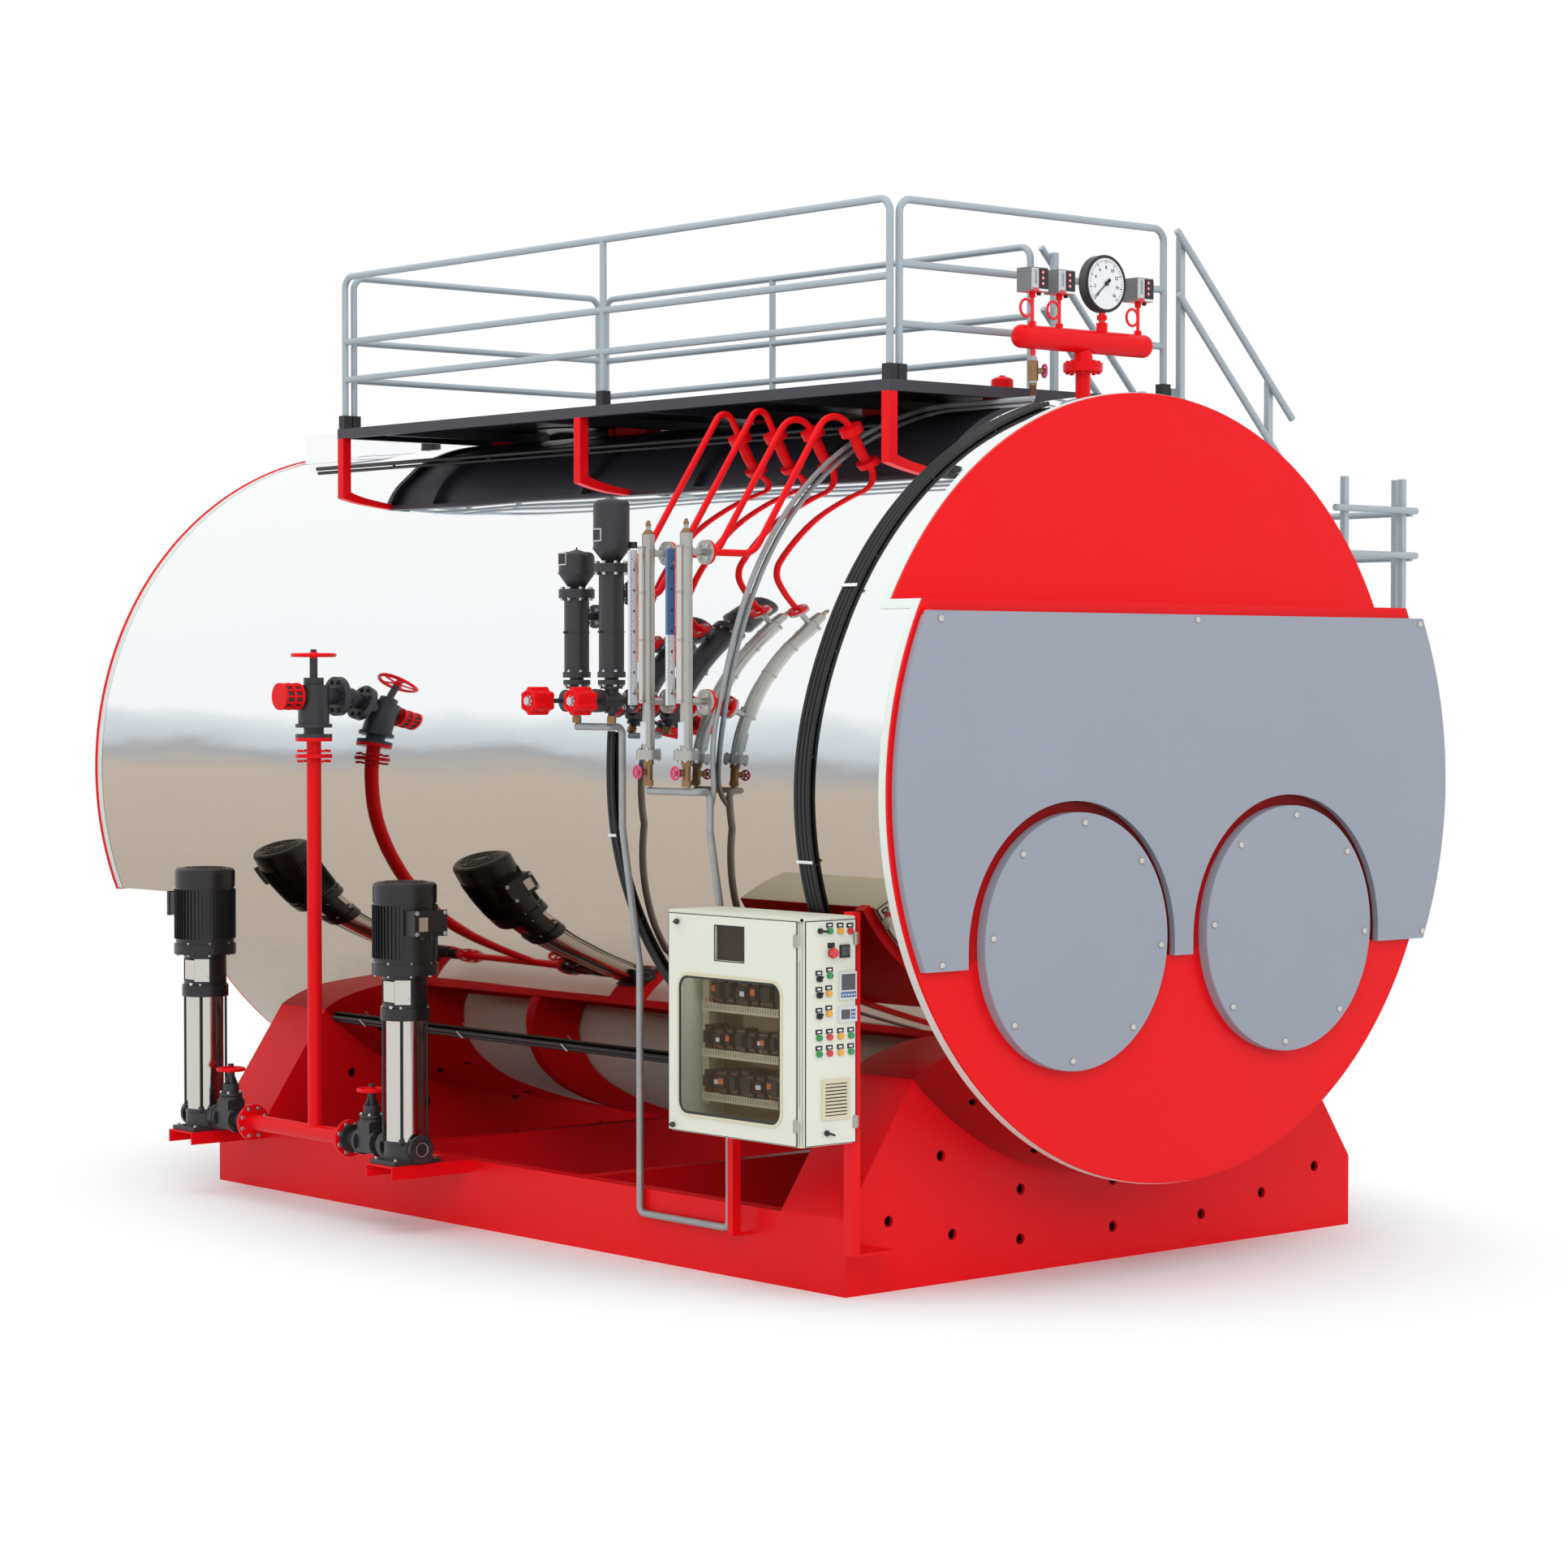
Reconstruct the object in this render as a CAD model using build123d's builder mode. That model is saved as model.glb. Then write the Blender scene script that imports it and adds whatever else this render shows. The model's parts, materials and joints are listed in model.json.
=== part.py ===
from build123d import *
from math import acos, cos, degrees, radians, sin, sqrt, tan
import os

os.makedirs("parts", exist_ok=True)

# The boiler stands on level ground. X runs across the front, Y runs from the front to the rear,
# Z is up. All sizes are millimetres. Places are given from the middle of the skid on the ground;
# every finished sub-part is then moved so that the origin is the middle of the front saddle's underside.

# Skid: two side channels, two saddles and the cross members
skid_length = 5470
skid_width = 3620
beam_height = 360
beam_flange = 90
beam_web = 14
cross_member_width = 80
cross_member_height = 330
cross_member_ys = (-560, 1170)
saddle_depth = 460
saddle_plate = 20
saddle_shoulder_height = 369
saddle_top_inset = 433
saddle_seat_gap = 0.3
saddle_hole_diameter = 56
saddle_high_hole_inset = 186
saddle_high_hole_drop = 219
saddle_low_hole_inset = 277

# Shell and its ends
shell_radius = 1950
shell_centre_height = 2383
shell_wall = 100
front_overhang = 445
front_smokebox_depth = 210
front_ledge_height = 3290
rear_overhang = 375
rear_smokebox_depth = 760
rear_smokebox_bottom = 1660
end_plate = 15
rear_plate_margin = 8
trim_width = 45
trim_proud = 4
saddle_top_half_width = skid_width / 2 - saddle_top_inset
saddle_high_hole_x = saddle_top_half_width - saddle_high_hole_inset
saddle_high_hole_height = (
    shell_centre_height - sqrt(shell_radius ** 2 - saddle_high_hole_x ** 2) - saddle_high_hole_drop
)
saddle_holes_high = ((0, 401), (651, 410), (saddle_high_hole_x, saddle_high_hole_height))
saddle_holes_low = ((0, 163), (653, 164), (1115, 233), (skid_width / 2 - saddle_low_hole_inset, 335))

# Cover plate and furnace covers on the front
cover_radius = 1970
cover_shift = 45
cover_top_height = 3235
cover_bottom_height = 1560
cover_plate = 35
arch_radius = 702
arch_spacing = 1536
arch_crown_height = 2335
furnace_spacing = 1524
furnace_height = 1660
furnace_cover_radius = 621
furnace_cover_thickness = 58
furnace_cover_edge = 6

# Flue outlet and manhole on the crown
flue_width = 1066
flue_depth = 380
flue_corner = 70
flue_wall = 50
flue_top_height = 4440
flue_centre_from_rear = 275
flue_rim_height = 30
manhole_y = 1557
manhole_radius = 318
manhole_top_height = 4376
probe_diameter = 80
probe_top_height = 4465
probe_cap_diameter = 115
probe_cap_height = 50
probe_gap = 6

# Platform on top
deck_left = -1115
deck_right = 904
deck_front = -2280
probe_y = deck_front + 352
deck_rear = 2520
deck_top_height = 4390
deck_frame_height = 56
deck_frame_flange = 40
deck_frame_wall = 6
deck_plate = 6
bearer_ys = (-1300, -320, 660, 2080)
bearer_width = 50
pad_length = 280
pad_width = 110
pad_ys = (-1980, -1050, -150, 1080, 2280)
leg_size = 56
leg_ys = (-2250, 220, 2490)

# Guardrails
rail_diameter = 38
rail_top = 890
rail_bend = 70
side_rail_heights = (510, 288)
end_rail_heights = (573, 277)
side_post_y = 31
right_post_y = 900
rail_inset = 20
socket_size = 56
socket_height = 78
post_gap = 62
stair_opening = 990

# Stair at the right side: two flights and a landing
stair_slope = 46
stair_head = 56
riser_target = 207
stringer_depth = 120
stringer_thickness = 12
stringer_rise = 57
stringer_end_height = 70
stringer_toe_height = 40
tread_depth = 150
tread_thickness = 30
upper_flight_width = 900
lower_flight_width = 570
landing_height = 3000
landing_left = 2150
landing_right = 2780
landing_frame_depth = 80
landing_frame_wall = 8
stair_post = 34
stair_rail_diameter = 38
stair_rail_heights = (797, 480)
stair_rail_starts = (-78, -65)
upper_rail_ends = (834, 764)
upper_post_runs = (43, 737)
lower_post_runs = (60, 930, 1800, 2600)
post_above_rail = 40
post_lap = 100
landing_post_top = 1035
landing_rail_heights = (860, 610)
landing_rail_overrun = 60
landing_post_inset = 60
side_rail_drop = 12
panel_gap = 8
bracket_ys = (-2230, -1430)
bracket_thickness = 60
bracket_beam_depth = 80
brace_depth = 60
brace_reach = 2650
brace_foot_height = 1960

# Pressure header at the front of the platform
header_y = deck_front - 230
header_height = 4622
header_length = 950
header_diameter = 118
header_end_round = 40
stand_pipe_diameter = 76
stand_flange_diameter = 200
stand_flange_thickness = 44
stand_flange_height = 4468
switch_xs = (-360, -170, 400)
switch_width = 120
switch_depth = 100
switch_height = 120
switch_bottom_height = 4845
siphon_radius = 42
siphon_tube = 14
switch_stem_diameter = 18
siphon_height = 4765
gauge_x = 137
gauge_radius = 145
gauge_thickness = 50
gauge_centre_height = 4920
gauge_stem_diameter = 34
drain_x = -355
drain_valve_diameter = 44
drain_valve_length = 130
drain_pipe_diameter = 27
drain_elbow_height = 4316
drain_route_gap = 5
drain_route_angles = (104, 112, 122, 133, 144, 155, 166, 176, 180)
drain_route_ys = (-1850, -1840, -1835, -1855, -1890, -1930, -1950, -1945, -1958)

# Level instruments on the left side, each in its own upright plane
column_x = -2100
controller_ys = (-1050, -1330)
gauge_ys = (-1620, -1910)
gauge_column_diameter = 62
gauge_top_height = 3620
gauge_bottom_height = 2550
gauge_foot_diameter = 122
gauge_foot_thickness = 24
gauge_valve_diameter = 34
level_flange_diameter = 118
level_flange_thickness = 16
level_flange_x = -1975
upper_tap_height = 3530
lower_tap_height = 2810
tap_pipe_diameter = 34
scale_width = 45
scale_depth = 16
scale_low_height = 2790
scale_high_height = 3545
scale_bridge = 21
scale_shift = 50
bridge_thickness = 20
bridge_insets = (60, 80)
controller_column_diameter = 125
controller_cap_diameter = 180
controller_neck_diameter = 70
controller_flange_thickness = 44
controller_flange_heights = (3343, 3465)
controller_cap_tops = (3550, 3800)
controller_cap_heights = (110, 245)
controller_cap_round = 30
controller_cone_height = 36
controller_tap_heights = (3231, 3341)
controller_bottom_height = 2953
valve_body_reach = 60
valve_body_back = 40
valve_barrel_diameter = 84
valve_neck_diameter = 70
valve_flange_diameter = 110
valve_flange_thickness = 14
spindle_diameter = 24
lobe_wheel_xs = (-2289, -2239)
lobe_wheel_radius = 70
lobe_wheel_length = 110
lobe_wheel_hub = 30
lobe_count = 6
nozzle_x = -980
nozzle_diameter = 58
nozzle_flange_diameter = 120
nozzle_flange_thickness = 40
nozzle_flange_reach = 85
steam_pipe_diameter = 34
steam_pipe_bend = 125
steam_pipe_tight_bend = 60
steam_pipe_tight_from = -1760
steam_pipe_start = (-1133, 4334)
steam_pipe_slope = (-0.559, -0.829)

# Drain pipes
drain_diameter = 36
drain_bend = 38
controller_drain_height = 2700
gauge_drain_height = 2392
drain_shell_gap = 42
drain_low_x = -skid_width / 2 - 23
drain_low_height = 240
drain_rear_y = -1216
drain_front_y = -1912
drain_rear_lean = -85
drain_front_lean = -68
drain_knee_height = 1480
drain_lean_height = 2183

# Feed line on the left side
feed_height = 442
feed_pipe_diameter = 89
feed_flange_diameter = 200
feed_flange_thickness = 20
feed_flange_ys = (895, 1874)
riser_y = 1240
riser_pipe_diameter = 80
riser_flange_low = 2490
riser_flange_high = 2600
stop_valve_low = 2675
stop_valve_high = 2927
stop_valve_height = 2825
stop_valve_body_diameter = 170
stop_valve_neck_diameter = 110
stop_valve_flange_diameter = 215
shell_flange_x = -1965
nozzle_pipe_diameter = 90
hand_wheel_height = 3050
hand_wheel_diameter = 250
wheel_rim = 22
wheel_hub_diameter = 44
wheel_hub_height = 34
wheel_spoke = 16
wheel_spokes = 5
stem_diameter = 22
wheel_gap = 0.3
stem_nut_height = 14
knob_reach = 222
knob_length = 119
knob_diameter = 130
gate_valve_ys = (697, 2090)
gate_valve_half = 85
gate_flange_diameter = 150
gate_body_width = 110
gate_bonnet_diameter = 90
gate_bonnet_height = 640
gate_wheel_height = 720
gate_wheel_diameter = 165

# Feed pumps
pump_x = -skid_width / 2 - 330
knob_x = pump_x - knob_reach
pump_ys = (385, 2355)
pump_bracket_end = -skid_width / 2 - 500
pump_bracket_width = 240
pump_bracket_height = 70
pump_bracket_top = 360
pump_bracket_wall = 8
pump_foot_length = 300
pump_foot_width = 220
pump_foot_height = 24
pump_casing_diameter = 225
pump_casing_top = 479
pump_port_reach = 150
pump_port_diameter = 70
pump_flange_diameter = 150
pump_flange_thickness = 20
sleeve_diameter = 206
sleeve_top = 1120
head_diameter = 262
head_top = 1185
lantern_diameter = 240
lantern_top = 1360
lantern_window = 110
lantern_window_height = 120
motor_flange_diameter = 350
motor_flange_top = 1420
motor_diameter = 330
motor_top = 1741
motor_cap_diameter = 340
motor_cap_top = 1848
motor_cap_round = 25
terminal_box_width = 200
terminal_box_height = 130
terminal_box_depth = 70
terminal_box_centre = 1640

# Control cabinet and its stand
cabinet_right = -skid_width / 2 - 125
cabinet_left = cabinet_right - 337
cabinet_front = -skid_length / 2 - 210
cabinet_rear = cabinet_front + 967
cabinet_bottom = 762
cabinet_top = 1812
cabinet_wall = 3
door_plate = 19
door_gap = 5
frame_strip = 26
hinge_clearance = 0.3
hinge_pad_heights = (880, 1620)
hinge_pad_length = 70
knuckle_diameter = 16
knuckle_length = 60
knuckle_heights = (834, 1686)
window_low = 93
window_high = 751
window_front = 140
window_rear = 88
window_round = 60
small_window_low = 833
small_window_high = 998
small_window_front = 405
small_window_rear = 617
glass_thickness = 5
mounting_plate = 6
plate_margin = 6
post_width = 50
post_depth = 60
rear_post_depth = 40
front_post_y = cabinet_front + 60
rear_post_y = cabinet_rear - 54
post_foot = 225
front_post_top = 1834
rear_post_top = 1640
foot_length = 150
foot_plate = 10
fitting_panel = 4
fitting_panel_gap = 40
fitting_panel_margin = 60
fitting_stud_margin = 90
fitting_stud_diameter = 12
fitting_row_front = 110
fitting_row_rear = 330
fitting_row_lows = (880, 1080, 1200, 1400, 1520)
fitting_row_depths = (90, 70, 100, 70, 80)
fitting_row_heights = (150, 60, 130, 60, 120)

# Cables tied along the shell
cable_diameter = 24
cable_gap = 3
cable_pitch = 28
tie_diameter = 16
tie_gap = 0.3
long_tie_spacing = 950
front_cable_angles = (107, 117, 130, 145, 160, 175, 190, 197)
front_cable_offsets = (-60, -10, 35, 67, 95, 130, 130, 120)
front_cable_count = 4
controller_cable_angles = (172, 180, 188, 200, 212)
controller_cable_ys = (-1134, -1150, -1165, -1215, -1320)
controller_cable_count = 2
pump_cable_angle = 226.5
pump_cable_ends = (2234, -1850)
pump_cable_count = 2
crown_cable_angle = 112
crown_cable_ends = (3300, -1780)

skid_front = -skid_length / 2
skid_rear = skid_length / 2
beam_face = -skid_width / 2
front_face = skid_front - front_overhang
upper_face = front_face + front_smokebox_depth
shell_rear = skid_rear + rear_overhang
rear_face = shell_rear + rear_smokebox_depth
crown_height = shell_centre_height + shell_radius
inner_radius = shell_radius - shell_wall
deck_underside = deck_top_height - deck_frame_height


def shell_height_at(x, radius=shell_radius):
    """Height of the upper half of the shell above a distance x from its middle."""
    return shell_centre_height + sqrt(radius ** 2 - x ** 2)


def shell_side_at(height, radius=shell_radius):
    """Left side of the shell, as X, at a height."""
    return -sqrt(radius ** 2 - (height - shell_centre_height) ** 2)


def finish(part, label):
    """Move a finished sub-part to the origin of the whole, name it and write it."""
    placed = Location((0, -skid_front - saddle_depth / 2, 0)) * part
    placed.label = label
    export_step(placed, f"parts/{label}.step")


def front_plane(y):
    """Upright plane that faces the front at a distance y, with its origin on the ground."""
    return Plane(origin=(0, y, 0), x_dir=(1, 0, 0), z_dir=(0, -1, 0))


def disc_segment(y_start, length, radius, low=None, high=None, bore=0.0):
    """A slice of the boiler's round section, cut level at a low or a high edge."""
    with BuildPart() as piece:
        with BuildSketch(front_plane(y_start)):
            with Locations((0, shell_centre_height)):
                Circle(radius)
                if bore:
                    Circle(bore, mode=Mode.SUBTRACT)
            if high is not None:
                with Locations((0, high + radius)):
                    Rectangle(2.2 * radius, 2 * radius, mode=Mode.SUBTRACT)
            if low is not None:
                with Locations((0, low - radius)):
                    Rectangle(2.2 * radius, 2 * radius, mode=Mode.SUBTRACT)
        extrude(amount=-length)
    return piece.part


# Skid side beams: channels whose flanges point inward
side_beams = []
for side in (-1, 1):
    beam_plane = Plane(
        origin=(side * skid_width / 2, skid_front + saddle_depth, 0), x_dir=(-side, 0, 0), z_dir=(0, side, 0)
    )
    with BuildPart() as beam:
        with BuildSketch(beam_plane):
            with BuildLine():
                Polyline(
                    (0, 0),
                    (beam_flange, 0),
                    (beam_flange, beam_web),
                    (beam_web, beam_web),
                    (beam_web, beam_height - beam_web),
                    (beam_flange, beam_height - beam_web),
                    (beam_flange, beam_height),
                    (0, beam_height),
                    close=True,
                )
            make_face()
        extrude(amount=side * (skid_length - 2 * saddle_depth))
    side_beams.append(beam.part)
finish(Compound(side_beams), "skid_beams")

# Cross members between the side beams
with BuildPart() as cross_members:
    for member_y in cross_member_ys:
        with Locations((0, member_y, beam_web)):
            Box(
                skid_width - 2 * beam_flange,
                cross_member_width,
                cross_member_height,
                align=(Align.CENTER, Align.CENTER, Align.MIN),
            )
finish(cross_members.part, "skid_cross_members")


def saddle(y_front, name, hole_plates):
    """A box saddle: two upright plates with a round seat, sloped shoulders and a floor plate."""
    half = skid_width / 2
    seat = shell_radius + saddle_seat_gap
    top = shell_centre_height - sqrt(seat ** 2 - saddle_top_half_width ** 2)
    outline = (
        (-half, 0),
        (half, 0),
        (half, saddle_shoulder_height),
        (saddle_top_half_width, top),
        (-saddle_top_half_width, top),
        (-half, saddle_shoulder_height),
    )
    with BuildPart() as body:
        with BuildSketch(front_plane(y_front)):
            with BuildLine():
                Polyline(*outline, close=True)
            make_face()
        extrude(amount=-saddle_depth)
        with BuildSketch(front_plane(y_front + saddle_plate)):
            with BuildLine():
                Polyline(*outline, close=True)
            make_face()
            offset(amount=-saddle_plate, kind=Kind.INTERSECTION)
            with Locations((0, saddle_plate + half)):
                Rectangle(skid_width, 2 * half, mode=Mode.INTERSECT)
        extrude(amount=-(saddle_depth - 2 * saddle_plate), mode=Mode.SUBTRACT)
        with Locations((0, y_front + saddle_depth / 2, shell_centre_height)):
            Cylinder(seat, 2 * saddle_depth, rotation=(90, 0, 0), mode=Mode.SUBTRACT)
        for plate_y in hole_plates:
            with BuildSketch(front_plane(plate_y)):
                for x, z in saddle_holes_high + saddle_holes_low:
                    for mirrored_x in {x, -x}:
                        with Locations((mirrored_x, z)):
                            Circle(saddle_hole_diameter / 2)
            extrude(amount=-saddle_plate, mode=Mode.SUBTRACT)
    finish(body.part, name)


saddle(skid_front, "front_saddle", (skid_front,))
saddle(skid_rear - saddle_depth, "rear_saddle", (skid_rear - saddle_depth, skid_rear - saddle_plate))

# The clad shell, a thick tube that stands for cladding, insulation and shell plate
trim_back = upper_face + end_plate + trim_width
finish(
    disc_segment(trim_back, shell_rear - trim_back, shell_radius, bore=inner_radius),
    "boiler_shell",
)

# Front smokebox wrapper, the lower part that stands in front of the shell
ledge_drop = trim_width
smokebox_start = front_face + end_plate + trim_width
with BuildPart() as front_smokebox:
    add(
        disc_segment(
            smokebox_start,
            trim_back - smokebox_start,
            shell_radius,
            high=front_ledge_height - ledge_drop,
            bore=inner_radius,
        )
    )
finish(front_smokebox.part, "front_smokebox")

# Pale trim that follows the edge of the cladding and steps back along the ledge
trim_radius = shell_radius + trim_proud
with BuildPart() as front_trim:
    add(
        disc_segment(
            front_face + end_plate,
            trim_width,
            trim_radius,
            high=front_ledge_height,
            bore=inner_radius,
        )
    )
    add(
        disc_segment(
            smokebox_start,
            trim_back - smokebox_start,
            trim_radius,
            low=front_ledge_height - ledge_drop,
            high=front_ledge_height,
            bore=inner_radius,
        )
    )
    add(
        disc_segment(
            upper_face + end_plate,
            trim_width,
            trim_radius,
            low=front_ledge_height,
            bore=inner_radius,
        )
    )
finish(front_trim.part, "front_trim")

# Red end plates of the front: the lower disc with its ledge, and the upper segment
ledge_half_width = sqrt(inner_radius ** 2 - (front_ledge_height - shell_centre_height) ** 2)
with BuildPart() as front_plate:
    add(disc_segment(front_face, end_plate, shell_radius, high=front_ledge_height))
    with Locations((0, front_face + end_plate, front_ledge_height)):
        Box(
            2 * ledge_half_width,
            upper_face - front_face - end_plate,
            end_plate,
            align=(Align.CENTER, Align.MIN, Align.MAX),
        )
finish(front_plate.part, "front_plate")

finish(disc_segment(upper_face, end_plate, shell_radius, low=front_ledge_height), "upper_front_plate")

# Rear end: a smokebox that covers the upper part
rear_trim_start = rear_face - end_plate - trim_width
flue_y = rear_face - flue_centre_from_rear
wall_middle = shell_radius - shell_wall / 2
bottom_half_width = sqrt(wall_middle ** 2 - (rear_smokebox_bottom - shell_centre_height) ** 2)
with BuildPart() as rear_smokebox:
    add(
        disc_segment(
            shell_rear,
            rear_trim_start - shell_rear,
            shell_radius,
            low=rear_smokebox_bottom,
            bore=inner_radius,
        )
    )
    with Locations((0, shell_rear, rear_smokebox_bottom)):
        Box(
            2 * bottom_half_width,
            rear_trim_start - shell_rear,
            end_plate,
            align=(Align.CENTER, Align.MIN, Align.MIN),
        )
    with BuildSketch(Plane.XY.offset(shell_centre_height)):
        with Locations((0, flue_y)):
            RectangleRounded(
                flue_width - 2 * flue_wall, flue_depth - 2 * flue_wall, flue_corner - flue_wall + 10
            )
    extrude(amount=2 * shell_radius, mode=Mode.SUBTRACT)
finish(rear_smokebox.part, "rear_smokebox")

with BuildPart() as rear_trim:
    add(
        disc_segment(
            rear_trim_start,
            trim_width,
            trim_radius,
            low=rear_smokebox_bottom,
            bore=inner_radius,
        )
    )
    with Locations((0, rear_trim_start, rear_smokebox_bottom)):
        Box(
            2 * bottom_half_width,
            trim_width,
            trim_width,
            align=(Align.CENTER, Align.MIN, Align.MIN),
        )
finish(rear_trim.part, "rear_trim")

rear_smokebox_plate = disc_segment(
    rear_face - end_plate,
    end_plate,
    trim_radius + rear_plate_margin,
    low=rear_smokebox_bottom - rear_plate_margin,
)
rear_shell_plate = disc_segment(shell_rear, end_plate, shell_radius, high=rear_smokebox_bottom)
finish(Compound([rear_smokebox_plate, rear_shell_plate]), "rear_plates")

# Grey cover plate with two arched cut-outs, and the round furnace covers in them
arch_centre_height = arch_crown_height - arch_radius
with BuildPart() as smokebox_cover:
    with BuildSketch(front_plane(front_face)):
        with Locations((cover_shift, shell_centre_height)):
            Circle(cover_radius)
        with Locations((0, cover_top_height + cover_radius)):
            Rectangle(3 * cover_radius, 2 * cover_radius, mode=Mode.SUBTRACT)
        with Locations((0, cover_bottom_height - cover_radius)):
            Rectangle(3 * cover_radius, 2 * cover_radius, mode=Mode.SUBTRACT)
        for side in (-1, 1):
            with Locations((side * arch_spacing / 2, arch_centre_height)):
                Circle(arch_radius, mode=Mode.SUBTRACT)
            with Locations((side * arch_spacing / 2, arch_centre_height - cover_radius)):
                Rectangle(2 * arch_radius, 2 * cover_radius, mode=Mode.SUBTRACT)
    extrude(amount=cover_plate)
finish(smokebox_cover.part, "smokebox_cover")

with BuildPart() as furnace_covers:
    with BuildSketch(front_plane(front_face)):
        with Locations((-furnace_spacing / 2, furnace_height), (furnace_spacing / 2, furnace_height)):
            Circle(furnace_cover_radius)
    extrude(amount=furnace_cover_thickness)
    fillet(furnace_covers.faces().sort_by(Axis.Y)[:2].edges(), furnace_cover_edge)
finish(furnace_covers.part, "furnace_covers")

# Flue outlet: an open rectangular neck with a flat rim on the rear smokebox
rim_start = flue_top_height - flue_rim_height
with BuildPart() as flue_outlet:
    for rim, low, high in ((0, shell_centre_height, rim_start), (trim_proud, rim_start, flue_top_height)):
        with BuildSketch(Plane.XY.offset(low)):
            with Locations((0, flue_y)):
                RectangleRounded(flue_width + 2 * rim, flue_depth + 2 * rim, flue_corner)
        extrude(amount=high - low)
    with Locations((0, flue_y, shell_centre_height)):
        Cylinder(
            shell_radius + saddle_seat_gap, 4 * flue_depth, rotation=(90, 0, 0), mode=Mode.SUBTRACT
        )
    with BuildSketch(Plane.XY.offset(shell_centre_height)):
        with Locations((0, flue_y)):
            RectangleRounded(
                flue_width - 2 * flue_wall, flue_depth - 2 * flue_wall, flue_corner - flue_wall + 10
            )
    extrude(amount=flue_top_height - shell_centre_height, mode=Mode.SUBTRACT)
finish(flue_outlet.part, "flue_outlet")

with BuildPart() as manhole:
    with BuildSketch(Plane.XY.offset(crown_height - manhole_radius / 2)):
        with Locations((0, manhole_y)):
            Circle(manhole_radius)
    extrude(amount=manhole_top_height - crown_height + manhole_radius / 2)
    with Locations((0, manhole_y, shell_centre_height)):
        Cylinder(
            shell_radius + saddle_seat_gap, 4 * manhole_radius, rotation=(90, 0, 0), mode=Mode.SUBTRACT
        )
finish(manhole.part, "manhole")

# Capped probe stub that comes up through the deck
with BuildPart() as probe_stub:
    with BuildSketch(Plane.XY.offset(crown_height - probe_diameter)):
        with Locations((0, probe_y)):
            Circle(probe_diameter / 2)
    extrude(amount=probe_top_height - crown_height + probe_diameter)
    with BuildSketch(Plane.XY.offset(probe_top_height - probe_cap_height)):
        with Locations((0, probe_y)):
            Circle(probe_cap_diameter / 2)
    extrude(amount=probe_cap_height)
    with Locations((0, probe_y, shell_centre_height)):
        Cylinder(
            shell_radius + saddle_seat_gap, 4 * probe_diameter, rotation=(90, 0, 0), mode=Mode.SUBTRACT
        )
finish(probe_stub.part, "probe_stub")

# Platform: edge channels, bearers, a centre beam on the crown and the deck plate
deck_width = deck_right - deck_left
deck_length = deck_rear - deck_front
deck_middle_x = (deck_left + deck_right) / 2
deck_middle_y = (deck_front + deck_rear) / 2
frame_height = deck_frame_height - deck_plate
with BuildPart() as platform_frame:
    with BuildSketch(Plane.XY.offset(deck_underside)):
        with Locations((deck_middle_x, deck_middle_y)):
            Rectangle(deck_width, deck_length)
            Rectangle(
                deck_width - 2 * deck_frame_wall, deck_length - 2 * deck_frame_wall, mode=Mode.SUBTRACT
            )
    extrude(amount=frame_height)
    with BuildSketch(Plane.XY.offset(deck_underside)):
        with Locations((deck_middle_x, deck_middle_y)):
            Rectangle(deck_width, deck_length)
            Rectangle(
                deck_width - 2 * deck_frame_flange, deck_length - 2 * deck_frame_flange, mode=Mode.SUBTRACT
            )
    extrude(amount=deck_frame_wall)
    for bearer_y in bearer_ys:
        with Locations((deck_middle_x, bearer_y, deck_underside)):
            Box(
                deck_width - deck_frame_wall,
                bearer_width,
                frame_height,
                align=(Align.CENTER, Align.CENTER, Align.MIN),
            )
finish(platform_frame.part, "platform_frame")

with BuildPart() as platform_deck:
    with BuildSketch(Plane.XY.offset(deck_top_height - deck_plate)):
        with Locations((deck_middle_x, deck_middle_y)):
            Rectangle(deck_width, deck_length)
        with Locations((0, probe_y)):
            Circle(probe_diameter / 2 + probe_gap, mode=Mode.SUBTRACT)
    extrude(amount=deck_plate)
finish(platform_deck.part, "platform_deck")

with BuildPart() as supports:
    for pad_y in pad_ys:
        with Locations((0, pad_y, crown_height - leg_size)):
            Box(
                pad_width,
                pad_length,
                deck_top_height - deck_plate - crown_height + leg_size,
                align=(Align.CENTER, Align.CENTER, Align.MIN),
            )
    for leg_y in leg_ys:
        for leg_x in (deck_left + leg_size / 2, deck_right - leg_size / 2):
            with Locations((leg_x, leg_y, deck_underside)):
                Box(
                    leg_size,
                    leg_size,
                    deck_underside - shell_height_at(abs(leg_x)) + leg_size,
                    align=(Align.CENTER, Align.CENTER, Align.MAX),
                )
    with Locations((0, 0, shell_centre_height)):
        Cylinder(shell_radius + saddle_seat_gap, 2 * skid_length, rotation=(90, 0, 0), mode=Mode.SUBTRACT)
    with Locations((0, probe_y, crown_height)):
        Cylinder(probe_diameter / 2 + probe_gap, 4 * leg_size, mode=Mode.SUBTRACT)
finish(supports.part, "platform_supports")


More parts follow.
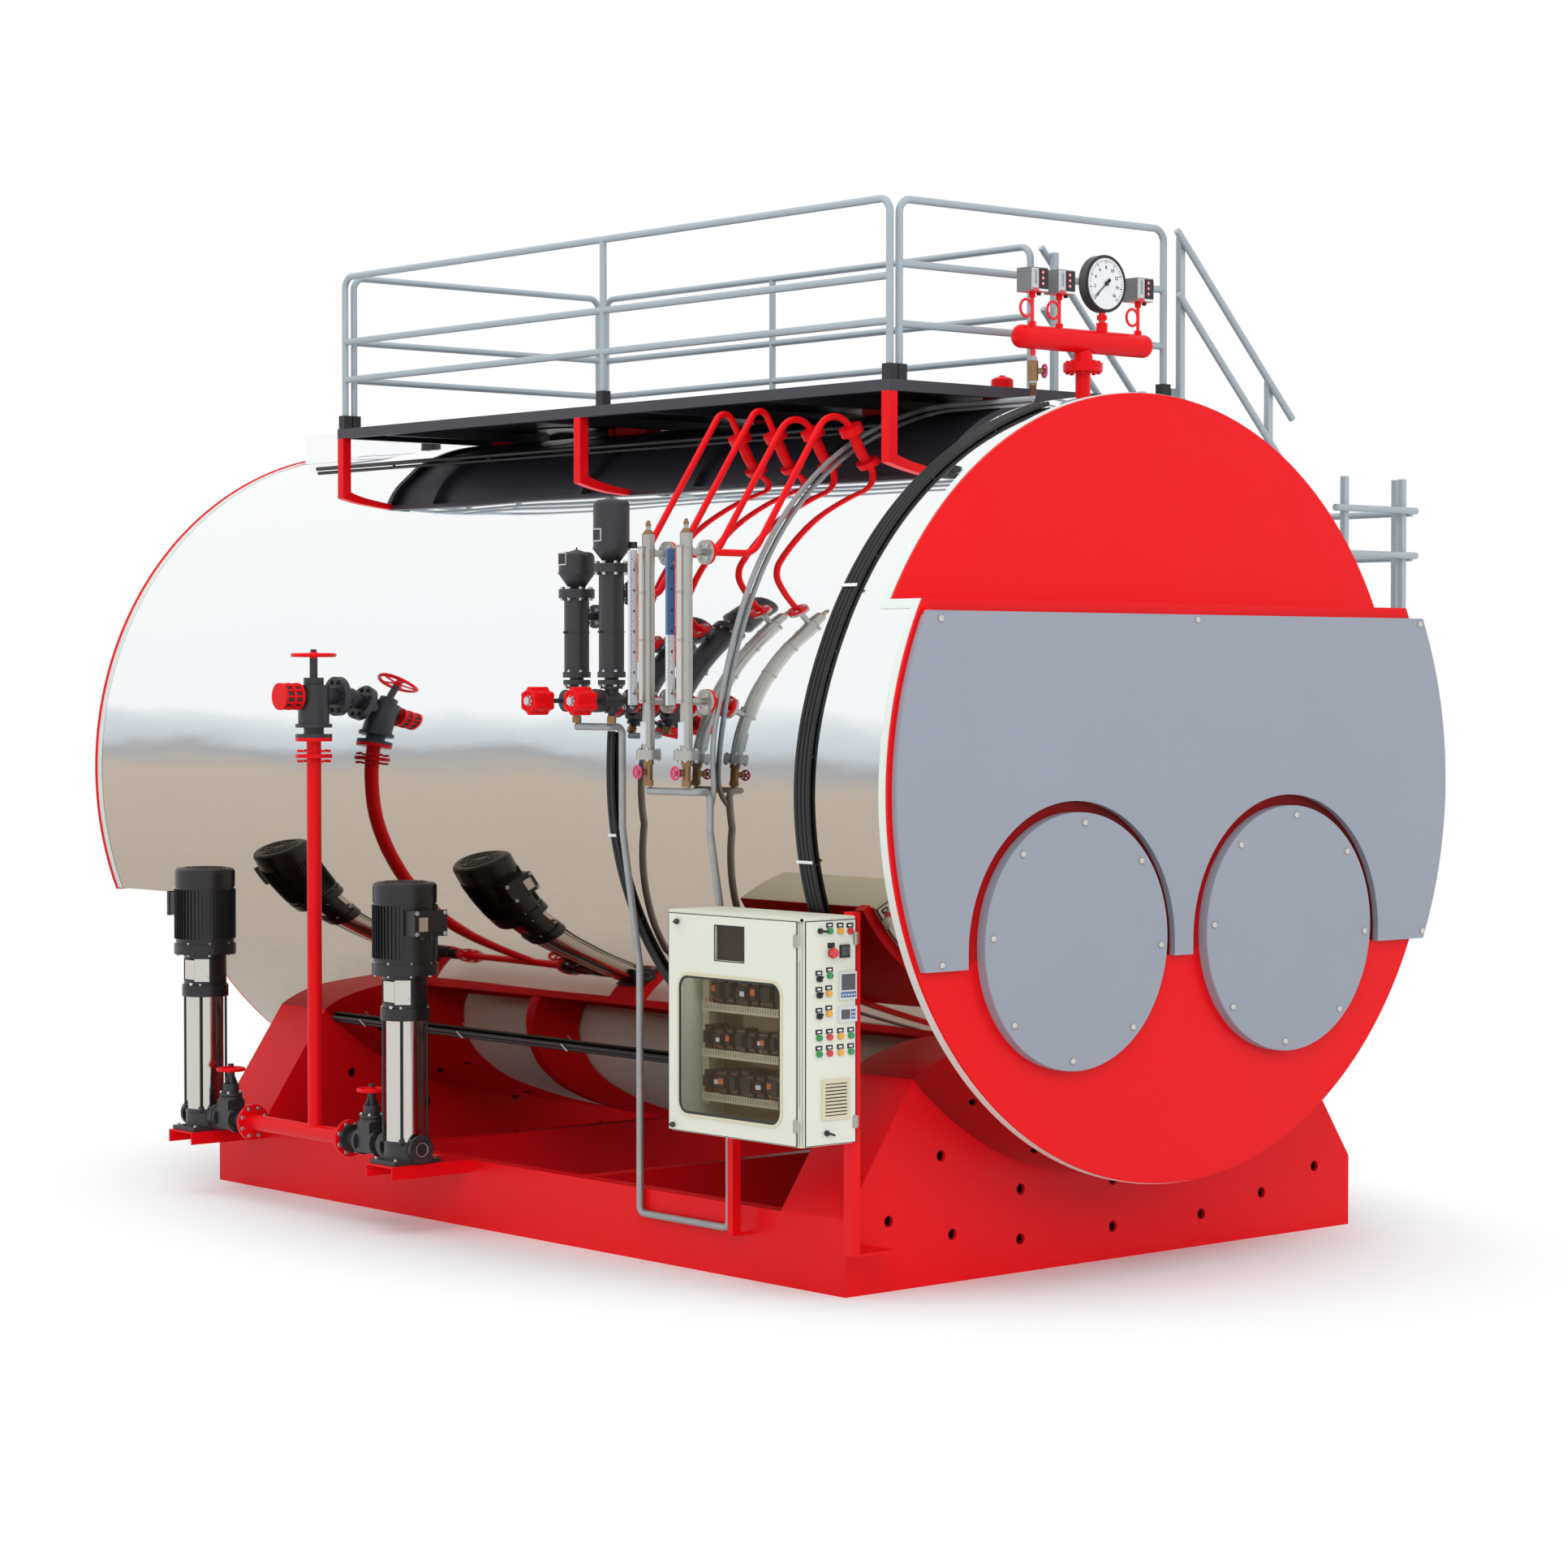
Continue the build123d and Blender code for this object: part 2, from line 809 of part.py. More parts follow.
def guardrail(plane, start, end, mid_heights, mid_posts, name):
    """A panel of bent tube: two end posts joined by the top rail, mid rails and upright posts."""
    tube_radius = rail_diameter / 2
    low = deck_top_height
    high = deck_top_height + rail_top
    with BuildPart() as panel:
        with BuildLine(plane):
            FilletPolyline((start, low), (start, high), (end, high), (end, low), radius=rail_bend)
        with BuildSketch(Plane(origin=plane.from_local_coords((start, low, 0)), z_dir=(0, 0, 1))):
            Circle(tube_radius)
        sweep()
        for height in mid_heights:
            rail_start = plane.from_local_coords((start, low + height, 0))
            with BuildSketch(Plane(origin=rail_start, z_dir=plane.x_dir)):
                Circle(tube_radius)
            extrude(amount=end - start)
        for post in mid_posts:
            post_foot = plane.from_local_coords((post, low, 0))
            with BuildSketch(Plane(origin=post_foot, z_dir=(0, 0, 1))):
                Circle(tube_radius)
            extrude(amount=rail_top)
        for post in (start, end) + tuple(mid_posts):
            with Locations(plane.from_local_coords((post, low, 0))):
                Box(socket_size, socket_size, socket_height, align=(Align.CENTER, Align.CENTER, Align.MIN))
    finish(panel.part, name)


rail_left_x = deck_left + rail_inset + socket_size / 4
rail_right_x = deck_right - rail_inset - socket_size / 4
rail_front_y = deck_front + rail_inset + socket_size / 4
rail_rear_y = deck_rear - rail_inset - socket_size / 4
left_plane = Plane(origin=(rail_left_x, 0, 0), x_dir=(0, 1, 0), z_dir=(1, 0, 0))
right_plane = Plane(origin=(rail_right_x, 0, 0), x_dir=(0, 1, 0), z_dir=(1, 0, 0))
front_rail_plane = Plane(origin=(0, rail_front_y, 0), x_dir=(1, 0, 0), z_dir=(0, -1, 0))
rear_rail_plane = Plane(origin=(0, rail_rear_y, 0), x_dir=(1, 0, 0), z_dir=(0, -1, 0))
guardrail(left_plane, rail_front_y, rail_rear_y, side_rail_heights, (side_post_y,), "guardrail_left")
guardrail(
    right_plane,
    rail_front_y + stair_opening,
    rail_rear_y,
    side_rail_heights,
    (right_post_y,),
    "guardrail_right",
)
guardrail(
    front_rail_plane,
    rail_left_x + post_gap,
    rail_right_x,
    end_rail_heights,
    (),
    "guardrail_front",
)
guardrail(
    rear_rail_plane,
    rail_left_x + post_gap,
    rail_right_x - post_gap,
    side_rail_heights,
    (),
    "guardrail_rear",
)


def shell_cutter(length=2 * skid_length):
    """A long round bar, a little larger than the shell, used to cut feet to its surface."""
    with BuildPart() as cutter:
        with Locations((0, 0, shell_centre_height)):
            Cylinder(shell_radius + saddle_seat_gap, length, rotation=(90, 0, 0))
    return cutter.part


def rod(start, end, diameter):
    """A straight round bar or pipe between two points."""
    axis = Vector(*end) - Vector(*start)
    with BuildPart() as piece:
        with BuildSketch(Plane(origin=start, z_dir=axis)):
            Circle(diameter / 2)
        extrude(amount=axis.length)
    return piece.part


def pipe(points, diameter, bend):
    """A round bar or pipe that follows a line with rounded corners."""
    with BuildPart() as piece:
        with BuildLine() as route:
            FilletPolyline(*points, radius=bend)
        with BuildSketch(Plane(origin=route.line @ 0, z_dir=route.line % 0)):
            Circle(diameter / 2)
        sweep()
    return piece.part


def block(low, high):
    """A rectangular block between its lowest and its highest corner."""
    with BuildPart() as piece:
        with Locations(low):
            Box(
                high[0] - low[0],
                high[1] - low[1],
                high[2] - low[2],
                align=(Align.MIN, Align.MIN, Align.MIN),
            )
    return piece.part


def joined(pieces, cutters=()):
    """One sub-part made of several pieces, less the cutters."""
    with BuildPart() as whole:
        for piece in pieces:
            add(piece)
        for cutter in cutters:
            add(cutter, mode=Mode.SUBTRACT)
    return whole.part


def outline_plate(plane, points, thickness):
    """A flat plate with straight edges."""
    with BuildPart() as piece:
        with BuildSketch(plane):
            with BuildLine():
                Polyline(*points, close=True)
            make_face()
        extrude(amount=thickness)
    return piece.part


# Stair flights, drawn from the top edge: local X leads down the flight, local Y goes across it
slope_drop = tan(radians(stair_slope))
stringer_fall = stringer_depth / cos(radians(stair_slope))


def nosing_height(run):
    """Height of the nosing line, measured from the top of a flight."""
    return -(run - stair_head) * slope_drop


def flight_stringers(drop, width, foot_height):
    """The two sloped side plates of a flight; they end above the lower floor at a foot height."""
    top_run = stair_head + (drop + stringer_rise - foot_height) / slope_drop
    low_run = stair_head + (drop + stringer_rise - stringer_fall) / slope_drop
    points = [
        (0, stringer_rise),
        (stair_head, stringer_rise),
        (top_run, foot_height - drop),
        (top_run, -drop),
        (low_run, -drop),
        (0, nosing_height(0) + stringer_rise - stringer_fall),
    ]
    near = outline_plate(Plane(origin=(0, 0, 0), x_dir=(1, 0, 0), z_dir=(0, -1, 0)), points, -stringer_thickness)
    far_plane = Plane(origin=(0, width, 0), x_dir=(1, 0, 0), z_dir=(0, -1, 0))
    far = outline_plate(far_plane, points, stringer_thickness)
    return [near, far]


def flight_treads(drop, width):
    """The treads between the stringers, the highest of them level with the floor above."""
    risers = round(drop / riser_target)
    going = drop / slope_drop / risers
    pieces = [block((0, stringer_thickness, -tread_thickness), (stair_head, width - stringer_thickness, 0))]
    for number in range(1, risers):
        nose = stair_head + number * going
        top = -number * drop / risers
        pieces.append(
            block(
                (nose - tread_depth, stringer_thickness, top - tread_thickness),
                (nose, width - stringer_thickness, top),
            )
        )
    return pieces


def flight_handrail(width, side, post_runs, rail_ends):
    """One sloped handrail with two rails on square posts; side is -1 for the near edge, 1 for the far one."""
    edge = 0 if side < 0 else width
    post_low = min(edge, edge + side * stair_post)
    rail_y = edge + side * (stair_post + stair_rail_diameter / 2 - 1)
    pieces = []
    for run in post_runs:
        floor = nosing_height(run)
        pieces.append(
            block(
                (run - stair_post / 2, post_low, floor + stringer_rise - post_lap),
                (run + stair_post / 2, post_low + stair_post, floor + stair_rail_heights[0] + post_above_rail),
            )
        )
    for height, first, last in zip(stair_rail_heights, stair_rail_starts, rail_ends):
        start = (stair_head + first, rail_y, height + nosing_height(stair_head + first))
        end = (stair_head + last, rail_y, height + nosing_height(stair_head + last))
        pieces.append(rod(start, end, stair_rail_diameter))
    return joined(pieces)


upper_drop = deck_top_height - landing_height
upper_place = Location((deck_right, deck_front, deck_top_height))
lower_place = Location((landing_right, deck_front + upper_flight_width, landing_height), (0, 0, 90))
lower_run = landing_height / slope_drop

upper_stringers = flight_stringers(upper_drop, upper_flight_width, stringer_end_height)
lower_stringers = flight_stringers(landing_height, lower_flight_width, stringer_toe_height)
stringers = Compound(
    [upper_place * piece for piece in upper_stringers] + [lower_place * piece for piece in lower_stringers]
)
finish(stringers, "stair_stringers")
upper_treads = Compound([upper_place * piece for piece in flight_treads(upper_drop, upper_flight_width)])
finish(upper_treads, "upper_stair_treads")
lower_treads = Compound([lower_place * piece for piece in flight_treads(landing_height, lower_flight_width)])
finish(lower_treads, "lower_stair_treads")
lower_rail_ends = (lower_run - 120, lower_run - 120)
handrails = Compound(
    [
        upper_place * flight_handrail(upper_flight_width, side, upper_post_runs, upper_rail_ends)
        for side in (-1, 1)
    ]
    + [
        lower_place * flight_handrail(lower_flight_width, side, lower_post_runs, lower_rail_ends)
        for side in (-1, 1)
    ]
)
finish(handrails, "stair_handrails")

# Landing between the flights
landing_rear = deck_front + upper_flight_width
landing_underside = landing_height - landing_frame_depth
landing_outer = block((landing_left, deck_front, landing_underside), (landing_right, landing_rear, landing_height))
landing_hollow = block(
    (landing_left + landing_frame_wall, deck_front + landing_frame_wall, landing_underside),
    (landing_right - landing_frame_wall, landing_rear - landing_frame_wall, landing_height - deck_plate),
)
finish(joined([landing_outer], [landing_hollow]), "landing")

post_plane_y = deck_front - stair_post
post_plane_x = landing_right
front_rail_y = post_plane_y - stair_rail_diameter / 2 + 1
side_rail_x = landing_right + stair_post + stair_rail_diameter / 2 - 1
rail_end_x = landing_right + landing_rail_overrun
side_rail_start = front_rail_y + stair_rail_diameter / 2 + panel_gap
landing_front_panel = []
landing_side_panel = []
for post_x in (landing_left + 120, landing_right - stair_post / 2 - 3):
    landing_front_panel.append(
        block(
            (post_x - stair_post / 2, post_plane_y, landing_underside),
            (post_x + stair_post / 2, deck_front, landing_height + landing_post_top),
        )
    )
for post_y in (deck_front + landing_post_inset, landing_rear - landing_post_inset):
    landing_side_panel.append(
        block(
            (post_plane_x, post_y - stair_post / 2, landing_underside),
            (post_plane_x + stair_post, post_y + stair_post / 2, landing_height + landing_post_top),
        )
    )
for rail_height in landing_rail_heights:
    level = landing_height + rail_height
    landing_front_panel.append(
        rod((landing_left, front_rail_y, level), (rail_end_x, front_rail_y, level), stair_rail_diameter)
    )
    landing_side_panel.append(
        rod(
            (side_rail_x, side_rail_start, level - side_rail_drop),
            (side_rail_x, landing_rear - landing_post_inset + stair_post / 2, level - side_rail_drop),
            stair_rail_diameter,
        )
    )
finish(Compound([joined(landing_front_panel), joined(landing_side_panel)]), "landing_guardrail")

# Triangular brackets that carry the landing from the shell
bracket_top = landing_underside
bracket_beam_low = bracket_top - bracket_beam_depth
brackets = []
for bracket_y in bracket_ys:
    bracket_plane = front_plane(bracket_y + bracket_thickness / 2)
    beam_points = [
        (shell_radius - 150, bracket_top),
        (landing_right, bracket_top),
        (landing_right, bracket_beam_low),
        (shell_radius - 150, bracket_beam_low),
    ]
    brace_points = [
        (brace_reach, bracket_beam_low),
        (brace_reach - 2 * brace_depth, bracket_beam_low),
        (shell_radius - 150, brace_foot_height),
        (shell_radius - 150, brace_foot_height - 2 * brace_depth),
        (shell_radius - 50, brace_foot_height - 2 * brace_depth),
    ]
    brackets.append(outline_plate(bracket_plane, beam_points, bracket_thickness))
    brackets.append(outline_plate(bracket_plane, brace_points, bracket_thickness))
finish(joined(brackets, [shell_cutter()]), "landing_brackets")

# Pressure header with its stand pipe
header_middle = (0, header_y, header_height)
with BuildPart() as header_barrel:
    with BuildSketch(Plane(origin=(-header_length / 2, header_y, header_height), z_dir=(1, 0, 0))):
        Circle(header_diameter / 2)
    extrude(amount=header_length)
    fillet(header_barrel.edges().filter_by(GeomType.CIRCLE), header_end_round)
stand_pipe = rod((0, header_y, crown_height - stand_pipe_diameter), header_middle, stand_pipe_diameter)
stand_flange = rod(
    (0, header_y, stand_flange_height), (0, header_y, stand_flange_height + stand_flange_thickness), stand_flange_diameter
)
finish(joined([header_barrel.part, stand_pipe, stand_flange], [shell_cutter()]), "pressure_header")
header_cutter = rod(
    (-header_length, header_y, header_height), (header_length, header_y, header_height), header_diameter
)

# Pressure gauge, its face to the front
gauge_stem = rod((gauge_x, header_y, header_height), (gauge_x, header_y, gauge_centre_height), gauge_stem_diameter)
gauge_case = rod(
    (gauge_x, header_y + gauge_thickness / 2, gauge_centre_height),
    (gauge_x, header_y - gauge_thickness / 2, gauge_centre_height),
    2 * gauge_radius,
)
finish(joined([gauge_stem, gauge_case], [header_cutter]), "pressure_gauge")

# Pressure switches on looped siphon tubes
switches = []
for switch_x in switch_xs:
    switches.append(
        block(
            (switch_x - switch_width / 2, header_y - switch_depth / 2, switch_bottom_height),
            (switch_x + switch_width / 2, header_y + switch_depth / 2, switch_bottom_height + switch_height),
        )
    )
    switches.append(
        rod((switch_x, header_y, header_height), (switch_x, header_y, switch_bottom_height), switch_stem_diameter)
    )
    with BuildPart() as siphon_loop:
        with Locations(Location((switch_x - siphon_radius, header_y, siphon_height), (90, 0, 0))):
            Torus(siphon_radius, siphon_tube / 2)
    switches.append(siphon_loop.part)
finish(joined(switches, [header_cutter]), "pressure_switches")

# Header drain: a valve below the header and a pipe that lies round the shell
shell_rest = shell_radius + drain_route_gap + drain_pipe_diameter / 2


def on_shell(angle, y, radius):
    """Point at an angle round the boiler, counted from the right over the crown to the left."""
    return (
        radius * cos(radians(angle)),
        y,
        shell_centre_height + radius * sin(radians(angle)),
    )


drain_stub = rod((drain_x, header_y, header_height), (drain_x, header_y, drain_elbow_height), drain_pipe_diameter)
drain_valve = rod(
    (drain_x, header_y, header_height - header_diameter / 2 - 40),
    (drain_x, header_y, header_height - header_diameter / 2 - 40 - drain_valve_length),
    drain_valve_diameter,
)
drain_points = [on_shell(angle, y, shell_rest) for angle, y in zip(drain_route_angles, drain_route_ys)]
drain_high_x = -(shell_radius + drain_shell_gap + drain_diameter / 2)
front_high_y = drain_front_y + drain_front_lean
drain_points.append((drain_high_x, front_high_y, shell_centre_height - 90))
with BuildPart() as drain_run:
    with BuildLine() as drain_line:
        Spline(*drain_points)
    with BuildSketch(Plane(origin=drain_line.line @ 0, z_dir=drain_line.line % 0)):
        Circle(drain_pipe_diameter / 2)
    sweep()
drain_level = pipe(
    [
        (drain_x, header_y, drain_elbow_height),
        (drain_x, drain_points[0][1] - 40, drain_elbow_height),
        drain_points[0],
    ],
    drain_pipe_diameter,
    25,
)
finish(joined([drain_stub, drain_valve, drain_level], [header_cutter, drain_run.part]), "header_drain")

# Level connections on the shell: steam pipes above, water nozzles below
nozzle_angle = degrees(acos(nozzle_x / shell_radius))
steam_ends = [(y, z) for y, z in zip(controller_ys + gauge_ys, controller_tap_heights + (upper_tap_height,) * 2)]
steam_pipes = []
for device_y, tap_height in steam_ends:
    corner_run = (tap_height - steam_pipe_start[1]) / steam_pipe_slope[1]
    corner_x = steam_pipe_start[0] + steam_pipe_slope[0] * corner_run
    foot = on_shell(nozzle_angle, device_y, shell_radius - nozzle_diameter / 2)
    mouth = on_shell(nozzle_angle, device_y, shell_radius + nozzle_flange_reach)
    flange_end = on_shell(
        nozzle_angle, device_y, shell_radius + nozzle_flange_reach + nozzle_flange_thickness
    )
    steam_pipes.append(rod(foot, mouth, nozzle_diameter))
    steam_pipes.append(rod(mouth, flange_end, nozzle_flange_diameter))
    steam_pipes.append(
        pipe(
            [
                mouth,
                (steam_pipe_start[0], device_y, steam_pipe_start[1]),
                (corner_x, device_y, tap_height),
                (level_flange_x + level_flange_thickness, device_y, tap_height),
            ],
            steam_pipe_diameter,
            steam_pipe_bend if corner_x > steam_pipe_tight_from else steam_pipe_tight_bend,
        )
    )
    steam_pipes.append(
        rod(
            (level_flange_x + level_flange_thickness, device_y, tap_height),
            (level_flange_x, device_y, tap_height),
            level_flange_diameter,
        )
    )
finish(joined(steam_pipes, [shell_cutter()]), "level_steam_pipes")

water_nozzles = []
for device_y in controller_ys + gauge_ys:
    start = (shell_side_at(lower_tap_height) + tap_pipe_diameter, device_y, lower_tap_height)
    end = (level_flange_x + level_flange_thickness, device_y, lower_tap_height)
    face = (level_flange_x, device_y, lower_tap_height)
    water_nozzles.append(rod(start, end, tap_pipe_diameter))
    water_nozzles.append(rod(end, face, level_flange_diameter))
finish(joined(water_nozzles, [shell_cutter()]), "level_water_nozzles")

# Level gauges: a column with two side flanges, a scale strip and a drain valve below
gauges = []
for gauge_y in gauge_ys:
    gauges.append(
        rod((column_x, gauge_y, gauge_bottom_height), (column_x, gauge_y, gauge_top_height), gauge_column_diameter)
    )
    gauges.append(
        rod(
            (column_x, gauge_y, gauge_bottom_height - gauge_foot_thickness),
            (column_x, gauge_y, gauge_bottom_height + gauge_foot_thickness),
            gauge_foot_diameter,
        )
    )
    gauges.append(
        rod((column_x, gauge_y, gauge_drain_height), (column_x, gauge_y, gauge_bottom_height), gauge_valve_diameter)
    )
    for tap_height in (upper_tap_height, lower_tap_height):
        gauges.append(
            rod((column_x, gauge_y, tap_height), (level_flange_x, gauge_y, tap_height), tap_pipe_diameter)
        )
        gauges.append(
            rod(
                (level_flange_x - level_flange_thickness, gauge_y, tap_height),
                (level_flange_x, gauge_y, tap_height),
                level_flange_diameter,
            )
        )
    scale_x = column_x - scale_shift
    scale_y = gauge_y + gauge_column_diameter / 2 + scale_bridge
    gauges.append(
        block(
            (scale_x - scale_width / 2, scale_y, scale_low_height),
            (scale_x + scale_width / 2, scale_y + scale_depth, scale_high_height),
        )
    )
    for bridge_height in (scale_low_height + bridge_insets[0], scale_high_height - bridge_insets[1]):
        gauges.append(
            block(
                (scale_x, gauge_y, bridge_height),
                (column_x, scale_y + scale_depth, bridge_height + bridge_thickness),
            )
        )
finish(joined(gauges), "level_gauges")

# Level controllers: a float chamber with a round head, and a shut-off valve below
controllers = []
for controller_y, flange_height, cap_top, cap_height, tap_height, wheel_x in zip(
    controller_ys,
    controller_flange_heights,
    controller_cap_tops,
    controller_cap_heights,
    controller_tap_heights,
    lobe_wheel_xs,
):
    place = (column_x, controller_y)
    half_flange = controller_flange_thickness / 2
    controllers.append(rod(place + (lower_tap_height,), place + (controller_bottom_height,), controller_neck_diameter))
    controllers.append(rod(place + (controller_bottom_height,), place + (flange_height,), controller_column_diameter))
    controllers.append(
        rod(place + (flange_height - half_flange,), place + (flange_height + half_flange,), controller_cap_diameter)
    )
    cap_low = cap_top - cap_height
    controllers.append(rod(place + (flange_height,), place + (cap_low,), controller_neck_diameter))
    with BuildPart() as head:
        with BuildSketch(Plane.XY.offset(cap_low)):
            with Locations(place):
                Circle(controller_cap_diameter / 2)
        extrude(amount=cap_height)
        fillet(head.faces().sort_by(Axis.Z)[-1].edges(), controller_cap_round)
        with Locations(place + (cap_low,)):
            Cone(
                controller_neck_diameter / 2,
                controller_cap_diameter / 2,
                controller_cone_height,
                align=(Align.CENTER, Align.CENTER, Align.MAX),
            )
    controllers.append(head.part)
    for height in (tap_height, lower_tap_height):
        controllers.append(rod(place + (height,), (level_flange_x, controller_y, height), tap_pipe_diameter))
        controllers.append(
            rod(
                (level_flange_x - level_flange_thickness, controller_y, height),
                (level_flange_x, controller_y, height),
                level_flange_diameter,
            )
        )
    valve_left = column_x - valve_body_reach
    valve_top = lower_tap_height + valve_body_reach
    controllers.append(
        rod(
            (valve_left, controller_y, lower_tap_height),
            (column_x + valve_body_back, controller_y, lower_tap_height),
            valve_barrel_diameter,
        )
    )
    controllers.append(
        rod(
            (valve_left - valve_flange_thickness, controller_y, lower_tap_height),
            (valve_left, controller_y, lower_tap_height),
            valve_flange_diameter,
        )
    )
    controllers.append(
        rod(
            (column_x, controller_y, lower_tap_height - valve_body_reach),
            (column_x, controller_y, valve_top),
            valve_neck_diameter,
        )
    )
    controllers.append(
        rod(
            (column_x, controller_y, valve_top),
            (column_x, controller_y, valve_top + valve_flange_thickness),
            valve_flange_diameter,
        )
    )
    controllers.append(
        rod(
            (column_x, controller_y, lower_tap_height),
            (wheel_x - lobe_wheel_length - stem_nut_height, controller_y, lower_tap_height),
            spindle_diameter,
        )
    )
    controllers.append(
        rod(
            (wheel_x + wheel_gap, controller_y, lower_tap_height),
            (wheel_x + lobe_wheel_hub, controller_y, lower_tap_height),
            2 * spindle_diameter,
        )
    )
    controllers.append(
        rod(
            (wheel_x - lobe_wheel_length - wheel_gap, controller_y, lower_tap_height),
            (wheel_x - lobe_wheel_length - stem_nut_height, controller_y, lower_tap_height),
            1.5 * spindle_diameter,
        )
    )
    controllers.append(
        rod(
            (column_x, controller_y, lower_tap_height),
            (column_x, controller_y, controller_drain_height),
            drain_diameter,
        )
    )
finish(joined(controllers), "level_controllers")

# Lobed hand wheels of the controller valves
for number, (controller_y, wheel_x) in enumerate(zip(controller_ys, lobe_wheel_xs), start=1):
    with BuildPart() as lobe_wheel:
        with BuildSketch(Plane(origin=(wheel_x, controller_y, lower_tap_height), z_dir=(-1, 0, 0))):
            Circle(0.82 * lobe_wheel_radius)
            with PolarLocations(0.72 * lobe_wheel_radius, lobe_count):
                Circle(0.28 * lobe_wheel_radius)
            Circle(spindle_diameter / 2 + wheel_gap, mode=Mode.SUBTRACT)
        extrude(amount=lobe_wheel_length)
    finish(lobe_wheel.part, f"level_valve_wheel_{number}")

# Drain pipes: down from the controllers, along the skid and up to the gauges
controller_level = controller_drain_height - drain_diameter / 2
gauge_level = gauge_drain_height - drain_diameter / 2
rear_high_y = drain_rear_y + drain_rear_lean
drain_loop = pipe(
    [
        (column_x, controller_ys[0], controller_level),
        (column_x, rear_high_y, controller_level),
        (drain_high_x, rear_high_y, controller_level),
        (drain_high_x, rear_high_y, drain_lean_height),
        (drain_low_x, drain_rear_y, drain_knee_height),
        (drain_low_x, drain_rear_y, drain_low_height),
        (drain_low_x, drain_front_y, drain_low_height),
        (drain_low_x, drain_front_y, drain_knee_height),
        (drain_high_x, front_high_y, drain_lean_height),
        (drain_high_x, front_high_y, gauge_level),
        (column_x, front_high_y, gauge_level),
        (column_x, gauge_ys[0], gauge_level),
    ],
    drain_diameter,
    drain_bend,
)
finish(joined([drain_loop, drain_run.part]), "drain_pipes")

# Feed line: a header between the pumps, with the riser to the stop valve
feed_line = [
    rod(
        (pump_x, feed_flange_ys[0], feed_height),
        (pump_x, feed_flange_ys[1], feed_height),
        feed_pipe_diameter,
    ),
    rod((pump_x, riser_y, feed_height), (pump_x, riser_y, riser_flange_high), riser_pipe_diameter),
]
for flange_y in (feed_flange_ys[0], feed_flange_ys[1] - feed_flange_thickness):
    feed_line.append(
        rod(
            (pump_x, flange_y, feed_height),
            (pump_x, flange_y + feed_flange_thickness, feed_height),
            feed_flange_diameter,
        )
    )
for flange_height in (riser_flange_low, riser_flange_high - feed_flange_thickness):
    feed_line.append(
        rod(
            (pump_x, riser_y, flange_height),
            (pump_x, riser_y, flange_height + feed_flange_thickness),
            feed_flange_diameter,
        )
    )
finish(joined(feed_line), "feed_header")

# Stop valve of the feed line, with its shell nozzle
wheel_half = wheel_hub_height / 2
stop_valve = [
    rod((pump_x, riser_y, riser_flange_high), (pump_x, riser_y, stop_valve_high), stop_valve_neck_diameter),
    rod((pump_x, riser_y, stop_valve_low), (pump_x, riser_y, stop_valve_high - 40), stop_valve_body_diameter),
    rod(
        (pump_x, riser_y, riser_flange_high),
        (pump_x, riser_y, riser_flange_high + feed_flange_thickness),
        feed_flange_diameter,
    ),
    rod(
        (pump_x, riser_y, stop_valve_low - feed_flange_thickness),
        (pump_x, riser_y, stop_valve_low),
        feed_flange_diameter,
    ),
    rod((pump_x, riser_y, stop_valve_high), (pump_x, riser_y, hand_wheel_height - wheel_half - wheel_gap), wheel_hub_diameter),
    rod(
        (pump_x, riser_y, stop_valve_high),
        (pump_x, riser_y, hand_wheel_height + wheel_half + wheel_gap + stem_nut_height),
        stem_diameter,
    ),
    rod(
        (pump_x, riser_y, hand_wheel_height + wheel_half + wheel_gap),
        (pump_x, riser_y, hand_wheel_height + wheel_half + wheel_gap + stem_nut_height),
        1.5 * stem_diameter,
    ),
    rod((pump_x, riser_y, stop_valve_height), (shell_flange_x, riser_y, stop_valve_height), nozzle_pipe_diameter),
    rod(
        (shell_flange_x - 2 * feed_flange_thickness, riser_y, stop_valve_height),
        (shell_flange_x, riser_y, stop_valve_height),
        stop_valve_flange_diameter,
    ),
    rod(
        (shell_flange_x, riser_y, stop_valve_height),
        (-shell_radius + 80, riser_y, stop_valve_height),
        nozzle_pipe_diameter,
    ),
    rod((pump_x, riser_y, stop_valve_height), (knob_x, riser_y, stop_valve_height), wheel_hub_diameter),
    rod((knob_x + knob_length, riser_y, stop_valve_height), (knob_x, riser_y, stop_valve_height), knob_diameter),
]
finish(joined(stop_valve, [shell_cutter()]), "feed_stop_valve")


def hand_wheel(diameter):
    """A spoked hand wheel that lies level, centred on its hub."""
    rim_radius = (diameter - wheel_rim) / 2
    with BuildPart() as wheel:
        Cylinder(wheel_hub_diameter / 2, wheel_hub_height)
        Torus(rim_radius, wheel_rim / 2)
        with PolarLocations(0, wheel_spokes):
            Box(rim_radius, wheel_spoke, wheel_spoke / 2, align=(Align.MIN, Align.CENTER, Align.CENTER))
        Cylinder(stem_diameter / 2 + wheel_gap, 2 * wheel_hub_height, mode=Mode.SUBTRACT)
    return wheel.part


stop_wheel = Location((pump_x, riser_y, hand_wheel_height)) * hand_wheel(hand_wheel_diameter)
finish(stop_wheel, "stop_valve_wheel")

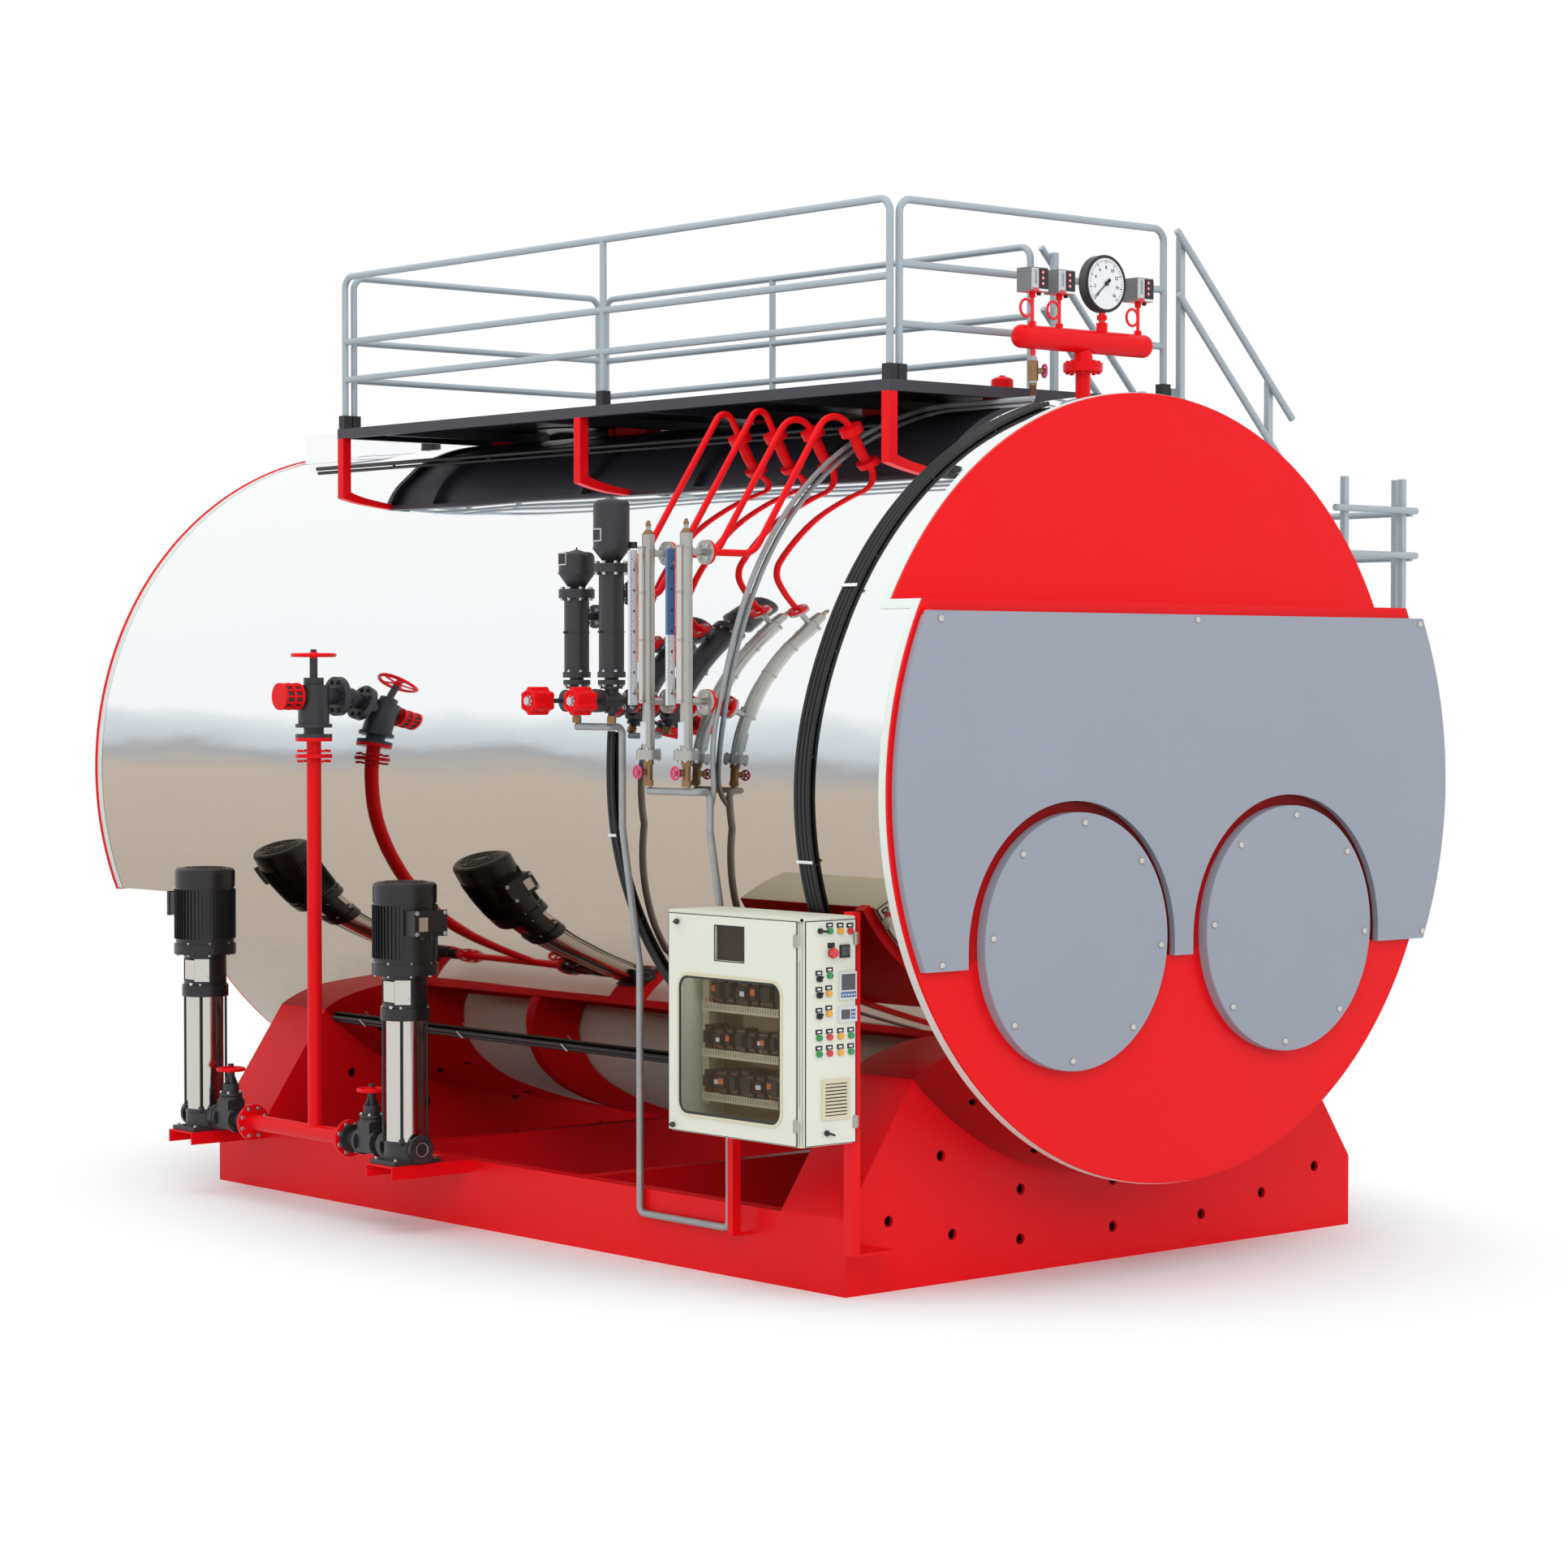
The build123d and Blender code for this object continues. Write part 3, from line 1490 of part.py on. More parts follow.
# Gate valves and check valves at the ends of the header
valves = []
pump_ports = (pump_ys[0] + pump_port_reach, pump_ys[1] - pump_port_reach)
for valve_y, port_y, header_end in zip(gate_valve_ys, pump_ports, feed_flange_ys):
    low_y, high_y = sorted((port_y, header_end))
    valves.append(rod((pump_x, low_y, feed_height), (pump_x, high_y, feed_height), feed_pipe_diameter))
    for flange_y in (
        low_y,
        valve_y - gate_valve_half,
        valve_y + gate_valve_half - feed_flange_thickness,
        high_y - feed_flange_thickness,
    ):
        valves.append(
            rod(
                (pump_x, flange_y, feed_height),
                (pump_x, flange_y + feed_flange_thickness, feed_height),
                gate_flange_diameter,
            )
        )
    half_width = gate_body_width / 2
    valves.append(
        block(
            (pump_x - half_width, valve_y - half_width, feed_height - half_width),
            (pump_x + half_width, valve_y + half_width, feed_height + 2 * half_width),
        )
    )
    valves.append(rod((pump_x, valve_y, feed_height), (pump_x, valve_y, gate_bonnet_height), gate_bonnet_diameter))
    valves.append(
        rod(
            (pump_x, valve_y, feed_height),
            (pump_x, valve_y, gate_wheel_height - wheel_half - wheel_gap),
            wheel_hub_diameter,
        )
    )
    valves.append(
        rod(
            (pump_x, valve_y, feed_height),
            (pump_x, valve_y, gate_wheel_height + wheel_half + wheel_gap + stem_nut_height),
            stem_diameter,
        )
    )
    valves.append(
        rod(
            (pump_x, valve_y, gate_wheel_height + wheel_half + wheel_gap),
            (pump_x, valve_y, gate_wheel_height + wheel_half + wheel_gap + stem_nut_height),
            1.5 * stem_diameter,
        )
    )
finish(joined(valves), "gate_valves")
for number, valve_y in enumerate(gate_valve_ys, start=1):
    gate_wheel = Location((pump_x, valve_y, gate_wheel_height)) * hand_wheel(gate_wheel_diameter)
    finish(gate_wheel, f"gate_valve_wheel_{number}")

# Pump brackets: channels that stick out from the side beam, their flanges down
brackets = []
for pump_y in pump_ys:
    half_width = pump_bracket_width / 2
    low = pump_bracket_top - pump_bracket_height
    outer = block((pump_bracket_end, pump_y - half_width, low), (beam_face, pump_y + half_width, pump_bracket_top))
    inner = block(
        (pump_bracket_end, pump_y - half_width + pump_bracket_wall, low),
        (
            beam_face - pump_bracket_wall,
            pump_y + half_width - pump_bracket_wall,
            pump_bracket_top - pump_bracket_wall,
        ),
    )
    brackets.append(joined([outer], [inner]))
finish(Compound(brackets), "pump_brackets")

# Pumps: casing with two ports, sleeve, lantern and motor
bases = []
sleeves = []
motors = []
for pump_y, outward in zip(pump_ys, (-1, 1)):
    half_length = pump_foot_length / 2
    half_width = pump_foot_width / 2
    casing = [
        block(
            (pump_x - half_length, pump_y - half_width, pump_bracket_top),
            (pump_x + half_length, pump_y + half_width, pump_bracket_top + pump_foot_height),
        ),
        rod((pump_x, pump_y, pump_bracket_top), (pump_x, pump_y, pump_casing_top), pump_casing_diameter),
    ]
    for way in (-1, 1):
        port = (pump_x, pump_y + way * pump_port_reach, feed_height)
        port_back = (pump_x, pump_y + way * (pump_port_reach - pump_flange_thickness), feed_height)
        casing.append(rod((pump_x, pump_y, feed_height), port, pump_port_diameter))
        casing.append(rod(port_back, port, pump_flange_diameter))
    bases.append(joined(casing))
    sleeves.append(rod((pump_x, pump_y, pump_casing_top), (pump_x, pump_y, sleeve_top), sleeve_diameter))
    lantern_middle = (head_top + lantern_top) / 2
    half_window = lantern_window / 2
    half_height = lantern_window_height / 2
    window = block(
        (pump_x - lantern_diameter, pump_y - half_window, lantern_middle - half_height),
        (pump_x + lantern_diameter, pump_y + half_window, lantern_middle + half_height),
    )
    with BuildPart() as cap:
        with BuildSketch(Plane.XY.offset(motor_top)):
            with Locations((pump_x, pump_y)):
                Circle(motor_cap_diameter / 2)
        extrude(amount=motor_cap_top - motor_top)
        fillet(cap.faces().sort_by(Axis.Z)[-1].edges(), motor_cap_round)
    box_inner = pump_y + outward * 0.8 * motor_diameter / 2
    box_outer = pump_y + outward * (motor_diameter / 2 + terminal_box_depth)
    box_low = terminal_box_centre - terminal_box_height / 2
    motors.append(
        joined(
            [
                rod((pump_x, pump_y, sleeve_top), (pump_x, pump_y, head_top), head_diameter),
                rod((pump_x, pump_y, head_top), (pump_x, pump_y, lantern_top), lantern_diameter),
                rod((pump_x, pump_y, lantern_top), (pump_x, pump_y, motor_flange_top), motor_flange_diameter),
                rod((pump_x, pump_y, motor_flange_top), (pump_x, pump_y, motor_top), motor_diameter),
                cap.part,
                block(
                    (pump_x - terminal_box_width / 2, min(box_inner, box_outer), box_low),
                    (pump_x + terminal_box_width / 2, max(box_inner, box_outer), box_low + terminal_box_height),
                ),
            ],
            [window],
        )
    )
finish(Compound(bases), "pump_bases")
finish(Compound(sleeves), "pump_sleeves")
finish(Compound(motors), "pump_motors")

# Cabinet: a box that is open behind its side door and behind its end door
body_left = cabinet_left + door_plate + door_gap
body_front = cabinet_front + door_plate + door_gap
cabinet_body = block((body_left, body_front, cabinet_bottom), (cabinet_right, cabinet_rear, cabinet_top))
cabinet_space = block(
    (body_left + cabinet_wall, body_front + cabinet_wall, cabinet_bottom + cabinet_wall),
    (cabinet_right - cabinet_wall, cabinet_rear - cabinet_wall, cabinet_top - cabinet_wall),
)
side_opening = block(
    (body_left, body_front + frame_strip, cabinet_bottom + frame_strip),
    (body_left + 2 * cabinet_wall, cabinet_rear - frame_strip, cabinet_top - frame_strip),
)
end_opening = block(
    (body_left + frame_strip, body_front, cabinet_bottom + frame_strip),
    (cabinet_right - frame_strip, body_front + 2 * cabinet_wall, cabinet_top - frame_strip),
)
hinge_pads = []
pad_reach = door_gap - hinge_clearance
for pad_height in hinge_pad_heights:
    hinge_pads.append(
        block(
            (body_left - pad_reach, body_front + frame_strip / 2, pad_height),
            (body_left, body_front + frame_strip, pad_height + hinge_pad_length),
        )
    )
    hinge_pads.append(
        block(
            (cabinet_right - frame_strip, body_front - pad_reach, pad_height),
            (cabinet_right - frame_strip / 2, body_front, pad_height + hinge_pad_length),
        )
    )
finish(joined([cabinet_body] + hinge_pads, [cabinet_space, side_opening, end_opening]), "cabinet_box")

# Fittings inside the cabinet: a panel with rows of switchgear
panel_right = cabinet_right - cabinet_wall
panel_face = panel_right - fitting_panel_gap
fittings = [
    block(
        (panel_face, body_front + fitting_panel_margin, cabinet_bottom + fitting_panel_margin),
        (panel_face + fitting_panel, cabinet_rear - fitting_panel_margin, cabinet_top - fitting_panel_margin),
    )
]
for stud_y in (body_front + fitting_stud_margin, cabinet_rear - fitting_stud_margin):
    for stud_height in (cabinet_bottom + fitting_stud_margin, cabinet_top - fitting_stud_margin):
        fittings.append(
            rod((panel_face, stud_y, stud_height), (panel_right, stud_y, stud_height), fitting_stud_diameter)
        )
for row_low, row_depth, row_height in zip(fitting_row_lows, fitting_row_depths, fitting_row_heights):
    fittings.append(
        block(
            (panel_face - row_depth, body_front + fitting_row_front, row_low),
            (panel_face, cabinet_rear - fitting_row_rear, row_low + row_height),
        )
    )
finish(joined(fittings), "cabinet_fittings")

# Side door with two windows, and the plain end door


def hinge_knuckles(x, y):
    """The round knuckles of a door's two hinges, on its upright axis."""
    return [rod((x, y, low), (x, y, low + knuckle_length), knuckle_diameter) for low in knuckle_heights]


door_side_front = body_front + frame_strip / 2
door_side_rear = cabinet_rear - frame_strip / 4
door_low = cabinet_bottom + frame_strip / 4
door_high = cabinet_top - frame_strip / 4
side_door_plane = Plane(origin=(cabinet_left + door_plate, 0, 0), x_dir=(0, -1, 0), z_dir=(-1, 0, 0))
window_start = cabinet_front + window_front
window_end = cabinet_rear - window_rear
large_window_centre = (-(window_start + window_end) / 2, cabinet_bottom + (window_low + window_high) / 2)
with BuildPart() as side_door:
    with BuildSketch(side_door_plane):
        with Locations((-(door_side_front + door_side_rear) / 2, (door_low + door_high) / 2)):
            Rectangle(door_side_rear - door_side_front, door_high - door_low)
        with Locations(large_window_centre):
            RectangleRounded(
                window_end - window_start, window_high - window_low, window_round, mode=Mode.SUBTRACT
            )
        with Locations(
            (
                -(cabinet_front + (small_window_front + small_window_rear) / 2),
                cabinet_bottom + (small_window_low + small_window_high) / 2,
            )
        ):
            Rectangle(
                small_window_rear - small_window_front, small_window_high - small_window_low, mode=Mode.SUBTRACT
            )
    extrude(amount=door_plate)
finish(joined([side_door.part] + hinge_knuckles(cabinet_left, door_side_front)), "cabinet_side_door")
glass_plane = side_door_plane.offset(door_plate / 2)
with BuildPart() as windows:
    with BuildSketch(glass_plane):
        with Locations(large_window_centre):
            RectangleRounded(window_end - window_start, window_high - window_low, window_round)
        with Locations(
            (
                -(cabinet_front + (small_window_front + small_window_rear) / 2),
                cabinet_bottom + (small_window_low + small_window_high) / 2,
            )
        ):
            Rectangle(small_window_rear - small_window_front, small_window_high - small_window_low)
    extrude(amount=glass_thickness)
finish(windows.part, "cabinet_windows")

end_door = block(
    (body_left + 3, cabinet_front, door_low),
    (cabinet_right - 3, cabinet_front + door_plate, door_high),
)
finish(joined([end_door] + hinge_knuckles(cabinet_right - 3, cabinet_front)), "cabinet_end_door")

# Cabinet stand: mounting plate, two posts and their feet
plate_left = cabinet_right
plate_right = plate_left + mounting_plate
stand = [
    block(
        (plate_left, body_front, cabinet_bottom - plate_margin),
        (plate_right, cabinet_rear + plate_margin, cabinet_top + plate_margin),
    )
]
for post_y, depth, post_top in (
    (front_post_y, post_depth, front_post_top),
    (rear_post_y, rear_post_depth, rear_post_top),
):
    stand.append(
        block(
            (plate_right, post_y - depth / 2, post_foot),
            (plate_right + post_width, post_y + depth / 2, post_top),
        )
    )
stand.append(
    block(
        (plate_right, rear_post_y - rear_post_depth / 2, post_foot),
        (beam_face, rear_post_y + rear_post_depth / 2, post_foot + foot_plate),
    )
)
stand.append(
    block(
        (plate_right, front_post_y - post_depth / 2, post_foot),
        (beam_face + foot_length, front_post_y + post_depth / 2, post_foot + foot_plate),
    )
)
stand.append(
    block(
        (beam_face, front_post_y - post_depth / 2, post_foot),
        (beam_face + foot_length, skid_front, post_foot + foot_plate),
    )
)
finish(joined(stand), "cabinet_stand")

# Cables tied along the shell
cable_radius = shell_radius + cable_gap + cable_diameter / 2


def cable_tie(angle, y):
    """The saddle of a cable tie, from just off the shell into the cable."""
    return rod(on_shell(angle, y, shell_radius + tie_gap), on_shell(angle, y, cable_radius), tie_diameter)


def shell_cable(angles, ys, shift):
    """A cable that follows the shell through points at given angles, moved along the shell by a shift."""
    points = [on_shell(angle, y + shift, cable_radius) for angle, y in zip(angles, ys)]
    with BuildPart() as cable:
        with BuildLine() as route:
            Spline(*points)
        with BuildSketch(Plane(origin=route.line @ 0, z_dir=route.line % 0)):
            Circle(cable_diameter / 2)
        sweep()
    ties = [cable_tie(angle, y + shift) for angle, y in list(zip(angles, ys))[1:-1]]
    return joined([cable.part] + ties)


def straight_cable(angle, ends):
    """A cable that runs straight along the shell at one angle, held by ties at even distances."""
    run = rod(on_shell(angle, ends[0], cable_radius), on_shell(angle, ends[1], cable_radius), cable_diameter)
    tie_count = int((ends[0] - ends[1]) // long_tie_spacing)
    ties = [cable_tie(angle, ends[1] + (number + 0.5) * long_tie_spacing) for number in range(tie_count)]
    return joined([run] + ties)


cables = []
front_cable_ys = [skid_front + offset_y for offset_y in front_cable_offsets]
for number in range(front_cable_count):
    shift = (number - (front_cable_count - 1) / 2) * cable_pitch
    cables.append(shell_cable(front_cable_angles, front_cable_ys, shift))
for number in range(controller_cable_count):
    shift = (number - (controller_cable_count - 1) / 2) * cable_pitch
    cables.append(shell_cable(controller_cable_angles, controller_cable_ys, shift))
finish(Compound(cables), "shell_cables")
long_cables = []
for number in range(pump_cable_count):
    angle = pump_cable_angle + number * degrees(cable_pitch / cable_radius)
    long_cables.append(straight_cable(angle, pump_cable_ends))
long_cables.append(straight_cable(crown_cable_angle, crown_cable_ends))
finish(Compound(long_cables), "long_cables")
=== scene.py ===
# %% [markdown]
# A horizontal steam boiler stands on a red skid: a long drum in mirror-bright sheet, a platform with
# rails on top, pumps, level gauges and a control cabinet on its left side. This script dresses the
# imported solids. It gives every piece its finish, adds the small parts that the solids leave out,
# and sets up a pale floor, soft light and a camera.

# %% Load the fixed frame
import json
import random
from math import cos, pi, radians, sin

import bmesh
import bpy
from mathutils import Euler, Matrix, Vector


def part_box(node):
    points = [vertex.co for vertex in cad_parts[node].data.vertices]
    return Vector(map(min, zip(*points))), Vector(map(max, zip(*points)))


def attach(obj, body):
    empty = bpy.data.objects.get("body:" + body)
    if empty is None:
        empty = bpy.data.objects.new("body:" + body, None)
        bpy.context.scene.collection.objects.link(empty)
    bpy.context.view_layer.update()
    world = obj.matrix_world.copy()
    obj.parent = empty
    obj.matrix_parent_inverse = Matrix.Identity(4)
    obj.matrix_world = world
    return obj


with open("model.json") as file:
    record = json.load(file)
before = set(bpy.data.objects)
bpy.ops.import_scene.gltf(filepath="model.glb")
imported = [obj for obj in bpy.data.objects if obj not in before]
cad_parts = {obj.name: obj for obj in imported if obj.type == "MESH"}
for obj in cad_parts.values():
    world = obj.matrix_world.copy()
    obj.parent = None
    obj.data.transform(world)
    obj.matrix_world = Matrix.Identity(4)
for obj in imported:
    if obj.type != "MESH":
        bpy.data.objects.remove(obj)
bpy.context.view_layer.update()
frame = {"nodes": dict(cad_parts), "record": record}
nodes = frame["nodes"]

# %% [markdown]
# The camera comes first, because it tells which sides deserve the most work. The photograph was taken
# from far off to the front left, a little above the middle of the drum, so the lens is long and
# almost level. A long lens keeps the rails nearly parallel; a short one would spread them apart.

# %% Camera at the photograph's viewpoint
camera_place = Vector((-13.328, -13.067, 2.9025))
camera_yaw = radians(40.93)
camera_pitch = radians(1.588)
sensor_width = 36.0
lens_in_pixels = 4523.8
image_width = 1931
camera_data = bpy.data.cameras.new("photo_camera")
camera_data.sensor_width = sensor_width
camera_data.lens = lens_in_pixels / image_width * sensor_width
camera_data.clip_end = 200.0
camera = bpy.data.objects.new("photo_camera", camera_data)
bpy.context.scene.collection.objects.link(camera)
camera.location = camera_place
camera.rotation_euler = Euler((pi / 2 - camera_pitch, 0.0, -camera_yaw), "XYZ")
bpy.context.scene.camera = camera
print("lens in mm", round(camera_data.lens, 1))

# %% [markdown]
# Node trees come up in the world, in every finish and in the bolts. Written out, each node takes four
# lines, so three small helpers make a maths node, a colour mix and a colour ramp, and link them at once.

# %% Helpers that add and link nodes
def add_math(tree, operation, first, second=None):
    """A maths node; first and second are sockets or plain numbers."""
    node = tree.nodes.new("ShaderNodeMath")
    node.operation = operation
    for slot_number, value in enumerate((first, second)):
        if value is None:
            continue
        if isinstance(value, (int, float)):
            node.inputs[slot_number].default_value = value
        else:
            tree.links.new(value, node.inputs[slot_number])
    return node.outputs[0]


def add_mix(tree, factor, first, second, blend="MIX"):
    """A colour mix node; each argument is a socket or a value."""
    node = tree.nodes.new("ShaderNodeMix")
    node.data_type = "RGBA"
    node.blend_type = blend
    for socket, value in ((node.inputs["Factor"], factor), (node.inputs[6], first), (node.inputs[7], second)):
        if isinstance(value, (int, float, tuple)):
            socket.default_value = value
        else:
            tree.links.new(value, socket)
    return node.outputs[2]


def add_ramp(tree, factor, stops):
    """A colour ramp node; stops are (position, colour) in rising order."""
    node = tree.nodes.new("ShaderNodeValToRGB")
    tree.links.new(factor, node.inputs["Fac"])
    elements = node.color_ramp.elements
    for element, (position, colour) in zip(elements, (stops[0], stops[-1])):
        element.position = position
        element.color = colour + (1.0,)
    for position, colour in stops[1:-1]:
        elements.new(position).color = colour + (1.0,)
    return node.outputs["Color"]


def seen_directly(tree):
    """1 for rays from the camera, off a mirror or through glass, and 0 for rays that only bring light."""
    path = tree.nodes.new("ShaderNodeLightPath")
    seen = add_math(tree, "MAXIMUM", path.outputs["Is Camera Ray"], path.outputs["Is Glossy Ray"])
    return add_math(tree, "MAXIMUM", seen, path.outputs["Is Transmission Ray"])

# %% [markdown]
# The background is white, and only a soft shadow ties the boiler to the ground. A world that is white
# for every ray would flood the red paint, and a grey one would show behind the rails. So the world is
# white for the camera, for mirrors and for glass alone, and the light itself comes from a dimmer sky.

# %% World, white to the eye and soft as a light
scene = bpy.context.scene
scene.view_settings.view_transform = "Standard"
world = bpy.data.worlds.new("pale_surround")
scene.world = world
world.use_nodes = True
world_tree = world.node_tree
world_tree.nodes.clear()
sky_strength = 0.72
sky_shader = world_tree.nodes.new("ShaderNodeBackground")
sky_shader.inputs["Color"].default_value = (0.93, 0.96, 1.0, 1.0)
sky_shader.inputs["Strength"].default_value = sky_strength
white_shader = world_tree.nodes.new("ShaderNodeBackground")
white_shader.inputs["Color"].default_value = (1.0, 1.0, 1.0, 1.0)
world_mix = world_tree.nodes.new("ShaderNodeMixShader")
world_out = world_tree.nodes.new("ShaderNodeOutputWorld")
world_tree.links.new(seen_directly(world_tree), world_mix.inputs["Fac"])
world_tree.links.new(sky_shader.outputs[0], world_mix.inputs[1])
world_tree.links.new(white_shader.outputs[0], world_mix.inputs[2])
world_tree.links.new(world_mix.outputs[0], world_out.inputs["Surface"])
print("sky strength", sky_strength)

# %% [markdown]
# Three broad lamps stand round the boiler as soft boxes stand in a studio. Small lamps would draw hard
# shadows of every pipe on the drum. Mirrors don't show them, because a lamp's disc would sit on the
# cladding as a bright spot that nobody expects out of doors.

# %% Lamps: a broad key from the front left, a fill from the right and one from above
boiler_middle = Vector((0.0, 2.5, 2.2))
lamp_plan = (
    ("key_lamp", (-11.0, -9.0, 9.5), 9.0, 640.0),
    ("fill_lamp", (9.0, -11.0, 6.0), 8.0, 360.0),
    ("top_lamp", (-3.0, 3.0, 13.0), 10.0, 460.0),
)
for lamp_name, lamp_place, lamp_size, lamp_power in lamp_plan:
    lamp_data = bpy.data.lights.new(lamp_name, "AREA")
    lamp_data.shape = "DISK"
    lamp_data.size = lamp_size
    lamp_data.energy = lamp_power
    lamp = bpy.data.objects.new(lamp_name, lamp_data)
    scene.collection.objects.link(lamp)
    lamp.location = lamp_place
    lamp.rotation_euler = (boiler_middle - Vector(lamp_place)).to_track_quat("-Z", "Y").to_euler()
    lamp.visible_glossy = False
    print(lamp_name, lamp_power, "W")

# %% [markdown]
# Most finishes here share three habits. Paint is never one even colour, sheet metal is never quite
# flat, and a little dust gathers near the ground. A node group with named inputs holds these habits. It
# is built once and placed in every material with its own values.

# %% A helper that makes a shader node group with named sockets
def new_group(name, inputs, outputs):
    """A shader node group; inputs and outputs are (name, socket type, default) and (name, type)."""
    tree = bpy.data.node_groups.new(name, "ShaderNodeTree")
    for socket_name, socket_type, default in inputs:
        socket = tree.interface.new_socket(socket_name, in_out="INPUT", socket_type=socket_type)
        if default is not None:
            socket.default_value = default
    for socket_name, socket_type in outputs:
        tree.interface.new_socket(socket_name, in_out="OUTPUT", socket_type=socket_type)
    entry = tree.nodes.new("NodeGroupInput")
    leave = tree.nodes.new("NodeGroupOutput")
    return tree, entry, leave

# %% [markdown]
# The group takes a colour and a roughness and gives them back a little uneven. Broad noise moves the
# brightness, dust comes in below half a metre, and fine noise goes out as grain for the bump.

# %% Group: paint that varies a little in tone, with dust low down
tone_group, tone_in, tone_out = new_group(
    "uneven_tone",
    (
        ("Colour", "NodeSocketColor", (0.5, 0.5, 0.5, 1.0)),
        ("Spread", "NodeSocketFloat", 0.08),
        ("Scale", "NodeSocketFloat", 1.5),
        ("Dust", "NodeSocketFloat", 0.1),
        ("Roughness", "NodeSocketFloat", 0.4),
    ),
    (("Colour", "NodeSocketColor"), ("Roughness", "NodeSocketFloat"), ("Grain", "NodeSocketFloat")),
)
tone_coordinates = tone_group.nodes.new("ShaderNodeTexCoord")
broad_noise = tone_group.nodes.new("ShaderNodeTexNoise")
broad_noise.inputs["Detail"].default_value = 5.0
tone_group.links.new(tone_coordinates.outputs["Object"], broad_noise.inputs["Vector"])
tone_group.links.new(tone_in.outputs["Scale"], broad_noise.inputs["Scale"])
fine_noise = tone_group.nodes.new("ShaderNodeTexNoise")
fine_noise.inputs["Scale"].default_value = 220.0
fine_noise.inputs["Detail"].default_value = 3.0
tone_group.links.new(tone_coordinates.outputs["Object"], fine_noise.inputs["Vector"])
centred = add_math(tone_group, "SUBTRACT", broad_noise.outputs["Fac"], 0.5)
swing = add_math(tone_group, "MULTIPLY", centred, tone_in.outputs["Spread"])
brightness = add_math(tone_group, "MULTIPLY_ADD", swing, 2.0)
brightness.node.inputs[2].default_value = 1.0
toned = tone_group.nodes.new("ShaderNodeHueSaturation")
tone_group.links.new(tone_in.outputs["Colour"], toned.inputs["Color"])
tone_group.links.new(brightness, toned.inputs["Value"])
split_place = tone_group.nodes.new("ShaderNodeSeparateXYZ")
tone_group.links.new(tone_coordinates.outputs["Object"], split_place.inputs[0])
low_down = tone_group.nodes.new("ShaderNodeMapRange")
low_down.inputs["From Min"].default_value = 0.0
low_down.inputs["From Max"].default_value = 0.5
low_down.inputs["To Min"].default_value = 1.0
low_down.inputs["To Max"].default_value = 0.0
tone_group.links.new(split_place.outputs["Z"], low_down.inputs["Value"])
patchy_dust = add_math(tone_group, "MULTIPLY", low_down.outputs[0], broad_noise.outputs["Fac"])
dust_amount = add_math(tone_group, "MULTIPLY", patchy_dust, tone_in.outputs["Dust"])
dust_colour = (0.42, 0.36, 0.30, 1.0)
dusty = add_mix(tone_group, dust_amount, toned.outputs["Color"], dust_colour)
rough_swing = add_math(tone_group, "MULTIPLY_ADD", centred, 0.16)
tone_group.links.new(tone_in.outputs["Roughness"], rough_swing.node.inputs[2])
rough_dusty = add_math(tone_group, "ADD", rough_swing, dust_amount)
tone_group.links.new(dusty, tone_out.inputs["Colour"])
tone_group.links.new(rough_dusty, tone_out.inputs["Roughness"])
tone_group.links.new(fine_noise.outputs["Fac"], tone_out.inputs["Grain"])
print("nodes in the group", len(tone_group.nodes))

# %% [markdown]
# Paint, cast iron, rail tube and cable differ in colour, gloss and grain, but not in kind. One function
# makes them all from the group above, which keeps their small unevenness alike. The Principled shader
# stays in the material itself, because only values and colours travel well inside a group.

# %% A painted or cast finish built on that group
def finish_material(name, colour, roughness, metallic=0.0, spread=0.08, scale=1.5, dust=0.1, bump=0.05,
                    coat=0.0, grain_scale=None, shine=0.5):
    """A Principled material whose colour, roughness and normal vary over the surface."""
    material = bpy.data.materials.new(name)
    material.use_nodes = True
    tree = material.node_tree
    shader = tree.nodes["Principled BSDF"]
    group = tree.nodes.new("ShaderNodeGroup")
    group.node_tree = tone_group
    group.inputs["Colour"].default_value = tuple(colour) + (1.0,)
    group.inputs["Spread"].default_value = spread
    group.inputs["Scale"].default_value = scale
    group.inputs["Dust"].default_value = dust
    group.inputs["Roughness"].default_value = roughness
    tree.links.new(group.outputs["Colour"], shader.inputs["Base Color"])
    tree.links.new(group.outputs["Roughness"], shader.inputs["Roughness"])
    shader.inputs["Metallic"].default_value = metallic
    shader.inputs["Specular IOR Level"].default_value = shine
    shader.inputs["Coat Weight"].default_value = coat
    shader.inputs["Coat Roughness"].default_value = 0.08
    relief = tree.nodes.new("ShaderNodeBump")
    relief.inputs["Strength"].default_value = bump
    relief.inputs["Distance"].default_value = 0.001
    height = group.outputs["Grain"]
    if grain_scale is not None:
        grain = tree.nodes.new("ShaderNodeTexNoise")
        grain.inputs["Scale"].default_value = grain_scale
        place = tree.nodes.new("ShaderNodeTexCoord")
        tree.links.new(place.outputs["Object"], grain.inputs["Vector"])
        height = grain.outputs["Fac"]
    tree.links.new(height, relief.inputs["Height"])
    tree.links.new(relief.outputs["Normal"], shader.inputs["Normal"])
    return material
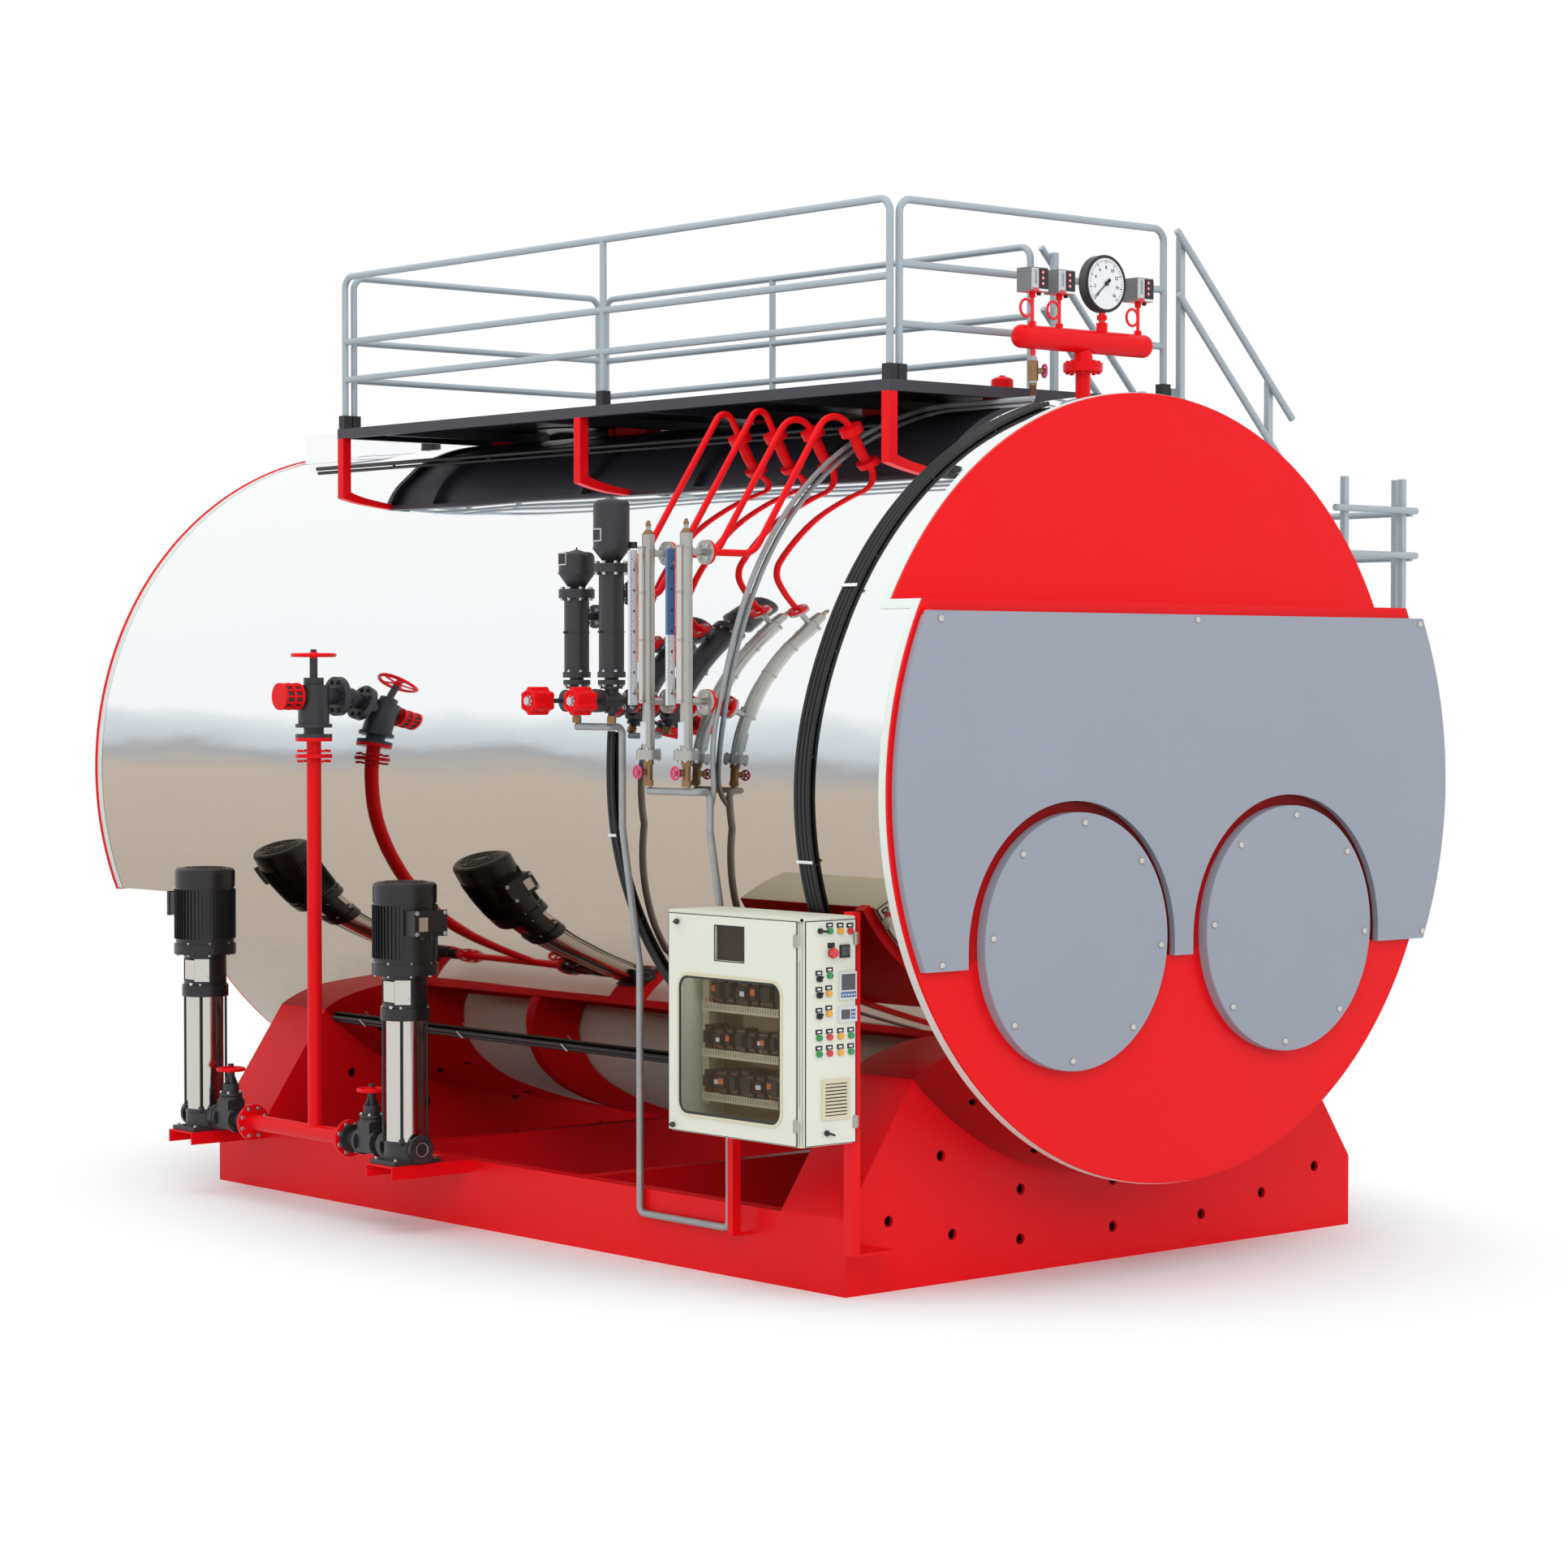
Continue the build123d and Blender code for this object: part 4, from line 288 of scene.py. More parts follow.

# %% [markdown]
# The cladding is thin polished sheet, and it is never flat: broad waves bend each reflection. Its colour
# holds a painted reflection: white above, a grey-blue band where the horizon would be, and below it the tone
# of bare ground with stretched gravel grain. The painted reflection follows height, because the lower half of
# a drum always looks down. Long low noise in the bump makes the waves.

# %% Mirror cladding, with a painted reflection of the ground
def cladding_material():
    """Polished sheet with broad waves and a painted reflection of the ground on its lower half."""
    material = bpy.data.materials.new("mirror_cladding")
    material.use_nodes = True
    tree = material.node_tree
    shader = tree.nodes["Principled BSDF"]
    place = tree.nodes.new("ShaderNodeTexCoord")
    parts = tree.nodes.new("ShaderNodeSeparateXYZ")
    tree.links.new(place.outputs["Object"], parts.inputs[0])
    stretch = tree.nodes.new("ShaderNodeMapping")
    stretch.inputs["Scale"].default_value = (1.0, 0.35, 1.6)
    tree.links.new(place.outputs["Object"], stretch.inputs["Vector"])
    streaks = tree.nodes.new("ShaderNodeTexNoise")
    streaks.inputs["Scale"].default_value = 2.2
    streaks.inputs["Detail"].default_value = 6.0
    tree.links.new(stretch.outputs[0], streaks.inputs["Vector"])
    wander = add_math(tree, "MULTIPLY_ADD", streaks.outputs["Fac"], 0.25)
    tree.links.new(parts.outputs["Z"], wander.node.inputs[2])
    rescaled = tree.nodes.new("ShaderNodeMapRange")
    rescaled.inputs["From Min"].default_value = 0.4
    rescaled.inputs["From Max"].default_value = 4.4
    tree.links.new(wander, rescaled.inputs["Value"])
    # Painted reflection by height: the tone of bare ground low down, a grey-blue horizon band, then white
    # sky.
    stops = (
        (0.0, (0.34, 0.29, 0.23)),
        (0.30, (0.45, 0.38, 0.31)),
        (0.535, (0.50, 0.43, 0.36)),
        (0.560, (0.38, 0.39, 0.40)),
        (0.575, (0.55, 0.60, 0.64)),
        (0.605, (0.72, 0.77, 0.80)),
        (0.62, (0.90, 0.92, 0.93)),
        (1.0, (0.94, 0.95, 0.96)),
    )
    painted_ground_reflection = add_ramp(tree, rescaled.outputs[0], stops)
    # Stretched grain darkens the lower part as a painted reflection of gravel.
    gravel_reflection_noise = tree.nodes.new("ShaderNodeTexNoise")
    gravel_reflection_noise.inputs["Scale"].default_value = 26.0
    gravel_reflection_noise.inputs["Detail"].default_value = 8.0
    tree.links.new(stretch.outputs[0], gravel_reflection_noise.inputs["Vector"])
    gravel_reflection_share = tree.nodes.new("ShaderNodeMapRange")
    gravel_reflection_share.inputs["From Min"].default_value = 2.6
    gravel_reflection_share.inputs["From Max"].default_value = 1.0
    gravel_reflection_share.inputs["To Min"].default_value = 0.0
    gravel_reflection_share.inputs["To Max"].default_value = 0.5
    tree.links.new(parts.outputs["Z"], gravel_reflection_share.inputs["Value"])
    painted_gravel_reflection = add_mix(tree, gravel_reflection_noise.outputs["Fac"], (0.62, 0.60, 0.58, 1.0), (1.0, 1.0, 1.0, 1.0))
    painted_reflection_colour = add_mix(tree, gravel_reflection_share.outputs[0], painted_ground_reflection, painted_gravel_reflection, "MULTIPLY")
    tree.links.new(painted_reflection_colour, shader.inputs["Base Color"])
    shader.inputs["Metallic"].default_value = 1.0
    shader.inputs["Roughness"].default_value = 0.035
    waves = tree.nodes.new("ShaderNodeTexNoise")
    waves.inputs["Scale"].default_value = 1.1
    waves.inputs["Detail"].default_value = 1.5
    tree.links.new(stretch.outputs[0], waves.inputs["Vector"])
    height = add_math(tree, "MULTIPLY", waves.outputs["Fac"], 12.0)
    relief = tree.nodes.new("ShaderNodeBump")
    relief.inputs["Strength"].default_value = 0.6
    relief.inputs["Distance"].default_value = 0.0022
    tree.links.new(height, relief.inputs["Height"])
    tree.links.new(relief.outputs["Normal"], shader.inputs["Normal"])
    return material

# %% [markdown]
# Each solid names the finish it wears, and this cell makes those finishes and hands them out. Colours
# are typed as a screen shows them and turned to linear light, which is what the shader works in. The
# window is thin acrylic: a mostly clear sheet with a warm tint lets the switchgear show through.

# %% The finishes that the solids wear
def srgb(red, green, blue):
    """Linear colour of three 0-255 screen values."""
    return tuple(
        value / 255 / 12.92 if value / 255 <= 0.04045 else ((value / 255 + 0.055) / 1.055) ** 2.4
        for value in (red, green, blue)
    )


materials = {
    "red_paint": finish_material("red_paint", srgb(236, 12, 22), 0.34, spread=0.03, dust=0.0, bump=0.02,
                                 shine=0.16),
    "mirror_cladding": cladding_material(),
    "pale_trim": finish_material("pale_trim", srgb(226, 232, 224), 0.35, spread=0.03, dust=0.0, bump=0.02),
    "grey_plate": finish_material("grey_plate", srgb(150, 156, 166), 0.42, spread=0.03, dust=0.0, bump=0.03),
    "dark_steel": finish_material("dark_steel", srgb(52, 52, 60), 0.45, spread=0.15, scale=3.0, bump=0.08),
    "grey_rail": finish_material("grey_rail", srgb(168, 178, 184), 0.38, metallic=0.15, scale=4.0),
    "gauge_black": finish_material("gauge_black", srgb(28, 28, 30), 0.3, spread=0.05),
    "switch_grey": finish_material("switch_grey", srgb(120, 122, 124), 0.45, spread=0.08, scale=8.0),
    "galvanised": finish_material("galvanised", srgb(160, 163, 164), 0.42, metallic=0.6, spread=0.2,
                                  scale=14.0),
    "gauge_steel": finish_material("gauge_steel", srgb(176, 174, 168), 0.3, metallic=0.85, spread=0.12,
                                   scale=9.0),
    "cast_black": finish_material("cast_black", srgb(44, 44, 48), 0.42, spread=0.15, scale=10.0, bump=0.25,
                                  grain_scale=160.0),
    "stainless": finish_material("stainless", srgb(205, 200, 194), 0.16, metallic=1.0, spread=0.06,
                                 scale=3.0),
    "motor_black": finish_material("motor_black", srgb(24, 24, 27), 0.3, spread=0.12, scale=8.0, bump=0.12,
                                   grain_scale=260.0),
    "cabinet_cream": finish_material("cabinet_cream", srgb(226, 228, 212), 0.48, spread=0.03, dust=0.0,
                                     bump=0.2, grain_scale=520.0),
    "panel_tan": finish_material("panel_tan", srgb(150, 132, 104), 0.5, spread=0.1, scale=6.0),
    "cable_black": finish_material("cable_black", srgb(22, 22, 25), 0.4, spread=0.05, scale=12.0, bump=0.1),
}
glass = bpy.data.materials.new("window_glass")
glass.use_nodes = True
glass_shader = glass.node_tree.nodes["Principled BSDF"]
glass_shader.inputs["Base Color"].default_value = (0.10, 0.06, 0.025, 1.0)
glass_shader.inputs["Roughness"].default_value = 0.03
glass_shader.inputs["Alpha"].default_value = 0.18
glass_shader.inputs["Specular IOR Level"].default_value = 0.2
materials["window_glass"] = glass
for entry in frame["record"]["subparts"]:
    node = nodes[entry["node"]]
    node.data.materials.clear()
    node.data.materials.append(materials[entry["material_slot"]])
print("finishes", len(materials))

# %% [markdown]
# A few solids hold a painted part and a bare part in one, such as a grey switch box on its red siphon.
# The solid's mesh isn't cut. Its colour changes at a height instead, and the edge is sharp because the
# height falls on a joint of the real piece.

# %% Finishes with one colour below a height and another above it
def recolour(material, colour):
    """Feeds a colour socket to the paint group of a finish."""
    group = next(node for node in material.node_tree.nodes if node.type == "GROUP")
    material.node_tree.links.new(colour, group.inputs["Colour"])


def two_tone(name, low_colour, high_colour, edge, roughness, metallic=0.0):
    """A finish whose colour changes at a height, for one solid that holds painted and bare parts."""
    material = finish_material(name, high_colour, roughness, metallic, spread=0.05, dust=0.0)
    tree = material.node_tree
    place = tree.nodes.new("ShaderNodeTexCoord")
    parts = tree.nodes.new("ShaderNodeSeparateXYZ")
    tree.links.new(place.outputs["Object"], parts.inputs[0])
    above = add_math(tree, "GREATER_THAN", parts.outputs["Z"], edge)
    recolour(material, add_mix(tree, above, low_colour + (1.0,), high_colour + (1.0,)))
    return material


red = srgb(238, 22, 32)
switch_bottom = 4.8455
gauge_case_bottom = 4.774
drain_stub_bottom = 4.53
two_tone_nodes = (
    ("pressure_switches", red, srgb(120, 122, 124), switch_bottom),
    ("pressure_gauge", red, srgb(62, 63, 66), gauge_case_bottom),
    ("header_drain", srgb(172, 176, 178), red, drain_stub_bottom),
)
for node_name, low_colour, high_colour, edge in two_tone_nodes:
    nodes[node_name].data.materials[0] = two_tone(node_name + "_tones", low_colour, high_colour, edge, 0.35)
    print(node_name, "changes colour at", edge)
socket_height = 0.079
socket_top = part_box("platform_deck")[1].z + socket_height
rail_tones = two_tone("rail_tones", srgb(30, 30, 34), srgb(168, 178, 184), socket_top, 0.38, metallic=0.15)
for side_name in ("left", "right", "front", "rear"):
    nodes["guardrail_" + side_name].data.materials[0] = rail_tones

# %% [markdown]
# Small parts need a few finishes of their own, such as bolt steel, brass and lamp glass. Each is a row
# of a table: its name, the slot that it belongs to, its colour, its roughness and what else differs.

# %% Finishes of the small parts
small_finishes = (
    ("bolt_steel", "stainless", (200, 203, 206), 0.25, {"metallic": 0.9, "spread": 0.1, "scale": 40.0}),
    ("brass", "gauge_steel", (150, 118, 84), 0.35, {"metallic": 0.9, "spread": 0.25, "scale": 30.0}),
    ("drain_brown", "gauge_steel", (96, 62, 44), 0.45, {"metallic": 0.4, "spread": 0.15, "scale": 30.0}),
    ("pink_wheel", "red_paint", (216, 60, 110), 0.4, {"spread": 0.1, "scale": 20.0}),
    ("lamp_green", "gauge_black", (20, 140, 70), 0.2, {"spread": 0.05, "coat": 0.5}),
    ("lamp_yellow", "gauge_black", (238, 166, 28), 0.2, {"spread": 0.05, "coat": 0.5}),
    ("lamp_red", "red_paint", (214, 38, 42), 0.2, {"spread": 0.05, "coat": 0.5}),
    ("soft_black", "gauge_black", (30, 30, 32), 0.5, {"spread": 0.06, "scale": 20.0}),
    ("dial_white", "pale_trim", (236, 238, 238), 0.4, {"spread": 0.01, "dust": 0.0, "bump": 0.0}),
    ("scale_blue", "grey_plate", (78, 114, 158), 0.4, {"spread": 0.04, "dust": 0.0}),
    ("scale_white", "pale_trim", (214, 218, 220), 0.4, {"spread": 0.03, "dust": 0.0}),
    ("tie_white", "pale_trim", (235, 235, 232), 0.5, {"spread": 0.02, "dust": 0.0}),
    ("device_orange", "panel_tan", (226, 112, 52), 0.4, {"spread": 0.05}),
    ("louvre_cream", "cabinet_cream", (216, 208, 178), 0.5, {"spread": 0.03, "dust": 0.0}),
    ("screen_dark", "gauge_black", (58, 62, 66), 0.15, {"spread": 0.03, "coat": 0.6}),
    ("wire_red", "panel_tan", (190, 40, 34), 0.45, {"spread": 0.03, "dust": 0.0, "bump": 0.0}),
    ("wire_blue", "panel_tan", (44, 88, 160), 0.45, {"spread": 0.03, "dust": 0.0, "bump": 0.0}),
    ("wire_yellow", "panel_tan", (226, 180, 40), 0.45, {"spread": 0.03, "dust": 0.0, "bump": 0.0}),
    # Painted shade for the gaps round the furnace covers; a ramp further on sets its colour.
    ("gap_painted_shade", "red_paint", (236, 12, 22), 0.5, {"spread": 0.03, "dust": 0.0, "shine": 0.1}),
)
for finish_name, finish_slot, screen_colour, finish_roughness, differs in small_finishes:
    materials[finish_name] = finish_material(finish_name, srgb(*screen_colour), finish_roughness, **differs)
print("small finishes", len(small_finishes))

# %% [markdown]
# The small parts come next. Each is built as a mesh in its own place, so that its object can stay at
# the origin. A handful of helpers keeps the cells short. The first four know how to turn an axis and
# how to add a block, a prism and a round bar to a shape.

# %% Helpers that add blocks and bars to a shape
def frame_of(axis):
    """A rotation that turns local Z to an axis."""
    return Vector(axis).normalized().to_track_quat("Z", "Y").to_matrix().to_4x4()


def add_block(shape, low, high):
    """Adds a rectangular block between two corners."""
    size = [b - a for a, b in zip(low, high)]
    middle = [(a + b) / 2 for a, b in zip(low, high)]
    bmesh.ops.create_cube(shape, size=1.0, matrix=Matrix.Translation(middle) @ Matrix.Diagonal(size + [1.0]))


def add_prism(shape, foot, head):
    """Adds a closed prism between two loops of corners."""
    foot = [shape.verts.new(corner) for corner in foot]
    head = [shape.verts.new(corner) for corner in head]
    shape.faces.new(foot)
    shape.faces.new(list(reversed(head)))
    count = len(foot)
    for step in range(count):
        after = (step + 1) % count
        shape.faces.new((foot[step], foot[after], head[after], head[step]))


def add_bar(shape, start, end, radius, far_radius=None, sides=24):
    """Adds a closed round bar or cone between two points."""
    start = Vector(start)
    reach = Vector(end) - start
    place = Matrix.Translation(start + reach / 2) @ frame_of(reach)
    far_end = radius if far_radius is None else far_radius
    bmesh.ops.create_cone(
        shape, cap_ends=True, segments=sides, radius1=radius, radius2=far_end, depth=reach.length,
        matrix=place,
    )

# %% [markdown]
# Rings, domes and rounded frames are the soft forms: a valve wheel's rim, a bolt's head, the bead round
# a window. A ring could be Blender's torus, but a shape that gathers many forms needs its corners added
# by hand, and two loops do that.

# %% Helpers that add rings, domes and frames to a shape
def add_ring(shape, centre, axis, radius, tube, sides=40, round_sides=10):
    """Adds a round ring of round section."""
    place = Matrix.Translation(centre) @ frame_of(axis)
    rings = []
    for step in range(sides):
        angle = 2 * pi * step / sides
        row = []
        for turn in range(round_sides):
            tilt = 2 * pi * turn / round_sides
            reach = radius + tube * cos(tilt)
            point = Vector((reach * cos(angle), reach * sin(angle), tube * sin(tilt)))
            row.append(shape.verts.new(place @ point))
        rings.append(row)
    for step in range(sides):
        for turn in range(round_sides):
            near = rings[step]
            far = rings[(step + 1) % sides]
            after = (turn + 1) % round_sides
            shape.faces.new((near[turn], far[turn], far[after], near[after]))


def add_dome(shape, centre, axis, radius, height):
    """Adds a flattened ball, whose outer half is a dome."""
    place = Matrix.Translation(centre) @ frame_of(axis) @ Matrix.Diagonal((radius, radius, height, 1.0))
    bmesh.ops.create_uvsphere(shape, u_segments=20, v_segments=10, radius=1.0, matrix=place)


def add_frame(shape, plane_point, across, upward, outline, width, depth):
    """Adds a raised rounded frame: outline is (half width, half height, corner radius)."""
    across, upward = Vector(across), Vector(upward)
    normal = across.cross(upward)
    corner_steps = 6
    loops = []
    for inset, lift in ((0.0, 0.0), (0.0, depth), (width, depth), (width, 0.0)):
        half_w, half_h, corner = outline[0] - inset, outline[1] - inset, max(outline[2] - inset, 0.001)
        loop = []
        for quarter, (sx, sy) in enumerate(((1, 1), (-1, 1), (-1, -1), (1, -1))):
            for step in range(corner_steps + 1):
                angle = radians(90 * quarter + 90 * step / corner_steps)
                u = sx * (half_w - corner) + corner * cos(angle)
                v = sy * (half_h - corner) + corner * sin(angle)
                loop.append(shape.verts.new(Vector(plane_point) + u * across + v * upward + lift * normal))
        loops.append(loop)
    count = len(loops[0])
    for here, after in zip(loops, loops[1:] + loops[:1]):
        for step in range(count):
            shape.faces.new((here[step], here[(step + 1) % count], after[(step + 1) % count], after[step]))

# %% [markdown]
# A shape becomes a piece when it has a name, a finish and a body to ride on. Edges flatter than a limit
# are shaded smooth and the others stay crisp, which a bevel could do too, at many more faces.

# %% A helper that turns a shape into a finished piece
def finish_piece(name, shape, material, body="boiler", sharp=35.0):
    """Turns a shape into a piece with its finish and its body."""
    bmesh.ops.recalc_face_normals(shape, faces=shape.faces)
    for edge in shape.edges:
        if len(edge.link_faces) == 2:
            edge.smooth = edge.calc_face_angle(0.0) < radians(sharp)
    for face in shape.faces:
        face.smooth = True
    mesh = bpy.data.meshes.new(name)
    shape.to_mesh(mesh)
    shape.free()
    mesh.materials.append(materials[material])
    piece = bpy.data.objects.new(name, mesh)
    scene.collection.objects.link(piece)
    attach(piece, body)
    print(name, len(mesh.polygons), "faces")

# %% [markdown]
# Bolt heads are the detail that repeats most: on the covers, on every flange and on the motors. One
# geometry tree sets a head on every point of a bare point mesh, so each group of bolts is a list of
# places and one modifier. The head itself is a domed cap, or a six-sided nut on a washer.

# %% Two kinds of bolt heads
def domed_head(tree, radius, height):
    """A ball squashed to the head's height."""
    head = tree.nodes.new("GeometryNodeMeshUVSphere")
    head.inputs["Segments"].default_value = 14
    head.inputs["Rings"].default_value = 8
    tree.links.new(radius, head.inputs["Radius"])
    squash = tree.nodes.new("GeometryNodeTransform")
    stretch = tree.nodes.new("ShaderNodeCombineXYZ")
    stretch.inputs[0].default_value = 1.0
    stretch.inputs[1].default_value = 1.0
    tree.links.new(add_math(tree, "DIVIDE", height, radius), stretch.inputs[2])
    tree.links.new(head.outputs["Mesh"], squash.inputs["Geometry"])
    tree.links.new(stretch.outputs[0], squash.inputs["Scale"])
    return squash.outputs[0]


def washer_head(tree, radius, height):
    """A six-sided head that stands on a wider, thinner washer."""
    washer_width, washer_thickness = 1.3, 0.3
    head = tree.nodes.new("GeometryNodeMeshCylinder")
    head.inputs["Vertices"].default_value = 6
    tree.links.new(radius, head.inputs["Radius"])
    tree.links.new(height, head.inputs["Depth"])
    lift = tree.nodes.new("GeometryNodeTransform")
    raised = tree.nodes.new("ShaderNodeCombineXYZ")
    tree.links.new(add_math(tree, "MULTIPLY", height, 0.5), raised.inputs[2])
    tree.links.new(head.outputs["Mesh"], lift.inputs["Geometry"])
    tree.links.new(raised.outputs[0], lift.inputs["Translation"])
    washer = tree.nodes.new("GeometryNodeMeshCylinder")
    washer.inputs["Vertices"].default_value = 16
    tree.links.new(add_math(tree, "MULTIPLY", radius, washer_width), washer.inputs["Radius"])
    tree.links.new(add_math(tree, "MULTIPLY", height, washer_thickness), washer.inputs["Depth"])
    both = tree.nodes.new("GeometryNodeJoinGeometry")
    tree.links.new(lift.outputs[0], both.inputs[0])
    tree.links.new(washer.outputs["Mesh"], both.inputs[0])
    return both.outputs[0]

# %% [markdown]
# Each point carries the direction its bolt points to, as an attribute named axis. The tree turns a head
# to that direction, makes real faces of it and gives it the finish. Radius and height are named inputs,
# so one tree serves every size.

# %% A tree that sets the heads on points
def heads_tree(name, make_head):
    """Heads on points, of one kind; sizes and finish are named inputs."""
    tree = bpy.data.node_groups.new(name, "GeometryNodeTree")
    tree.interface.new_socket("Geometry", in_out="INPUT", socket_type="NodeSocketGeometry")
    for socket_name, default in (("Head Radius", 0.01), ("Head Height", 0.008)):
        socket = tree.interface.new_socket(socket_name, in_out="INPUT", socket_type="NodeSocketFloat")
        socket.default_value = default
    tree.interface.new_socket("Finish", in_out="INPUT", socket_type="NodeSocketMaterial")
    tree.interface.new_socket("Geometry", in_out="OUTPUT", socket_type="NodeSocketGeometry")
    entry = tree.nodes.new("NodeGroupInput")
    leave = tree.nodes.new("NodeGroupOutput")
    shaped = make_head(tree, entry.outputs["Head Radius"], entry.outputs["Head Height"])
    axis = tree.nodes.new("GeometryNodeInputNamedAttribute")
    axis.data_type = "FLOAT_VECTOR"
    axis.inputs["Name"].default_value = "axis"
    turn = tree.nodes.new("FunctionNodeAlignRotationToVector")
    turn.axis = "Z"
    tree.links.new(axis.outputs["Attribute"], turn.inputs["Vector"])
    place = tree.nodes.new("GeometryNodeInstanceOnPoints")
    tree.links.new(entry.outputs["Geometry"], place.inputs["Points"])
    tree.links.new(shaped, place.inputs["Instance"])
    tree.links.new(turn.outputs[0], place.inputs["Rotation"])
    real = tree.nodes.new("GeometryNodeRealizeInstances")
    paint = tree.nodes.new("GeometryNodeSetMaterial")
    tree.links.new(place.outputs[0], real.inputs[0])
    tree.links.new(real.outputs[0], paint.inputs["Geometry"])
    tree.links.new(entry.outputs["Finish"], paint.inputs["Material"])
    tree.links.new(paint.outputs[0], leave.inputs[0])
    return tree


hex_heads = heads_tree("hex_heads", washer_head)
dome_heads = heads_tree("dome_heads", domed_head)
print("nodes in the trees", len(hex_heads.nodes), len(dome_heads.nodes))

# %% [markdown]
# The modifier is taken away once its result is a plain mesh. That keeps the piece simple for whoever
# opens it later, and its faces can be counted at once.

# %% Helpers that turn a list of places into a piece of bolts
def socket_id(tree, name):
    """The identifier of a named input, which a modifier is set by."""
    return next(
        item.identifier for item in tree.interface.items_tree
        if item.item_type == "SOCKET" and item.in_out == "INPUT" and item.name == name
    )


def set_heads(name, places, radius, height, material, tree=hex_heads):
    """One piece with a bolt head at each (point, axis)."""
    points = bpy.data.meshes.new(name + "_points")
    points.from_pydata([tuple(point) for point, axis in places], [], [])
    attribute = points.attributes.new("axis", "FLOAT_VECTOR", "POINT")
    attribute.data.foreach_set("vector", [value for point, axis in places for value in Vector(axis)])
    piece = bpy.data.objects.new(name, points)
    scene.collection.objects.link(piece)
    modifier = piece.modifiers.new("heads", "NODES")
    modifier.node_group = tree
    modifier[socket_id(tree, "Head Radius")] = radius
    modifier[socket_id(tree, "Head Height")] = height
    modifier[socket_id(tree, "Finish")] = materials[material]
    bpy.context.view_layer.update()
    evaluated = piece.evaluated_get(bpy.context.evaluated_depsgraph_get())
    mesh = bpy.data.meshes.new_from_object(evaluated)
    piece.modifiers.clear()
    piece.data = mesh
    mesh.name = name
    bpy.data.meshes.remove(points)
    if "axis" in mesh.attributes:
        mesh.attributes.remove(mesh.attributes["axis"])
    if tree is dome_heads:
        mesh.polygons.foreach_set("use_smooth", [True] * len(mesh.polygons))
    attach(piece, "boiler")
    print(name, len(places), "heads", len(mesh.polygons), "faces")

# %% [markdown]
# Most bolts sit on a circle, and most flanges have them on both faces. Two helpers list such places. A
# list weighs nothing until it becomes a piece, so several flanges can share one.

# %% Helpers that list bolt places
def circle_of(centre, axis, radius, count, phase=0.0):
    """Places on a circle round a centre, each with the same axis."""
    turn = frame_of(axis)
    places = []
    for step in range(count):
        angle = radians(phase) + 2 * pi * step / count
        places.append((Vector(centre) + turn @ Vector((radius * cos(angle), radius * sin(angle), 0.0)), axis))
    return places


def both_faces(centre, axis, thickness, radius, count, phase=0.0):
    """Bolt places on the two faces of a flange pair; centre is the middle, thickness the whole grip."""
    axis = Vector(axis).normalized()
    half = axis * thickness / 2
    front = circle_of(Vector(centre) + half, axis, radius, count, phase)
    back = circle_of(Vector(centre) - half, axis, radius, count, phase)
    return front + [(point, -axis) for point, _ in back]

# %% [markdown]
# The front is a red disc with a grey cover plate and two round covers. Domed bolts hold them, five on
# the plate and eight round each cover, and a red knob sits at the end of the ledge. The bolts' places
# are one list and two circles, so a single call sets them all.

# %% Bolts and knob of the front
forward = (0.0, -1.0, 0.0)
cover_face_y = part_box("smokebox_cover")[0].y
round_face_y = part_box("furnace_covers")[0].y
furnace_x, furnace_z = 0.762, 1.660
front_bolts = [
    ((x, cover_face_y, z), forward)
    for x, z in ((-1.650, 3.197), (0.090, 3.210), (1.795, 3.205), (-1.640, 1.590), (1.825, 1.598))
]
for side in (-1, 1):
    front_bolts += circle_of((side * furnace_x, round_face_y, furnace_z), forward, 0.572, 8, -4.0)
set_heads("front_bolts", front_bolts, 0.018, 0.015, "stainless", tree=dome_heads)
knob_place = Vector((-1.706, -0.675, 3.216))
shape = bmesh.new()
add_dome(shape, knob_place + Vector((0, -0.002, 0)), forward, 0.030, 0.022)
add_bar(shape, knob_place + Vector((0, 0.002, 0)), knob_place + Vector((0, -0.010, 0)), 0.034)
finish_piece("ledge_knob", shape, "red_paint")

# %% [markdown]
# The cover plate is cut out round each round cover, and its edge shades the red face behind the gap. A thin
# slip in each gap has that shade painted on: it is bright at the left foot of the arch and dark from the
# crown on, by a ramp that runs along the slip's UV map.

# %% Painted shade in the gap round the furnace covers
gap_tree = materials["gap_painted_shade"].node_tree
gap_place = gap_tree.nodes.new("ShaderNodeTexCoord")
gap_parts = gap_tree.nodes.new("ShaderNodeSeparateXYZ")
gap_tree.links.new(gap_place.outputs["UV"], gap_parts.inputs[0])
